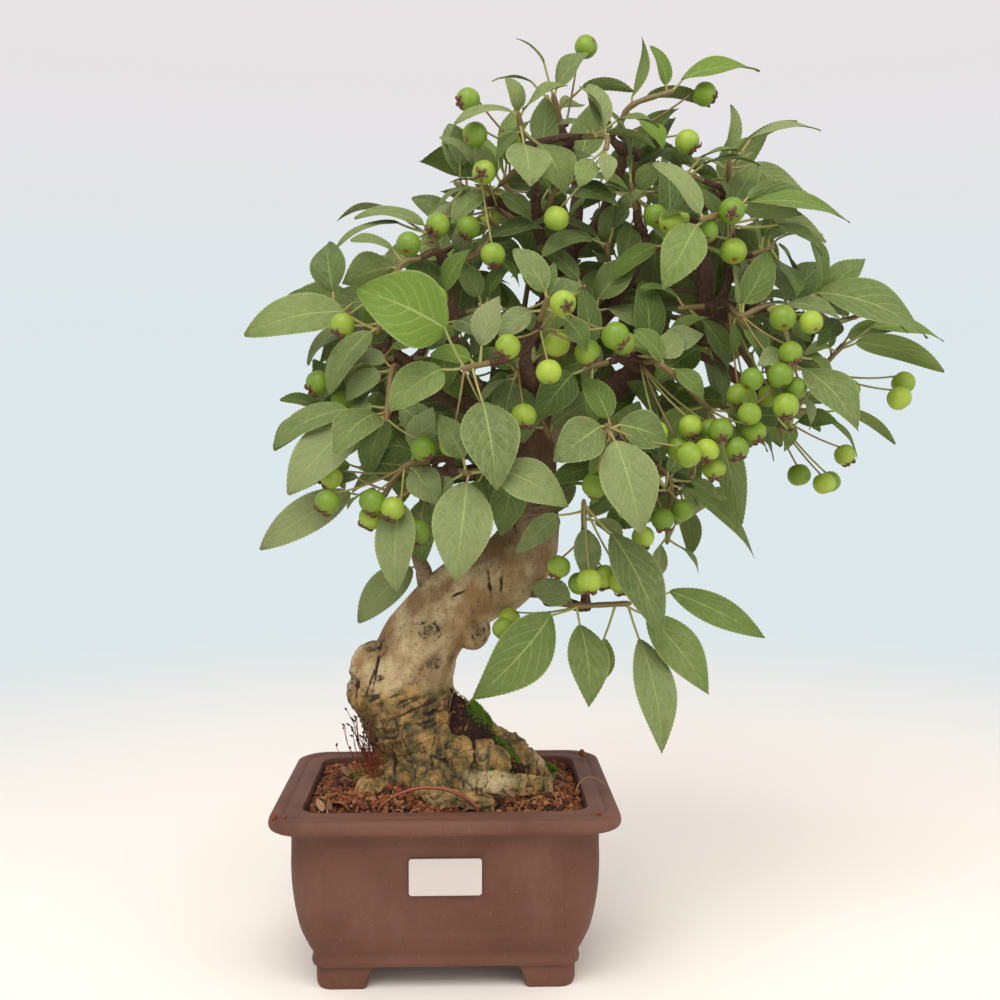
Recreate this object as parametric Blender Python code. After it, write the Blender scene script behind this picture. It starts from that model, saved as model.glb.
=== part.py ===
"""Hall crabapple bonsai in its rectangular stoneware pot.

Frame: +Z up, the front view looks along +Y, metres. Tables are in millimetres from the middle of the
pot's footprint at ground level. main() then shifts everything so that the origin is under the middle
of the whole tree's outline.
"""

import random
from collections import namedtuple
from functools import partial
from itertools import product
from math import cos, pi, radians, sin

import bmesh
import bpy
from mathutils import Matrix, Vector
from mathutils.bvhtree import BVHTree

MM = 0.001
SEAT_GAP = 0.0003

# Driving dimensions of the pot
RIM_WIDTH = 0.180
RIM_DEPTH = 0.140
POT_HEIGHT = 0.095
FOOT_HEIGHT = 0.012
FOOT_HALF_WIDTH = 0.0676
FOOT_LEG = 0.027
FOOT_THICKNESS = 0.010
FLOOR_TOP = 0.020
CORNER_RADIUS = 0.018
CORNER_POINTS = 4
DRAIN_HOLE_DIAMETER = 0.016
DRAIN_HOLE_OFFSET = 0.035

# Outer profile of the pot's long section as half width and height in mm, from the foot to the rim groove
OUTER_PROFILE = (
    (67.6, 0.0), (67.6, 12.0), (69.3, 12.6), (69.8, 15.5), (69.3, 18.6), (71.7, 23.7), (75.2, 32.7),
    (77.4, 42.9), (78.9, 54.3), (79.5, 66.0), (79.8, 84.4), (85.5, 86.4), (89.4, 88.2), (90.0, 91.5),
    (88.9, 94.4), (87.6, 95.0), (84.2, 95.0), (82.6, 94.0), (81.0, 95.0), (75.0, 95.0), (73.5, 93.6),
)
# Inner wall of the same section, from the mouth down to the floor
INNER_PROFILE = ((73.3, 84.0), (72.6, 54.0), (70.0, 36.0), (65.5, 25.0), (61.5, 20.0))

# Soil, its mesh below, and what lies on it
SOIL_EDGE_HEIGHT = 0.0895
SOIL_PLATEAU_HEIGHT = 0.094
MESH_SIZE = (0.100, 0.026, 0.001)
TRUNK_BASE = (-0.008, 0.004)
TRUNK_PLUG_RADII = (0.024, 0.019)
TRUNK_PLUG_DEPTH = 0.030
LABEL_SIZE = (0.037, 0.0006, 0.019)
LABEL_HEIGHT = 0.0635
WIRE_RADIUS = 0.0009
WIRE_SPAN = (-0.034, 0.016)
WIRE_Y = -0.048
WIRE_RISE = 0.011
WIRE_IN_SOIL = 0.007
MOSS_PLACE = (0.042, 0.021)
MOSS_RADII = (0.020, 0.013, 0.006)

# Trunk and roots as (x, y, z, radius)
TRUNK = (
    (-8, 4, 84, 30), (-9, 4, 94, 28), (-12, 3, 106, 24.5), (-16, 2, 119, 24), (-20, 1, 133, 26),
    (-22, 0, 147, 27),
    (-18, 0, 162, 23.5), (-12, 0, 176, 21.5), (-1, -1, 189, 20.5), (12, -1, 200, 20), (29, 0, 209, 20),
    (41, 2, 220, 19.5), (46, 3, 236, 16.5), (45, 3, 254, 15), (46, 2, 274, 14.5), (47, 0, 291, 13),
    (50, 0, 306, 10),
)
ROOTS = {
    "ridge": ((8, 2, 128, 13), (24, 4, 119, 9), (38, 4, 110, 8), (49, 3, 100, 7), (55, 2, 90, 6)),
    "stub": ((4, -10, 112, 13), (18, -15, 113, 9), (30, -16, 111, 7.5), (35, -16, 110, 4)),
    "front_right": ((2, -12, 100, 12), (18, -21, 98, 7.5), (38, -22, 98, 6.5), (56, -19, 97, 5)),
    "front_left": ((-12, -12, 100, 13), (-4, -34, 97, 7), (10, -40, 96, 5), (26, -42, 94, 4)),
    "left": ((-22, -4, 101, 14), (-40, -13, 95, 8), (-50, -16, 88, 5)),
    "back": ((-6, 12, 102, 16), (-16, 32, 94, 8), (-20, 42, 87, 5)),
}
KNOTS = (
    (-38, -3, 160, 15), (-42, -5, 146, 13), (-34, -8, 153, 17), (-10, -17, 181, 8), (14, -6, 181, 11),
)

# Limbs as (x, y, z, radius), each starting inside what carries it
LIMBS = {
    "leader": (
        (46, 2, 280, 11), (65, 2, 298, 9), (84, 0, 309, 8), (106, -3, 321, 7), (134, -6, 338, 6),
        (140, -6, 352, 5.5), (141, -6, 368, 5), (140, -4, 384, 4.2), (147, -6, 400, 3.5),
        (151, -10, 414, 2.8),
    ),
    "inner_right": ((50, 0, 304, 7), (68, -6, 332, 6), (84, -10, 350, 5), (98, -12, 372, 4),
        (106, -14, 388, 3)),
    "upright": (
        (50, 0, 300, 9), (58, 8, 330, 7), (63, 12, 362, 5.5), (70, 10, 394, 4.5), (72, 4, 424, 3.3),
        (66, -6, 444, 2.4),
    ),
    "upper_right": ((69, 10, 390, 4), (83, 4, 402, 3.6), (92, 0, 424, 3), (95, -8, 440, 2.4)),
    "upper_left": (
        (62, 12, 358, 4.5), (56, -4, 380, 3.8), (49, -16, 398, 3.2), (47, -26, 416, 2.6),
        (42, -36, 430, 2.2),
    ),
    "left_twig": ((50, -14, 396, 3), (38, -22, 404, 2.5), (26, -32, 408, 2.2)),
    "left": (
        (46, 2, 286, 8), (29, -12, 296, 6.5), (8, -22, 304, 5.5), (-9, -28, 313, 4.6),
        (-18, -32, 323, 3.2), (-26, -35, 331, 2),
    ),
    "front": ((48, -2, 292, 7), (46, -26, 306, 5), (42, -46, 318, 3.8), (40, -62, 330, 2.8)),
    "left_rise": ((7, -22, 304, 4), (4, -24, 328, 3.4), (4, -26, 352, 3), (2, -28, 374, 2.4)),
    "lower_left": ((44, -4, 262, 6), (24, -20, 268, 4.5), (4, -34, 268, 3.2), (-10, -44, 269, 2)),
    "stub": ((-8, 0, 190, 7), (-12, 0, 206, 5), (-15, 0, 218, 4), (-17, 0, 229, 3.4)),
    "lower_right": ((46, -4, 206, 8), (57, -10, 202, 4), (66, -18, 196, 3), (74, -24, 195, 2.6)),
    "right_low": ((64, 2, 297, 5), (84, -6, 286, 4), (102, -14, 276, 3), (110, -18, 270, 2.5)),
    "right_end": ((138, -6, 346, 4.5), (158, -12, 354, 4), (180, -8, 352, 3.4), (200, -6, 345, 2.6)),
    "right_under": ((134, -6, 336, 4.5), (152, 0, 324, 3.6), (172, 4, 312, 3), (186, 2, 306, 2.4)),
    "back": ((48, 2, 290, 8), (52, 24, 308, 6), (54, 44, 330, 4.6), (56, 54, 356, 3.6), (60, 58, 384, 2.6)),
    "back_left": ((50, 18, 304, 5), (28, 34, 312, 4), (4, 42, 322, 3), (-14, 46, 330, 2.5)),
    "back_right": ((104, -2, 320, 5.5), (118, 22, 330, 4.4), (132, 42, 342, 3.4), (146, 50, 352, 2.6)),
}

# Leaves as (bearing, stalk, blade, lean, facing, width ratio): bearing in degrees as seen from the front,
# 0 to the right and 90 up, lengths in mm, lean in degrees towards the viewer, and facing from 1 with the
# blade's upper side towards the viewer to -1 with its underside. Fruits as (bearing, distance, lean).
Spur = namedtuple("Spur", "place leaves")
Stem = namedtuple("Stem", "name side spurs fruits")
FRONT = -1
BACK = 1
FRONT_STEMS = (
    Stem("left_high", FRONT, (
        Spur((-23, -50, 370), (
            (200, 3, 27, 5, -0.6, 0.75), (196, 7, 24, -20, 0.5, 0.6), (172, 10, 22, 15, 0.6, 0.55))),
        Spur((-34, -42, 340), (
            (194, 19, 52, 5, 0.9, 0.5), (236, 5, 39, 10, 0.8, 0.48), (217, 16, 38, -30, 0.5, 0.52)))), ()),
    Stem("left_bright", FRONT, (
        Spur((10, -75, 319), (
            (157, 21, 47, 20, 1, 0.78), (219, 13, 33, 15, 0.9, 0.7), (279, 19, 45, 20, 0.9, 0.62),
            (172, 4, 21, -15, 0.6, 0.6), (70, 9, 26, 0, 0.7, 0.6))),), ()),
    Stem("left_mid", FRONT, (
        Spur((-27, -42, 320), ((221, 6, 23, 5, 0.7, 0.6), (176, 6, 23, -15, 0.6, 0.55))),
        Spur((-29, -55, 295), (
            (206, 20, 42, 0, 0.8, 0.42), (227, 17, 48, 10, 0.9, 0.54), (246, 8, 42, 25, 0.9, 0.6),
            (204, 8, 24, -25, 0.5, 0.5), (318, 6, 24, -10, 0.7, 0.65)))),
        ((190, 38, 0), (212, 31, -10))),
    Stem("left_low", FRONT, (
        Spur((-20, -60, 271), ((260, 18, 44, 10, 0.9, 0.48), (318, 3, 23, 10, 0.8, 0.75),
            (66, 7, 24, 0, 0.7, 0.6))),
        Spur((-31, -46, 256), (
            (212, 17, 55, 0, 0.8, 0.36), (225, 8, 30, -35, 0.4, 0.4), (200, 20, 24, -30, 0.4, 0.45)))),
        ((237, 30, 0), (256, 24, 30), (281, 33, 5), (188, 38, -10))),
    Stem("front_hang", FRONT, (
        Spur((12, -80, 268), (
            (263, 4, 48, 10, 1, 0.6), (333, 13, 41, 10, 0.9, 0.52), (120, 7, 24, 0, 0.7, 0.6),
            (225, 8, 26, -25, 0.6, 0.55))),), ()),
    Stem("trunk_right", FRONT, (
        Spur((71, -45, 252), (
            (294, 21, 59, 15, 0.9, 0.4), (271, 11, 28, 0, 0.8, 0.5), (221, 14, 30, 15, 0.7, 0.4),
            (137, 2, 23, 10, 0.8, 0.75), (318, 8, 21, -25, -0.8, 0.6))),),
        ((248, 35, 5), (285, 39, 5), (268, 42, -5))),
    Stem("low_right", FRONT, (
        Spur((70, -36, 198), (
            (225, 16, 61, 15, 0.9, 0.5), (275, 10, 43, 15, 0.9, 0.52), (198, 3, 26, -25, 0.6, 0.7),
            (164, 2, 15, 10, 0.7, 0.75))),
        Spur((95, -36, 199), (
            (280, 19, 60, 10, 0.9, 0.36), (308, 13, 53, 5, 0.9, 0.42), (334, 27, 57, 0, 0.8, 0.28),
            (262, 22, 34, -25, 0.6, 0.4)))), ()),
    Stem("front_right", FRONT, (
        Spur((78, -85, 291), (
            (215, 3, 31, 20, 0.9, 0.7), (285, 7, 47, 10, 1, 0.58), (342, 5, 28, -15, 0.8, 0.7),
            (118, 6, 26, -25, 0.6, 0.6))),), ()),
    Stem("mid_right", FRONT, (
        Spur((109, -60, 321), (
            (134, 3, 21, 10, 0.8, 0.7), (53, 4, 18, 10, 0.8, 0.8), (160, 6, 26, -15, 0.6, 0.6),
            (294, 10, 24, -15, 0.7, 0.55), (20, 8, 26, 0, 0.7, 0.55))),
        Spur((137, -38, 300), ((285, 8, 54, 0, -0.7, 0.3), (318, 10, 34, -15, 0.7, 0.6),
            (225, 8, 24, -15, 0.6, 0.6)))),
        ((262, 34, 10), (293, 33, 10), (307, 40, 5), (281, 42, 0))),
    Stem("right", FRONT, (
        Spur((150, -52, 347), (
            (64, 6, 30, -5, 0.8, 0.62), (95, 5, 20, 10, 0.8, 0.6), (285, 9, 21, 25, 0.6, 0.75),
            (262, 6, 18, 0, 0.7, 0.5))),
        Spur((168, -46, 352), (
            (338, 22, 63, 0, 0.75, 0.5), (337, 7, 31, 15, 0.7, 0.5), (312, 18, 15, -20, -0.8, 0.6))),
        Spur((176, -55, 322), (
            (296, 4, 43, 10, 0.9, 0.6), (283, 20, 18, -15, 0.7, 0.6), (205, 8, 26, -10, 0.7, 0.55),
            (318, 14, 22, -25, 0.6, 0.55)))),
        ((268, 40, 0), (290, 43, 0), (303, 46, 5), (278, 44, -20))),
    Stem("right_hang", FRONT, (
        Spur((197, 0, 300), (
            (327, 20, 37, 0, -0.4, 0.26), (307, 12, 31, 0, 0.4, 0.3), (12, 12, 18, 0, -0.8, 0.7),
            (255, 6, 20, 10, 0.7, 0.5))),),
        ((266, 35, 0), (281, 42, 8), (292, 42, -5), (314, 33, 0))),
    Stem("far_right", FRONT, (
        Spur((213, -15, 335), (
            (350, 17, 42, 0, 0.6, 0.34), (341, 9, 49, 8, -0.7, 0.34), (200, 6, 23, 25, -0.6, 0.5),
            (8, 13, 26, -8, -0.8, 0.55), (97, 6, 21, -20, 0.4, 0.5))),),
        ((329, 39, 0), (314, 41, 5), (280, 24, 0))),
    Stem("top", FRONT, (
        Spur((81, -50, 436), (
            (124, 4, 24, 10, 0.5, 0.6), (104, 6, 26, -20, 0.6, 0.6), (74, 4, 25, 0, -0.5, 0.5),
            (172, 4, 18, 10, 0.6, 0.55), (3, 6, 30, 5, -0.2, 0.3), (0, 15, 22, 0, 0.8, 0.7))),
        Spur((80, -60, 428), ((268, 3, 17, 25, 0.9, 0.55), (244, 10, 16, 10, 0.8, 0.75)))), ()),
    Stem("top_left", FRONT, (
        Spur((37, -55, 445), (
            (199, 4, 35, 0, 0.3, 0.35), (22, 4, 26, 25, 1, 0.75), (112, 5, 17, 10, 0.8, 0.75),
            (275, 12, 26, 25, 0.9, 0.85), (298, 12, 29, 0, 0.9, 0.85), (236, 3, 22, 0, 0.2, 0.35))),),
        ((165, 26, 5), (205, 24, 5), (250, 15, -35))),
    Stem("top_mid", FRONT, (
        Spur((57, -20, 464), (
            (42, 4, 26, 20, 0.9, 0.75), (140, 20, 20, 0, 0.2, 0.3), (184, 17, 22, 10, 0.1, 0.3),
            (356, 17, 28, 0, -0.3, 0.35), (20, 7, 22, -25, 0.6, 0.6))),),
        ((57, 31, 0),)),
    Stem("top_right", FRONT, (
        Spur((98, -20, 460), (
            (83, 4, 31, 10, 0.1, 0.35), (355, 13, 36, 0, -0.3, 0.34), (300, 8, 24, 15, 0.7, 0.6))),
        Spur((118, -24, 466), ((6, 8, 42, 0, 1, 0.5), (120, 4, 22, 0, 0.9, 0.6)))),
        ((9, 39, 0), (323, 36, 15))),
    Stem("right_top", FRONT, (
        Spur((150, -20, 431), (
            (88, 6, 24, 0, 0.9, 0.5), (8, 17, 39, 0, 0.2, 0.3), (332, 12, 33, 0, -0.8, 0.42),
            (28, 4, 15, 10, 0.5, 0.5), (165, 4, 18, 0, 0.4, 0.5), (215, 6, 22, -10, 0.7, 0.55))),), ()),
    Stem("right_upper", FRONT, (
        Spur((141, -60, 396), (
            (348, 10, 52, 5, 0.6, 0.34), (4, 14, 35, -10, -0.8, 0.4), (354, 8, 29, 20, -0.6, 0.35),
            (344, 26, 37, -20, -0.5, 0.3), (325, 23, 28, 5, 0.7, 0.5))),
        Spur((124, -80, 390), ((135, 3, 33, 0, 0.8, 0.55), (241, 5, 36, 10, 0.9, 0.58),
            (205, 4, 21, -25, 0.7, 0.65)))),
        ((204, 13, 50), (276, 19, 10), (192, 33, 20))),
    Stem("left_top", FRONT, (
        Spur((19, -45, 414), (
            (137, 5, 27, 0, 0.5, 0.45), (108, 3, 16, 20, 0.7, 0.65), (178, 3, 18, 10, 0.3, 0.4),
            (212, 9, 19, 0, 0.4, 0.5), (219, 3, 25, 15, 0.8, 0.55), (318, 5, 21, 0, 0.7, 0.6))),),
        ((70, 13, 45), (224, 31, 5), (253, 24, 5))),
    Stem("left_upper", FRONT, (
        Spur((-8, -35, 392), (
            (175, 4, 36, 0, 0.7, 0.48), (204, 17, 35, 8, 0.5, 0.36), (187, 27, 34, -20, 0.1, 0.3),
            (213, 8, 28, 15, -0.8, 0.45), (60, 4, 21, 0, 0.6, 0.55), (226, 5, 21, 30, 0.8, 0.5))),), ()),
    Stem("centre_front", FRONT, (
        Spur((49, -90, 350), (
            (128, 4, 25, 0, 0.9, 0.65), (77, 3, 19, 10, 0, 0.35), (292, 11, 20, 20, 0.9, 0.65),
            (226, 6, 20, -15, 0.8, 0.7), (30, 6, 22, -20, 0.7, 0.6))),),
        ((336, 14, 60), (230, 29, 5), (271, 34, 5), (332, 36, 5), (310, 32, -15))),
    Stem("centre_right", FRONT, (
        Spur((79, -26, 354), (
            (46, 4, 30, 0, 0.9, 0.6), (330, 6, 30, 0, 0.8, 0.6), (149, 8, 22, -10, 0.7, 0.6),
            (95, 6, 24, -10, 0.7, 0.6), (265, 8, 26, -10, 0.7, 0.6))),), ()),
    Stem("centre_low", FRONT, (
        Spur((37, -50, 320), (
            (257, 6, 28, 0, 0.8, 0.55), (282, 8, 30, -15, 0.8, 0.55), (172, 5, 20, 0, 0.7, 0.6),
            (236, 7, 22, 20, 0, 0.35), (40, 5, 19, 0, 0.7, 0.6))),), ()),
    Stem("upper_centre", FRONT, (
        Spur((102, -14, 413), (
            (345, 5, 26, 5, -0.5, 0.5), (58, 5, 20, 0, 0.7, 0.6), (225, 6, 23, 10, 0.8, 0.6),
            (268, 10, 26, 0, 0.8, 0.55), (150, 6, 24, -10, 0.6, 0.55), (305, 8, 26, 20, 0.8, 0.55))),), ()),
    Stem("left_centre", FRONT, (
        Spur((12, -4, 376), (
            (204, 6, 32, 15, -0.5, 0.4), (300, 6, 26, 15, 0.7, 0.55), (90, 6, 22, 10, 0.7, 0.6),
            (266, 8, 27, 10, 0.8, 0.6), (25, 6, 25, 10, 0.7, 0.55), (240, 10, 25, -5, 0.6, 0.55))),), ()),
    Stem("right_low", FRONT, (
        Spur((119, -25, 261), (
            (315, 6, 55, 0, 0.3, 0.24), (21, 4, 16, 0, 0, 0.3), (319, 15, 25, -20, 0.7, 0.5),
            (236, 7, 26, -10, 0.7, 0.55),
            (110, 5, 24, -5, 0.7, 0.6))),
        Spur((121, -4, 229), ((29, 10, 40, 5, -0.8, 0.4), (303, 9, 18, 0, 0.2, 0.4),
            (250, 6, 25, 0, 0.7, 0.5)))),
        ((253, 21, 25), (283, 15, 25), (241, 32, 10))),
    Stem("stub", FRONT, (Spur((-16, 18, 214), ((226, 4, 44, 0, 0.6, 0.5),
        (110, 5, 18, -20, 0.5, 0.5))),), ()),
)
# Front stems that the back of the crown repeats, mirrored to the far side with a drawn shift
BACK_STEMS = (
    "left_high", "left_mid", "centre_front", "mid_right", "right_upper", "left_top", "right_top",
)
BACK_FRUITS = {"mid_right": 3, "left_top": 2, "centre_front": 3}
BACK_SHIFT = 7
BACK_DEPTH = 6
BACK_FLATTENING = 0.75
BACK_TURN = 24
BACK_LEAST_STALK = 6
CROWN_CENTRE = Vector((0.075, 0.0, 0.340))
# Sprigs that fill the crown, in layers as (name, depth, spacing) in mm, inside an outline seen from the front
INNER_LAYERS = (("rear", 46, 64), ("mid", 10, 92))
INNER_JITTER = 9
INNER_LEAVES = 3
SHOOT_STARTS = 6
SHOOT_FOOT = 0.4
SHOOT_OVERLAP = 0.002
CROWN_OUTLINE = (
    (-62, 352), (-46, 380), (-4, 408), (16, 436), (62, 450), (126, 450), (166, 434), (196, 400), (220, 362),
    (220, 334), (180, 286), (136, 250), (84, 234), (52, 254), (-14, 258), (-48, 264), (-66, 292), (-68, 336),
)

STEM_LENGTH = 0.013
STEM_RADIUS = 0.0015
STEM_SIDES = 4
STEM_LEAD = 0.6
LEAST_TWIG = 0.006
LEAF_SPACING = 0.0021
TWIG_RADII = (0.0024, 0.0016)
TWIG_SIDES = 3
TWIG_LEAD = 0.45
LIMB_SIDES = 5
ROOT_SIDES = 6
TRUNK_SIDES = 13
STALK_RADIUS = 0.0007
FRUIT_STALK_RADIUS = 0.0006
FRUIT_SPUR_RADIUS = 0.0015
FRUIT_SPUR_LENGTH = 0.0036
FRUIT_SPACING = 0.0005
FRUIT_SPUR_GAPS = (-0.0006, -0.0003, 0.0, 0.0003, 0.0006, 0.0009)
BLADE_THICKNESS = 0.0010
# Edge points on each side and points inside the midrib, by the least blade length that gets them
BLADE_POINTS = ((0.044, 7, 3), (0.0305, 5, 2), (0.0, 4, 1))
FRUIT_RADIUS = 0.0062
FRUIT_SIDES = 5
CLEARANCE = 0.0003
TOUCH = 0.000001
FLAT_ANGLE = radians(0.5)
GROWTH_STEP = 0.00002
GROWTH_STEPS = 7
# Fruit outline along its axis from the stalk to the dried flower, as fractions of its radius
FRUIT_OUTLINE = ((-0.5, 0.84), (0.35, 0.96), (0.92, 0.27), (1.2, 0.42))
# Turns in bearing and lean, and a length factor, that a leaf tries in this order until it is clear
LEAF_TURNS = (
    (0, 0, 1), (7, 0, 1), (-7, 0, 1), (0, 12, 1), (0, -12, 1), (12, 10, 1), (-12, 10, 1), (12, -12, 0.95),
    (-12, -12, 0.95), (0, 24, 0.95), (0, -24, 0.95), (22, 0, 0.9), (-22, 0, 0.9), (20, 22, 0.9),
    (-20, 22, 0.9),
    (20, -24, 0.9), (-20, -24, 0.9), (36, 8, 0.85), (-36, 8, 0.85), (34, -20, 0.8), (-34, -20, 0.8),
    (52, 0, 0.75), (-52, 0, 0.75), (0, 44, 0.75), (0, -44, 0.75),
)
FRUIT_TURNS = (
    (0, 0), (0, 10), (0, -10), (7, 0), (-7, 0), (0, 20), (0, -20), (10, 14), (-10, 14), (10, -14),
    (-10, -14),
    (18, 0), (-18, 0), (0, 34), (0, -34), (24, 20), (-24, 20), (24, -20), (-24, -20),
)


def clear_scene():
    for item in list(bpy.data.objects):
        bpy.data.objects.remove(item, do_unlink=True)


def material(name, colour, roughness):
    made = bpy.data.materials.new(name)
    made.use_nodes = True
    shader = made.node_tree.nodes["Principled BSDF"]
    shader.inputs["Base Color"].default_value = (*colour, 1.0)
    shader.inputs["Roughness"].default_value = roughness
    return made


def solid(name, vertices, faces, finish=None, smooth=False, split=False):
    """A mesh object from plain vertices and faces, with its normals made to face out.

    split makes triangles of its faces, which a piece that others join needs.
    """
    mesh = bpy.data.meshes.new(name)
    mesh.from_pydata([tuple(v) for v in vertices], [], faces)
    shape = bmesh.new()
    shape.from_mesh(mesh)
    bmesh.ops.recalc_face_normals(shape, faces=shape.faces)
    if shape.calc_volume(signed=True) < 0:
        bmesh.ops.reverse_faces(shape, faces=shape.faces)
    if split:
        bmesh.ops.triangulate(shape, faces=shape.faces)
    shape.to_mesh(mesh)
    shape.free()
    if smooth:
        mesh.shade_smooth()
        mesh.set_sharp_from_angle(angle=radians(40))
    if finish:
        mesh.materials.append(finish)
    made = bpy.data.objects.new(name, mesh)
    bpy.context.scene.collection.objects.link(made)
    return made


def combine(target, tools, operation, solver="EXACT"):
    """Joins or cuts target with a collection of tools, and removes the tools."""
    group = bpy.data.collections.new(target.name + "_tools")
    bpy.context.scene.collection.children.link(group)
    for tool in tools:
        bpy.context.scene.collection.objects.unlink(tool)
        group.objects.link(tool)
    boolean = target.modifiers.new("combine", "BOOLEAN")
    boolean.operation = operation
    boolean.solver = solver
    boolean.operand_type = "COLLECTION"
    boolean.collection = group
    graph = bpy.context.evaluated_depsgraph_get()
    result = bpy.data.meshes.new_from_object(target.evaluated_get(graph))
    target.modifiers.remove(boolean)
    target.data = result
    for tool in list(group.objects):
        bpy.data.objects.remove(tool, do_unlink=True)
    bpy.data.collections.remove(group)
    return target


def keep_outer_skin(target):
    """Fills what the joined pieces seal between them, and drops loose scraps: the largest skin stays."""
    shape = bmesh.new()
    shape.from_mesh(target.data)
    waiting = set(shape.faces)
    skins = []
    while waiting:
        skin = [waiting.pop()]
        for face in skin:
            for edge in face.edges:
                for other in edge.link_faces:
                    if len(edge.link_faces) == 2 and other in waiting:
                        waiting.remove(other)
                        skin.append(other)
        skins.append(skin)
    skins.sort(key=len)
    for skin in skins[:-1]:
        bmesh.ops.delete(shape, geom=skin, context="FACES")
    shape.to_mesh(target.data)
    shape.free()
    return target


def split_soundly(target):
    """Splits the faces into triangles so that every edge joins two of them, also where points touch.

    Flat stretches are made one face first where that stays sound. Says whether a way was found.
    """
    for flatten, way in ((True, "BEAUTY"), (True, "EAR_CLIP"), (False, "BEAUTY"), (False, "EAR_CLIP")):
        shape = bmesh.new()
        shape.from_mesh(target.data)
        if flatten:
            bmesh.ops.dissolve_limit(shape, angle_limit=FLAT_ANGLE, verts=shape.verts, edges=shape.edges)
        bmesh.ops.triangulate(shape, faces=shape.faces, ngon_method=way)
        touching = shape.copy()
        bmesh.ops.remove_doubles(touching, verts=touching.verts, dist=TOUCH)
        sound = all(len(edge.link_faces) == 2 for edge in touching.edges)
        if sound:
            shape.to_mesh(target.data)
        touching.free()
        shape.free()
        if sound:
            return True
    return False


def grown_together(build):
    """What build(growth) makes, with the least growth in thickness that joins its pieces soundly."""
    for attempt in range(GROWTH_STEPS):
        made = keep_outer_skin(build(attempt * GROWTH_STEP))
        if split_soundly(made):
            return made
        made_name = made.name
        bpy.data.objects.remove(made, do_unlink=True)
    raise RuntimeError(made_name + "'s pieces don't join soundly")


# Pot and what lies in it

def rounded_ring(half_width, half_depth, radius, height):
    """Points of a rounded rectangle at one height, anticlockwise."""
    ring = []
    for quarter, (sx, sy) in enumerate(((1, 1), (-1, 1), (-1, -1), (1, -1))):
        for step in range(CORNER_POINTS):
            angle = (quarter + step / (CORNER_POINTS - 1)) * pi / 2
            ring.append((
                sx * (half_width - radius) + radius * cos(angle),
                sy * (half_depth - radius) + radius * sin(angle),
                height,
            ))
    return ring


def pot_ring(half_width_mm, height_mm, inset=0.0):
    """The pot's outline at one height: every outline keeps the same distance inside the rim's."""
    inside = RIM_WIDTH / 2 - half_width_mm * MM + inset
    radius = max(CORNER_RADIUS - 0.45 * inside, 0.004)
    return rounded_ring(RIM_WIDTH / 2 - inside, RIM_DEPTH / 2 - inside, radius, height_mm * MM)


def loft(rings, close_start=True, close_end=True):
    """Vertices and faces of a skin over rings with equal point counts."""
    count = len(rings[0])
    vertices = [point for ring in rings for point in ring]
    faces = []
    for row in range(len(rings) - 1):
        for i in range(count):
            j = (i + 1) % count
            faces.append((row * count + i, row * count + j, (row + 1) * count + j, (row + 1) * count + i))
    if close_start:
        faces.append(tuple(reversed(range(count))))
    if close_end:
        faces.append(tuple(range((len(rings) - 1) * count, len(rings) * count)))
    return vertices, faces


def box(name, low, high):
    x, y, z = zip(low, high)
    corners = [(a, b, c) for c in z for a, b in ((x[0], y[0]), (x[1], y[0]), (x[1], y[1]), (x[0], y[1]))]
    faces = [(3, 2, 1, 0), (4, 5, 6, 7), (0, 1, 5, 4), (1, 2, 6, 5), (2, 3, 7, 6), (3, 0, 4, 7)]
    return solid(name, corners, faces)


def upright_cylinder(name, centre, radii, low, high, sides=24):
    angles = [2 * pi * i / sides for i in range(sides)]
    outline = [(centre[0] + radii[0] * cos(a), centre[1] + radii[1] * sin(a)) for a in angles]
    return solid(name, *loft([[(x, y, height) for x, y in outline] for height in (low, high)]))


def build_pot():
    foot_inside = FOOT_HALF_WIDTH - FOOT_THICKNESS
    rings = [pot_ring(foot_inside / MM, FOOT_HEIGHT / MM), pot_ring(foot_inside / MM, 0.0)]
    rings += [pot_ring(width, height) for width, height in OUTER_PROFILE + INNER_PROFILE]
    clay = material("clay", (0.170, 0.080, 0.062), 0.75)
    pot = solid("pot", *loft(rings), clay, smooth=True)
    arch_x = FOOT_HALF_WIDTH - FOOT_LEG
    arch_y = arch_x - (RIM_WIDTH - RIM_DEPTH) / 2
    below = -0.002
    cutters = [
        box("arch_front", (-arch_x, -RIM_DEPTH, below), (arch_x, RIM_DEPTH, FOOT_HEIGHT)),
        box("arch_side", (-RIM_WIDTH, -arch_y, below), (RIM_WIDTH, arch_y, FOOT_HEIGHT)),
    ]
    hole = DRAIN_HOLE_DIAMETER / 2
    for side in (-1, 1):
        place = (side * DRAIN_HOLE_OFFSET, 0.0)
        cutters.append(upright_cylinder("drain", place, (hole, hole), 0.008, FLOOR_TOP + 0.002, sides=16))
    return combine(pot, cutters, "DIFFERENCE")


def inner_half_width(height_mm):
    """Half width in mm of the pot's inside at a height in mm, read along its profile."""
    wall = (OUTER_PROFILE[-1],) + INNER_PROFILE
    for (upper_width, upper), (lower_width, lower) in zip(wall, wall[1:]):
        if height_mm >= lower:
            share = (height_mm - lower) / (upper - lower)
            return lower_width + share * (upper_width - lower_width)
    return wall[-1][0]


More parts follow.
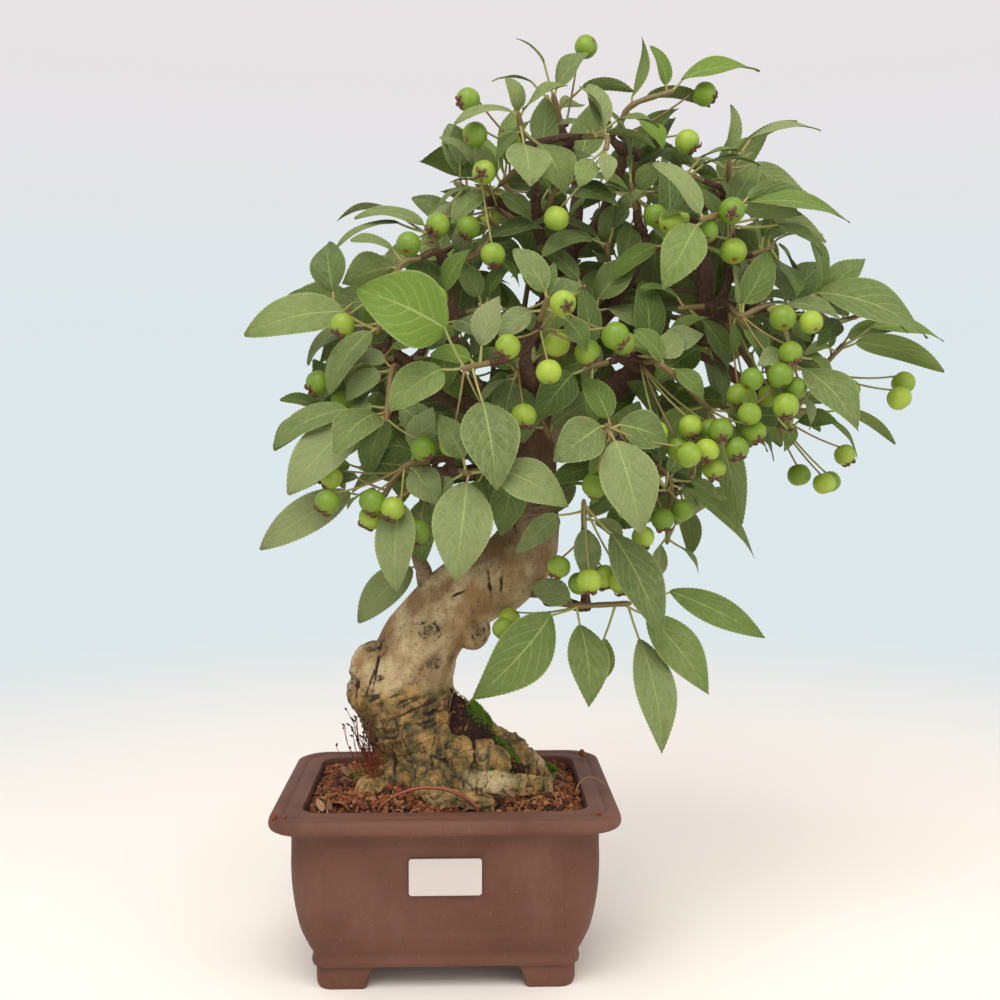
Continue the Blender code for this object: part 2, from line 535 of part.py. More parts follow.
def build_soil():
    bottom = FLOOR_TOP + MESH_SIZE[2] + 2 * SEAT_GAP
    heights = [bottom / MM, 25.0, 36.0, 54.0, 84.0, SOIL_EDGE_HEIGHT / MM]
    rings = [pot_ring(inner_half_width(h), h, inset=SEAT_GAP) for h in heights]
    edge = inner_half_width(SOIL_EDGE_HEIGHT / MM)
    rings.append(pot_ring(edge - 9, SOIL_PLATEAU_HEIGHT / MM - 1.2))
    rings.append(pot_ring(edge - 16, SOIL_PLATEAU_HEIGHT / MM))
    soil = solid("soil", *loft(rings), material("soil", (0.130, 0.060, 0.032), 0.95))
    radii = [r + SEAT_GAP for r in TRUNK_PLUG_RADII]
    hole_bottom = SOIL_PLATEAU_HEIGHT - TRUNK_PLUG_DEPTH - SEAT_GAP
    cutters = [upright_cylinder("trunk_hole", TRUNK_BASE, radii, hole_bottom, POT_HEIGHT + 0.01)]
    wire = (WIRE_RADIUS + SEAT_GAP, WIRE_RADIUS + SEAT_GAP)
    depth = SOIL_PLATEAU_HEIGHT - WIRE_IN_SOIL - SEAT_GAP
    for x in WIRE_SPAN:
        cutters.append(upright_cylinder("wire_hole", (x, WIRE_Y), wire, depth, POT_HEIGHT + 0.01, sides=8))
    return combine(soil, cutters, "DIFFERENCE")


def build_drain_mesh():
    width, depth, thick = MESH_SIZE
    low = FLOOR_TOP + SEAT_GAP
    plate = box("drain_mesh", (-width / 2, -depth / 2, low), (width / 2, depth / 2, low + thick))
    plate.data.materials.append(material("mesh_plastic", (0.02, 0.02, 0.02), 0.5))
    return plate


def build_label():
    width, thick, height = LABEL_SIZE
    front = -(79.6 * MM - (RIM_WIDTH - RIM_DEPTH) / 2) - SEAT_GAP
    low = LABEL_HEIGHT - height / 2
    plate = box("label", (-width / 2, front - thick, low), (width / 2, front, low + height))
    plate.data.materials.append(material("label_paper", (0.85, 0.85, 0.84), 0.5))
    return plate


def build_tie_wire():
    """An arch of wire whose two legs stand in narrow holes in the soil."""
    start, end = WIRE_SPAN
    foot = SOIL_PLATEAU_HEIGHT - WIRE_IN_SOIL
    knee = SOIL_PLATEAU_HEIGHT + 0.001
    points = [Vector((start, WIRE_Y, foot)), Vector((start, WIRE_Y, knee))]
    steps = 8
    for i in range(1, steps):
        share = i / steps
        x = start + (end - start) * share
        points.append(Vector((x, WIRE_Y, knee + WIRE_RISE * sin(pi * share) ** 0.7)))
    points += [Vector((end, WIRE_Y, knee)), Vector((end, WIRE_Y, foot))]
    vertices, faces = tube(points, [WIRE_RADIUS] * len(points), 6)
    return solid("tie_wire", vertices, faces, material("wire", (0.16, 0.065, 0.035), 0.45), smooth=True)


def build_moss():
    """A low bumpy cushion on the soil."""
    draw = random.Random(4)
    sides = 14
    low = SOIL_PLATEAU_HEIGHT + SEAT_GAP
    rings = []
    for reach, height in ((0.96, 0.0), (1.0, 0.25), (0.8, 0.7), (0.45, 0.95)):
        ring = []
        for i in range(sides):
            angle = 2 * pi * i / sides
            wave = reach * (1 + 0.10 * cos(3 * angle + 1) + draw.uniform(-0.05, 0.05))
            x = MOSS_PLACE[0] + MOSS_RADII[0] * wave * cos(angle)
            y = MOSS_PLACE[1] + MOSS_RADII[1] * wave * sin(angle)
            ring.append((x, y, low + MOSS_RADII[2] * height))
        rings.append(ring)
    return solid("moss", *loft(rings), material("moss", (0.10, 0.19, 0.02), 1.0), smooth=True)


# Round stretches of wood and stalks

def tube(points, radii, sides, swell=None):
    """A closed tube along points; swell scales its radius by angle and by share of the length."""
    legs = [(b - a).normalized() for a, b in zip(points, points[1:])]
    tangents = [(a + b).normalized() for a, b in zip(legs[:1] + legs, legs + legs[-1:])]
    side = tangents[0].orthogonal().normalized()
    rings = []
    for index, (point, radius, tangent) in enumerate(zip(points, radii, tangents)):
        side = (side - tangent * side.dot(tangent)).normalized()
        other = tangent.cross(side)
        ring = []
        for i in range(sides):
            angle = 2 * pi * i / sides
            reach = radius * (swell(angle, index / (len(points) - 1)) if swell else 1.0)
            ring.append(point + side * (reach * cos(angle)) + other * (reach * sin(angle)))
        rings.append(ring)
    return loft(rings)


def path_of(rows):
    return [Vector(row[:3]) * MM for row in rows], [row[3] * MM for row in rows]


def ball(centre, radius, rings=4, sides=7):
    """Vertices and faces of a round lump."""
    vertices = [centre + Vector((0, 0, -radius))]
    for row in range(1, rings):
        height = -cos(pi * row / rings)
        reach = sin(pi * row / rings)
        for i in range(sides):
            angle = 2 * pi * i / sides
            vertices.append(centre + radius * Vector((reach * cos(angle), reach * sin(angle), height)))
    vertices.append(centre + Vector((0, 0, radius)))
    faces = []
    top = len(vertices) - 1
    for i in range(sides):
        j = (i + 1) % sides
        faces.append((0, 1 + j, 1 + i))
        for row in range(rings - 2):
            base = 1 + row * sides
            faces.append((base + i, base + j, base + sides + j, base + sides + i))
        faces.append((top - sides + i, top - sides + j, top))
    return vertices, faces


def fruit_spur(centre, heading, growth=0.0):
    """The short woody spur beside a twig that a bunch's stalks grow from."""
    half = heading * (FRUIT_SPUR_LENGTH / 2)
    radius = FRUIT_SPUR_RADIUS + growth
    return tube([centre - half, centre + half], [radius, 0.8 * radius], FRUIT_SIDES)


def trunk_swell(angle, share):
    """Shallow flutes that deepen towards the base."""
    return 1 + (0.04 + 0.06 * (1 - share) ** 3) * cos(3 * angle + 2.0 * share) + 0.03 * cos(5 * angle + 1.3)


def limb_parts():
    """The limbs as (points, radii)."""
    return {name: path_of(rows) for name, rows in LIMBS.items()}


def build_wood(limbs, twigs, bark, growth):
    """Trunk, roots, knots, limbs and twigs grown into one body, standing on the soil with a plug in it."""
    wood = solid("wood", *tube(*path_of(TRUNK), TRUNK_SIDES, trunk_swell), bark, split=True)
    knots = [ball(Vector(row[:3]) * MM, row[3] * MM + growth) for row in KNOTS]
    parts = [solid("knot", *knot, split=True) for knot in knots]
    roots = [path_of(rows) for rows in ROOTS.values()]
    for paths, sides in ((roots, ROOT_SIDES), (limbs.values(), LIMB_SIDES), (twigs, TWIG_SIDES)):
        for points, radii in paths:
            thickened = [radius + growth for radius in radii]
            parts.append(solid("limb", *tube(points, thickened, sides), split=True))
    combine(wood, parts, "UNION", "MANIFOLD")
    ground = SOIL_PLATEAU_HEIGHT + SEAT_GAP
    combine(wood, [box("ground", (-0.1, -0.1, 0.0), (0.1, 0.1, ground))], "DIFFERENCE", "MANIFOLD")
    foot = SOIL_PLATEAU_HEIGHT - TRUNK_PLUG_DEPTH
    plug = upright_cylinder("plug", TRUNK_BASE, TRUNK_PLUG_RADII, foot, ground + 0.004)
    return combine(wood, [plug], "UNION", "MANIFOLD")


# Leaves and fruits as bare shapes

Leaf = namedtuple("Leaf", "root base tip normal width")
Fruit = namedtuple("Fruit", "foot centre axis radius")


def direction(bearing, lean, side=FRONT):
    """Unit vector for a bearing seen from the front and a lean towards the side of the crown."""
    b, l = radians(bearing), radians(lean)
    return Vector((cos(b) * cos(l), side * sin(l), sin(b) * cos(l)))


def blade_share(t):
    """Half width of an ovate blade over its length, as a share of its widest."""
    return sin(pi * t ** 0.8) ** 0.85


def leaf_frame(root, row, side, turn, roll):
    """A leaf from its table row, with the turn that clears it from its neighbours."""
    bearing, stalk, blade, lean, facing, ratio = row
    bearing, lean, blade = bearing + turn[0], lean + turn[1], blade * turn[2]
    chord = direction(bearing, lean, side)
    base = root + direction(bearing + 45 * cos(radians(bearing)), lean, side) * (stalk * MM)
    away = root - CROWN_CENTRE
    away.normalize()
    outward = (0.6 * away + 0.8 * Vector((0, side, 0))).normalized()
    up = 0.55 * Vector((0, 0, 1)) + outward * facing + Vector((0.15, 0, 0))
    up = (up - chord * up.dot(chord)).normalized()
    up.rotate(Matrix.Rotation(radians(roll), 3, chord))
    return Leaf(root, base, base + chord * (blade * MM), up, ratio * blade * MM)


def coarse_leaf(leaf, grow=0.0, from_share=0.0):
    """A blade with a toothed edge, thick along its midrib, on a three-sided stalk sunk at its root.

    grow adds clearance all round, and from_share leaves out the stalk's first part.
    """
    span = leaf.tip - leaf.base
    length = span.length
    along = span / length
    across = along.cross(leaf.normal)
    arch = 0.11 * length
    half = leaf.width / 2 + grow
    edges, ribs = next(points for least, *points in BLADE_POINTS if length > least)
    fold = 0.16
    thick = BLADE_THICKNESS / 2 + grow

    def rib(t):
        return leaf.base + span * t + leaf.normal * (4 * arch * t * (1 - t))

    def edge(t, hand, tooth):
        wave = 0.05 * leaf.width * sin(7 * t + 2 * hand)
        reach = half * blade_share(t) * tooth
        return rib(t) + across * (hand * reach) + leaf.normal * (fold * reach + wave)

    width = STALK_RADIUS + grow
    beside = across * width
    vertices = [leaf.base - beside, leaf.base + beside, leaf.base - leaf.normal * (1.5 * width)]
    start = leaf.root + (leaf.base - leaf.root) * from_share
    vertices += [v + start - leaf.base for v in vertices]
    left, right, below = 0, 1, 2
    top_rib, low_rib = [], []
    for i in range(ribs):
        point = rib((i + 1) / (ribs + 1))
        top_rib.append(len(vertices))
        low_rib.append(len(vertices) + 1)
        vertices += [point + leaf.normal * thick, point - leaf.normal * thick]
    chains = []
    for hand in (-1, 1):
        chain = []
        for i in range(edges):
            chain.append(len(vertices))
            vertices.append(edge((i + 1) / (edges + 1), hand, 0.93 if i % 2 == 0 else 1.06))
        chains.append(chain)
    tip = len(vertices)
    vertices.append(leaf.tip + along * grow)
    faces = [(left, right, top_rib[0])]
    faces += [(3, 4, right, left), (4, 5, below, right), (5, 3, left, below), (5, 4, 3)]
    for start_corner, chain in ((left, chains[0]), (right, chains[1])):
        outer = [start_corner] + chain + [tip]
        for inner in (top_rib + [tip], [below] + low_rib + [tip]):
            faces += strip(outer, inner)
    return vertices, faces


def strip(outer, inner):
    """Triangles between two chains of points that start near each other and share their last point."""
    faces = []
    i = j = 0
    while i < len(outer) - 1 or j < len(inner) - 1:
        ahead_outer = (i + 1) / (len(outer) - 1)
        ahead_inner = (j + 1) / (len(inner) - 1)
        if i < len(outer) - 1 and (ahead_outer <= ahead_inner or j == len(inner) - 1):
            corners = (outer[i], outer[i + 1], inner[j])
            i += 1
        else:
            corners = (outer[i], inner[j + 1], inner[j])
            j += 1
        if len(set(corners)) == 3:
            faces.append(corners)
    return faces


def coarse_fruit(fruit, grow=0.0):
    """A turned fruit on its stalk, with the flared dried flower at its end."""
    radius = fruit.radius + grow
    stalk = FRUIT_STALK_RADIUS + grow
    top = fruit.centre - fruit.axis * (radius * 0.9)
    points = [fruit.foot, top]
    radii = [stalk, stalk]
    for height, reach in FRUIT_OUTLINE:
        points.append(fruit.centre + fruit.axis * (height * radius))
        radii.append(reach * radius)
    return tube(points, radii, FRUIT_SIDES)


# Growing the crown clear of itself

class Crown:
    """Everything placed so far, as search trees with their owner's name."""

    def __init__(self):
        self.shapes = []

    def add(self, owner, kind, vertices, faces):
        low = Vector([min(v[k] for v in vertices) for k in range(3)])
        high = Vector([max(v[k] for v in vertices) for k in range(3)])
        self.shapes.append((owner, kind, low, high, BVHTree.FromPolygons(vertices, faces)))

    def clear(self, vertices, faces, skip=lambda owner, kind: False):
        low = [min(v[k] for v in vertices) for k in range(3)]
        high = [max(v[k] for v in vertices) for k in range(3)]
        tree = BVHTree.FromPolygons(vertices, faces)
        for owner, kind, other_low, other_high, other in self.shapes:
            apart = any(low[k] > other_high[k] or high[k] < other_low[k] for k in range(3))
            if not apart and not skip(owner, kind) and tree.overlap(other):
                return False
        return True


def stem_places(stem):
    return [Vector(spur.place) * MM for spur in stem.spurs]


def mirrored_stems():
    """The back stems, each a front stem mirrored with a drawn shift and turn."""
    draw = random.Random(11)
    by_name = {stem.name: stem for stem in FRONT_STEMS}
    stems = []
    for name in BACK_STEMS:
        front = by_name[name]
        shift = [draw.uniform(-BACK_SHIFT, BACK_SHIFT) for _ in range(3)]
        spurs = []
        for spur in front.spurs:
            x, y, z = spur.place
            place = (x + shift[0], BACK_DEPTH + BACK_FLATTENING * abs(y) + shift[1], z + shift[2])
            leaves = tuple(
                (bearing + draw.uniform(-BACK_TURN, BACK_TURN), max(stalk, BACK_LEAST_STALK), *rest)
                for bearing, stalk, *rest in spur.leaves
            )
            spurs.append(Spur(place, leaves))
        fruits = front.fruits[:BACK_FRUITS.get(name, 0)]
        stems.append(Stem("back_" + name, BACK, tuple(spurs), fruits))
    return stems


def inside_outline(x, z):
    """Says whether a point of the front view lies inside the crown's outline."""
    inside = False
    for (ax, az), (bx, bz) in zip(CROWN_OUTLINE, CROWN_OUTLINE[-1:] + CROWN_OUTLINE[:-1]):
        if (az > z) != (bz > z) and x < (bx - ax) * (z - az) / (bz - az) + ax:
            inside = not inside
    return inside


def inner_stems():
    """Sprigs on a jittered grid, by layer; those of a layer share its name, because they grow as one."""
    draw = random.Random(23)
    (low_x, high_x), (low_z, high_z) = ((min(row), max(row)) for row in zip(*CROWN_OUTLINE))
    stems = {layer: [] for layer, *_ in INNER_LAYERS}
    for layer, depth, spacing in INNER_LAYERS:
        for row in range(int((high_z - low_z) / spacing) + 1):
            for column in range(int((high_x - low_x) / spacing) + 1):
                x = low_x + spacing * (column + 0.5 * (row % 2)) + draw.uniform(-INNER_JITTER, INNER_JITTER)
                y = depth + draw.uniform(-INNER_JITTER, INNER_JITTER)
                z = low_z + spacing * row + draw.uniform(-INNER_JITTER, INNER_JITTER)
                first = draw.uniform(0, 360)
                leaves = []
                for index in range(INNER_LEAVES):
                    bearing = first + 360 * index / INNER_LEAVES + draw.uniform(-BACK_TURN, BACK_TURN)
                    leaves.append((bearing, draw.uniform(6, 12), draw.uniform(33, 43),
                        draw.uniform(-20, 30), draw.uniform(0.5, 0.95), draw.uniform(0.46, 0.6)))
                if inside_outline(x, z):
                    stems[layer].append(Stem("inner_" + layer, BACK, (Spur((x, y, z), tuple(leaves)),), ()))
    return stems


def nearest_wood(place, samples):
    """The sampled wood point that a twig to this place would leave from, rising where it can."""
    far_enough = [point for point in samples if (place - point).length > STEM_LENGTH + LEAST_TWIG]
    return min(far_enough, key=lambda point: (place - point).length + 0.6 * max(0.0, point.z - place.z))


def stem_path(places, heading):
    """Start of the green stem, its spurs, and a short tip."""
    end_heading = (places[-1] - places[-2]).normalized() if len(places) > 1 else heading
    return [places[0] - heading * STEM_LENGTH] + places + [places[-1] + end_heading * 0.002]


def stem_tube(path, grow=0.0):
    radii = [STEM_RADIUS + grow] * (len(path) - 1) + [0.5 * STEM_RADIUS + grow]
    return tube(path, radii, STEM_SIDES)


def twig_path(start, stem_start, heading):
    """From the wood to the green stem, which the twig meets square on."""
    end = stem_start - heading * SEAT_GAP
    return [start, end - heading * (TWIG_LEAD * (end - start).length), end]


def clear_twig(stem, samples, crown):
    """Heading, stem path and twig for a stem, clear of the other stems, or None."""
    places = stem_places(stem)
    start = nearest_wood(places[0], samples)
    onward = (places[-1] - places[0]).normalized()
    for lift, sway in product((0.12, 0.3, -0.1, 0.5), (0.0, 0.25, -0.25, 0.5, -0.5)):
        heading = (places[0] - start).normalized() + Vector((sway, 0, lift)) + STEM_LEAD * onward
        heading.normalize()
        path = stem_path(places, heading)
        twig = twig_path(start, path[0], heading)
        grown = stem_tube(path, CLEARANCE)
        twig_shape = tube(twig, [TWIG_RADII[0] + CLEARANCE] * 3, TWIG_SIDES)
        if crown.clear(*grown) and crown.clear(*twig_shape, skip=lambda owner, kind: kind == "wood"):
            return heading, path, twig
    return None


def add_twig(stem, found, samples, crown):
    """Places a stem and its twig, and returns the twig with its radii."""
    _, path, twig = found
    radii = [TWIG_RADII[0] + (TWIG_RADII[1] - TWIG_RADII[0]) * share for share in (0, 0.6, 1)]
    crown.add(stem.name, "stem", *stem_tube(path))
    crown.add("wood", "wood", *tube(twig, radii, TWIG_SIDES))
    samples += [twig[0].lerp(twig[1], 0.5), twig[1]]
    return twig, radii


def grow_twigs(stems, samples, crown):
    """Finds each stem's heading and the twig that carries it, clear of the other stems."""
    order = sorted(stems, key=lambda stem: min((stem_places(stem)[0] - p).length for p in samples))
    headings, twigs = {}, []
    for stem in order:
        found = clear_twig(stem, samples, crown)
        if found is None:
            raise RuntimeError("no clear twig for " + stem.name)
        headings[stem.name] = found[0]
        twigs.append(add_twig(stem, found, samples, crown))
    return headings, twigs


def grow_fruits(stem, heading, crown):
    """The stem's fruits on stalks from a spur beside the twig's end, as far as they are clear."""
    place = stem_places(stem)[0]
    wanted = [place + direction(b, l, stem.side) * (d * MM) for b, d, l in stem.fruits]
    mean = sum(wanted, Vector()) / len(wanted)
    twig_end = place - heading * (STEM_LENGTH + 0.003)
    aside = mean - twig_end
    aside = (aside - heading * aside.dot(heading)).normalized()
    best = None
    for turn, gap in product((0, 25, -25, 50, -50, 80, -80, 120, -120, 180), FRUIT_SPUR_GAPS):
        turned = aside.copy()
        turned.rotate(Matrix.Rotation(radians(turn), 3, heading))
        spur = twig_end + turned * (TWIG_RADII[1] + FRUIT_SPUR_RADIUS + gap)
        if not crown.clear(*fruit_spur(spur, heading, 0.5 * CLEARANCE)):
            continue
        fruits = []
        for index, (bearing, distance, lean) in enumerate(stem.fruits):
            foot = spur + heading * (FRUIT_SPACING * (index - len(stem.fruits) / 2))
            for turn_bearing, turn_lean in FRUIT_TURNS:
                way = direction(bearing + turn_bearing, lean + turn_lean, stem.side)
                centre = place + way * (distance * MM)
                axis = (0.55 * (centre - foot).normalized() + Vector((0, 0, -0.45))).normalized()
                fruit = Fruit(foot, centre, axis, FRUIT_RADIUS)
                spaced = all((centre - other.centre).length > 2.15 * FRUIT_RADIUS for other in fruits)
                if spaced and crown.clear(*coarse_fruit(fruit, CLEARANCE)):
                    fruits.append(fruit)
                    break
        if best is None or len(fruits) > len(best[1]):
            best = (spur, fruits)
        if len(fruits) == len(stem.fruits):
            break
    for fruit in best[1]:
        crown.add(stem.name + "_fruits", "fruit", *coarse_fruit(fruit))
    return best


def grow_leaves(stem, heading, crown, draw):
    """The stem's leaves, each turned until it is clear of all that is placed, or left out."""
    leaves = []
    path = stem_path(stem_places(stem), heading)
    for number, spur in enumerate(stem.spurs):
        place = path[number + 1]
        back = (path[number] - place).normalized()
        step = min(LEAF_SPACING, 0.8 * (path[number] - place).length / len(spur.leaves))
        for index, row in enumerate(spur.leaves):
            root = place + back * (step * index)
            roll = draw.uniform(-12, 12)
            for turn in LEAF_TURNS:
                leaf = leaf_frame(root, row, stem.side, turn, roll)
                outer = coarse_leaf(leaf, CLEARANCE, from_share=0.5 if row[1] > 6 else 0.8)
                whole = coarse_leaf(leaf, CLEARANCE)
                own = crown.clear(*outer, skip=lambda owner, kind: owner != stem.name)
                if own and crown.clear(*whole, skip=lambda owner, kind: owner == stem.name):
                    leaves.append(leaf)
                    crown.add(stem.name, "leaf", *coarse_leaf(leaf))
                    break
    return leaves


def clear_shoot(stem, joints, crown):
    """Heading, stem path and shoot for a sprig on its own branch, clear of all others, or None."""
    place = stem_places(stem)[0]
    far_enough = [joint for joint in joints if (place - joint).length > STEM_LENGTH + LEAST_TWIG]
    for start in sorted(far_enough, key=lambda joint: (place - joint).length)[:SHOOT_STARTS]:
        for lift, sway in product((0.12, 0.4, -0.2), (0.0, 0.35, -0.35)):
            heading = ((place - start).normalized() + Vector((sway, 0, lift))).normalized()
            path = stem_path([place], heading)
            bend = path[0] - heading * (TWIG_LEAD * (path[0] - start).length)
            shoot = [start, bend, path[0] + heading * SHOOT_OVERLAP]
            shapes = (stem_tube(path, CLEARANCE), tube(shoot, [TWIG_RADII[1] + CLEARANCE] * 3, TWIG_SIDES))
            if all(crown.clear(*shape, skip=lambda owner, kind: owner == stem.name) for shape in shapes):
                return heading, path, shoot
    return None


def grow_branch(sprigs, samples, crown, draw):
    """A leafy branch: its first sprig is on a twig of the wood, and each next one grows from those before.

    Returns the twig and the sprigs as (stem, heading, leaves, shoot), the first one without a shoot.
    """
    grown, joints, carrier = [], [], None
    for stem in sorted(sprigs, key=lambda stem: min((stem_places(stem)[0] - p).length for p in samples)):
        first = carrier is None
        found = clear_twig(stem, samples, crown) if first else clear_shoot(stem, joints, crown)
        if found is None:
            continue
        heading, path, way = found
        placed, known = len(crown.shapes), len(samples)
        if first:
            twig = add_twig(stem, found, samples, crown)
        else:
            crown.add(stem.name, "stem", *stem_tube(path))
            crown.add(stem.name, "stem", *tube(way, [TWIG_RADII[1]] * 3, TWIG_SIDES))
        leaves = grow_leaves(stem, heading, crown, draw)
        if len(leaves) < INNER_LEAVES:
            del crown.shapes[placed:]
            del samples[known:]
            continue
        grown.append((stem, heading, leaves, None if first else way))
        joints.append(path[0].lerp(path[1], SHOOT_FOOT))
        joints += [] if first else [way[0].lerp(way[1], 0.6), way[1]]
        if first:
            carrier = twig
    return carrier, grown


def uneven(growth, count):
    """A growth for each of count pieces, unlike its neighbours'."""
    return [growth * (0.5 + 0.5 * (index % 3)) for index in range(count)]


def build_stem(stem, heading, leaves, finish, growth):
    path = stem_path(stem_places(stem), heading)
    body = solid("leaves_" + stem.name, *stem_tube(path, growth), finish, split=True)
    growths = uneven(growth, len(leaves))
    parts = [solid("blade", *coarse_leaf(leaf, grow), split=True) for leaf, grow in zip(leaves, growths)]
    return combine(body, parts, "UNION", "MANIFOLD")


def build_branch(layer, sprigs, finish, growth):
    """A leafy branch in one body: each sprig's stem, the shoot that carries it, and its leaves."""
    body, parts = None, []
    for stem, heading, leaves, shoot in sprigs:
        path = stem_path(stem_places(stem), heading)
        thick = growth * (1 + 0.5 * (len(parts) % 3))
        grown = solid("leaves_inner_" + layer, *stem_tube(path, thick), finish, split=True)
        if body is None:
            body = grown
        else:
            parts.append(grown)
            radii = [TWIG_RADII[1] + thick] * 3
            parts.append(solid("shoot", *tube(shoot, radii, TWIG_SIDES), split=True))
        growths = uneven(growth, len(leaves))
        parts += [solid("blade", *coarse_leaf(leaf, grow), split=True) for leaf, grow in zip(leaves, growths)]
    return combine(body, parts, "UNION", "MANIFOLD")


def build_bunch(stem, heading, spur, fruits, finish, growth):
    body = solid("fruits_" + stem.name, *fruit_spur(spur, heading, growth), finish, split=True)
    growths = uneven(growth, len(fruits))
    parts = [solid("fruit", *coarse_fruit(fruit, grow), split=True) for fruit, grow in zip(fruits, growths)]
    return combine(body, parts, "UNION", "MANIFOLD")


def middle_of_all():
    """Middle of the whole outline in X and Y."""
    pieces = [item for item in bpy.data.objects if item.type == "MESH"]
    points = [piece.matrix_world @ vertex.co for piece in pieces for vertex in piece.data.vertices]
    middle = [(min(p[k] for p in points) + max(p[k] for p in points)) / 2 for k in (0, 1)]
    return Vector((*middle, 0.0))


def main():
    clear_scene()
    stems = list(FRONT_STEMS) + mirrored_stems()
    limbs = limb_parts()
    crown = Crown()
    crown.add("wood", "wood", *tube(*path_of(TRUNK), TRUNK_SIDES, trunk_swell))
    for points, radii in limbs.values():
        crown.add("wood", "wood", *tube(points, radii, LIMB_SIDES))
    samples = [point for points, _ in limbs.values() for point in points[1:]]
    headings, twigs = grow_twigs(stems, samples, crown)
    bunches = {}
    for stem in stems:
        if stem.fruits:
            bunches[stem.name] = grow_fruits(stem, headings[stem.name], crown)
    draw = random.Random(7)
    foliage = {stem.name: grow_leaves(stem, headings[stem.name], crown, draw) for stem in stems}
    branches = {}
    for layer, sprigs in inner_stems().items():
        twig, branches[layer] = grow_branch(sprigs, samples, crown, draw)
        twigs.append(twig)

    build_pot()
    build_soil()
    build_drain_mesh()
    build_label()
    build_tie_wire()
    build_moss()
    bark = material("bark", (0.36, 0.27, 0.19), 0.9)
    green = material("leaf", (0.115, 0.190, 0.060), 0.55)
    apple = material("apple", (0.33, 0.46, 0.06), 0.4)
    grown_together(partial(build_wood, limbs, twigs, bark))
    for stem in stems:
        grown_together(partial(build_stem, stem, headings[stem.name], foliage[stem.name], green))
        if stem.name in bunches:
            grown_together(partial(build_bunch, stem, headings[stem.name], *bunches[stem.name], apple))
    for layer, sprigs in branches.items():
        grown_together(partial(build_branch, layer, sprigs, green))

    base = bpy.data.objects.new("bonsai", None)
    bpy.context.scene.collection.objects.link(base)
    middle = middle_of_all()
    for item in bpy.data.objects:
        if item.type == "MESH":
            item.parent = base
    base.location = -middle


if __name__ == "__main__":
    main()
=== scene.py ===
"""Hall crabapple bonsai: the fine surfaces of the tree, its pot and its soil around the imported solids.

Frame: +Z up, the front view looks along +Y, metres. The tree's tables are in millimetres from the middle of
the pot's footprint at ground level, as in the part's source, and each piece is moved into the frame as it
is made. The crown grows here by the source's own rule, so that every fine leaf and fruit lies on its solid.
"""

import random
from collections import namedtuple
from functools import lru_cache
from itertools import product
from math import cos, exp, pi, radians, sin

import bmesh
import bpy
import numpy as np
from bpy.props import FloatProperty, FloatVectorProperty, IntProperty, PointerProperty
from bpy.types import Operator, Panel, PropertyGroup
from mathutils import Matrix, Vector, noise
from mathutils.bvhtree import BVHTree


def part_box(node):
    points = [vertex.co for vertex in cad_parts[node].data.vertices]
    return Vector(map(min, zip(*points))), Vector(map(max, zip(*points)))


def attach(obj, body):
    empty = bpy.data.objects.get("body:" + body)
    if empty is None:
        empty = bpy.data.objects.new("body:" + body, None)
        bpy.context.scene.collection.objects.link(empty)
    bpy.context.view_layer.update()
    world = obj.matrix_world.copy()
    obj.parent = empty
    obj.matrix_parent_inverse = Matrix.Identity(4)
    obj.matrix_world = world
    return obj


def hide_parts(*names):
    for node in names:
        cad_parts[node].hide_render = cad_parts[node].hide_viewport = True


bl_info = {
    "name": "Hall Crabapple Bonsai",
    "version": (1, 0, 0),
    "blender": (4, 5, 0),
    "location": "3D View > Sidebar > Bonsai",
    "description": "Dresses the bonsai's solids in bark, leaves, fruits, soil, moss and stoneware",
    "category": "Object",
}

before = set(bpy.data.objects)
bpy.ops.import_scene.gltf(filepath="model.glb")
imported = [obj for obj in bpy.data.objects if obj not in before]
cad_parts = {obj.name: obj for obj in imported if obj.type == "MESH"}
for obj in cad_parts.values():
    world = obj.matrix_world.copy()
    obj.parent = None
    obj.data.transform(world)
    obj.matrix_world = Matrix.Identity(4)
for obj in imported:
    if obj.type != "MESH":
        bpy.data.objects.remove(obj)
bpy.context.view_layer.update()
POT_LOW, POT_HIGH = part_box("pot")
POT_CENTRE = Vector(((POT_LOW.x + POT_HIGH.x) / 2, (POT_LOW.y + POT_HIGH.y) / 2, 0.0))

MM = 0.001
SEAT_GAP = 0.0003

# The part's own measures and tables

# Driving dimensions of the pot
RIM_WIDTH = 0.180
RIM_DEPTH = 0.140
POT_HEIGHT = 0.095
FOOT_HEIGHT = 0.012
FOOT_HALF_WIDTH = 0.0676
FOOT_LEG = 0.027
FOOT_THICKNESS = 0.010
FLOOR_TOP = 0.020
CORNER_RADIUS = 0.018
CORNER_POINTS = 4
DRAIN_HOLE_DIAMETER = 0.016
DRAIN_HOLE_OFFSET = 0.035

# Outer profile of the pot's long section as half width and height in mm, from the foot to the rim groove
OUTER_PROFILE = (
    (67.6, 0.0), (67.6, 12.0), (69.3, 12.6), (69.8, 15.5), (69.3, 18.6), (71.7, 23.7), (75.2, 32.7),
    (77.4, 42.9), (78.9, 54.3), (79.5, 66.0), (79.8, 84.4), (85.5, 86.4), (89.4, 88.2), (90.0, 91.5),
    (88.9, 94.4), (87.6, 95.0), (84.2, 95.0), (82.6, 94.0), (81.0, 95.0), (75.0, 95.0), (73.5, 93.6),
)
# Inner wall of the same section, from the mouth down to the floor
INNER_PROFILE = ((73.3, 84.0), (72.6, 54.0), (70.0, 36.0), (65.5, 25.0), (61.5, 20.0))

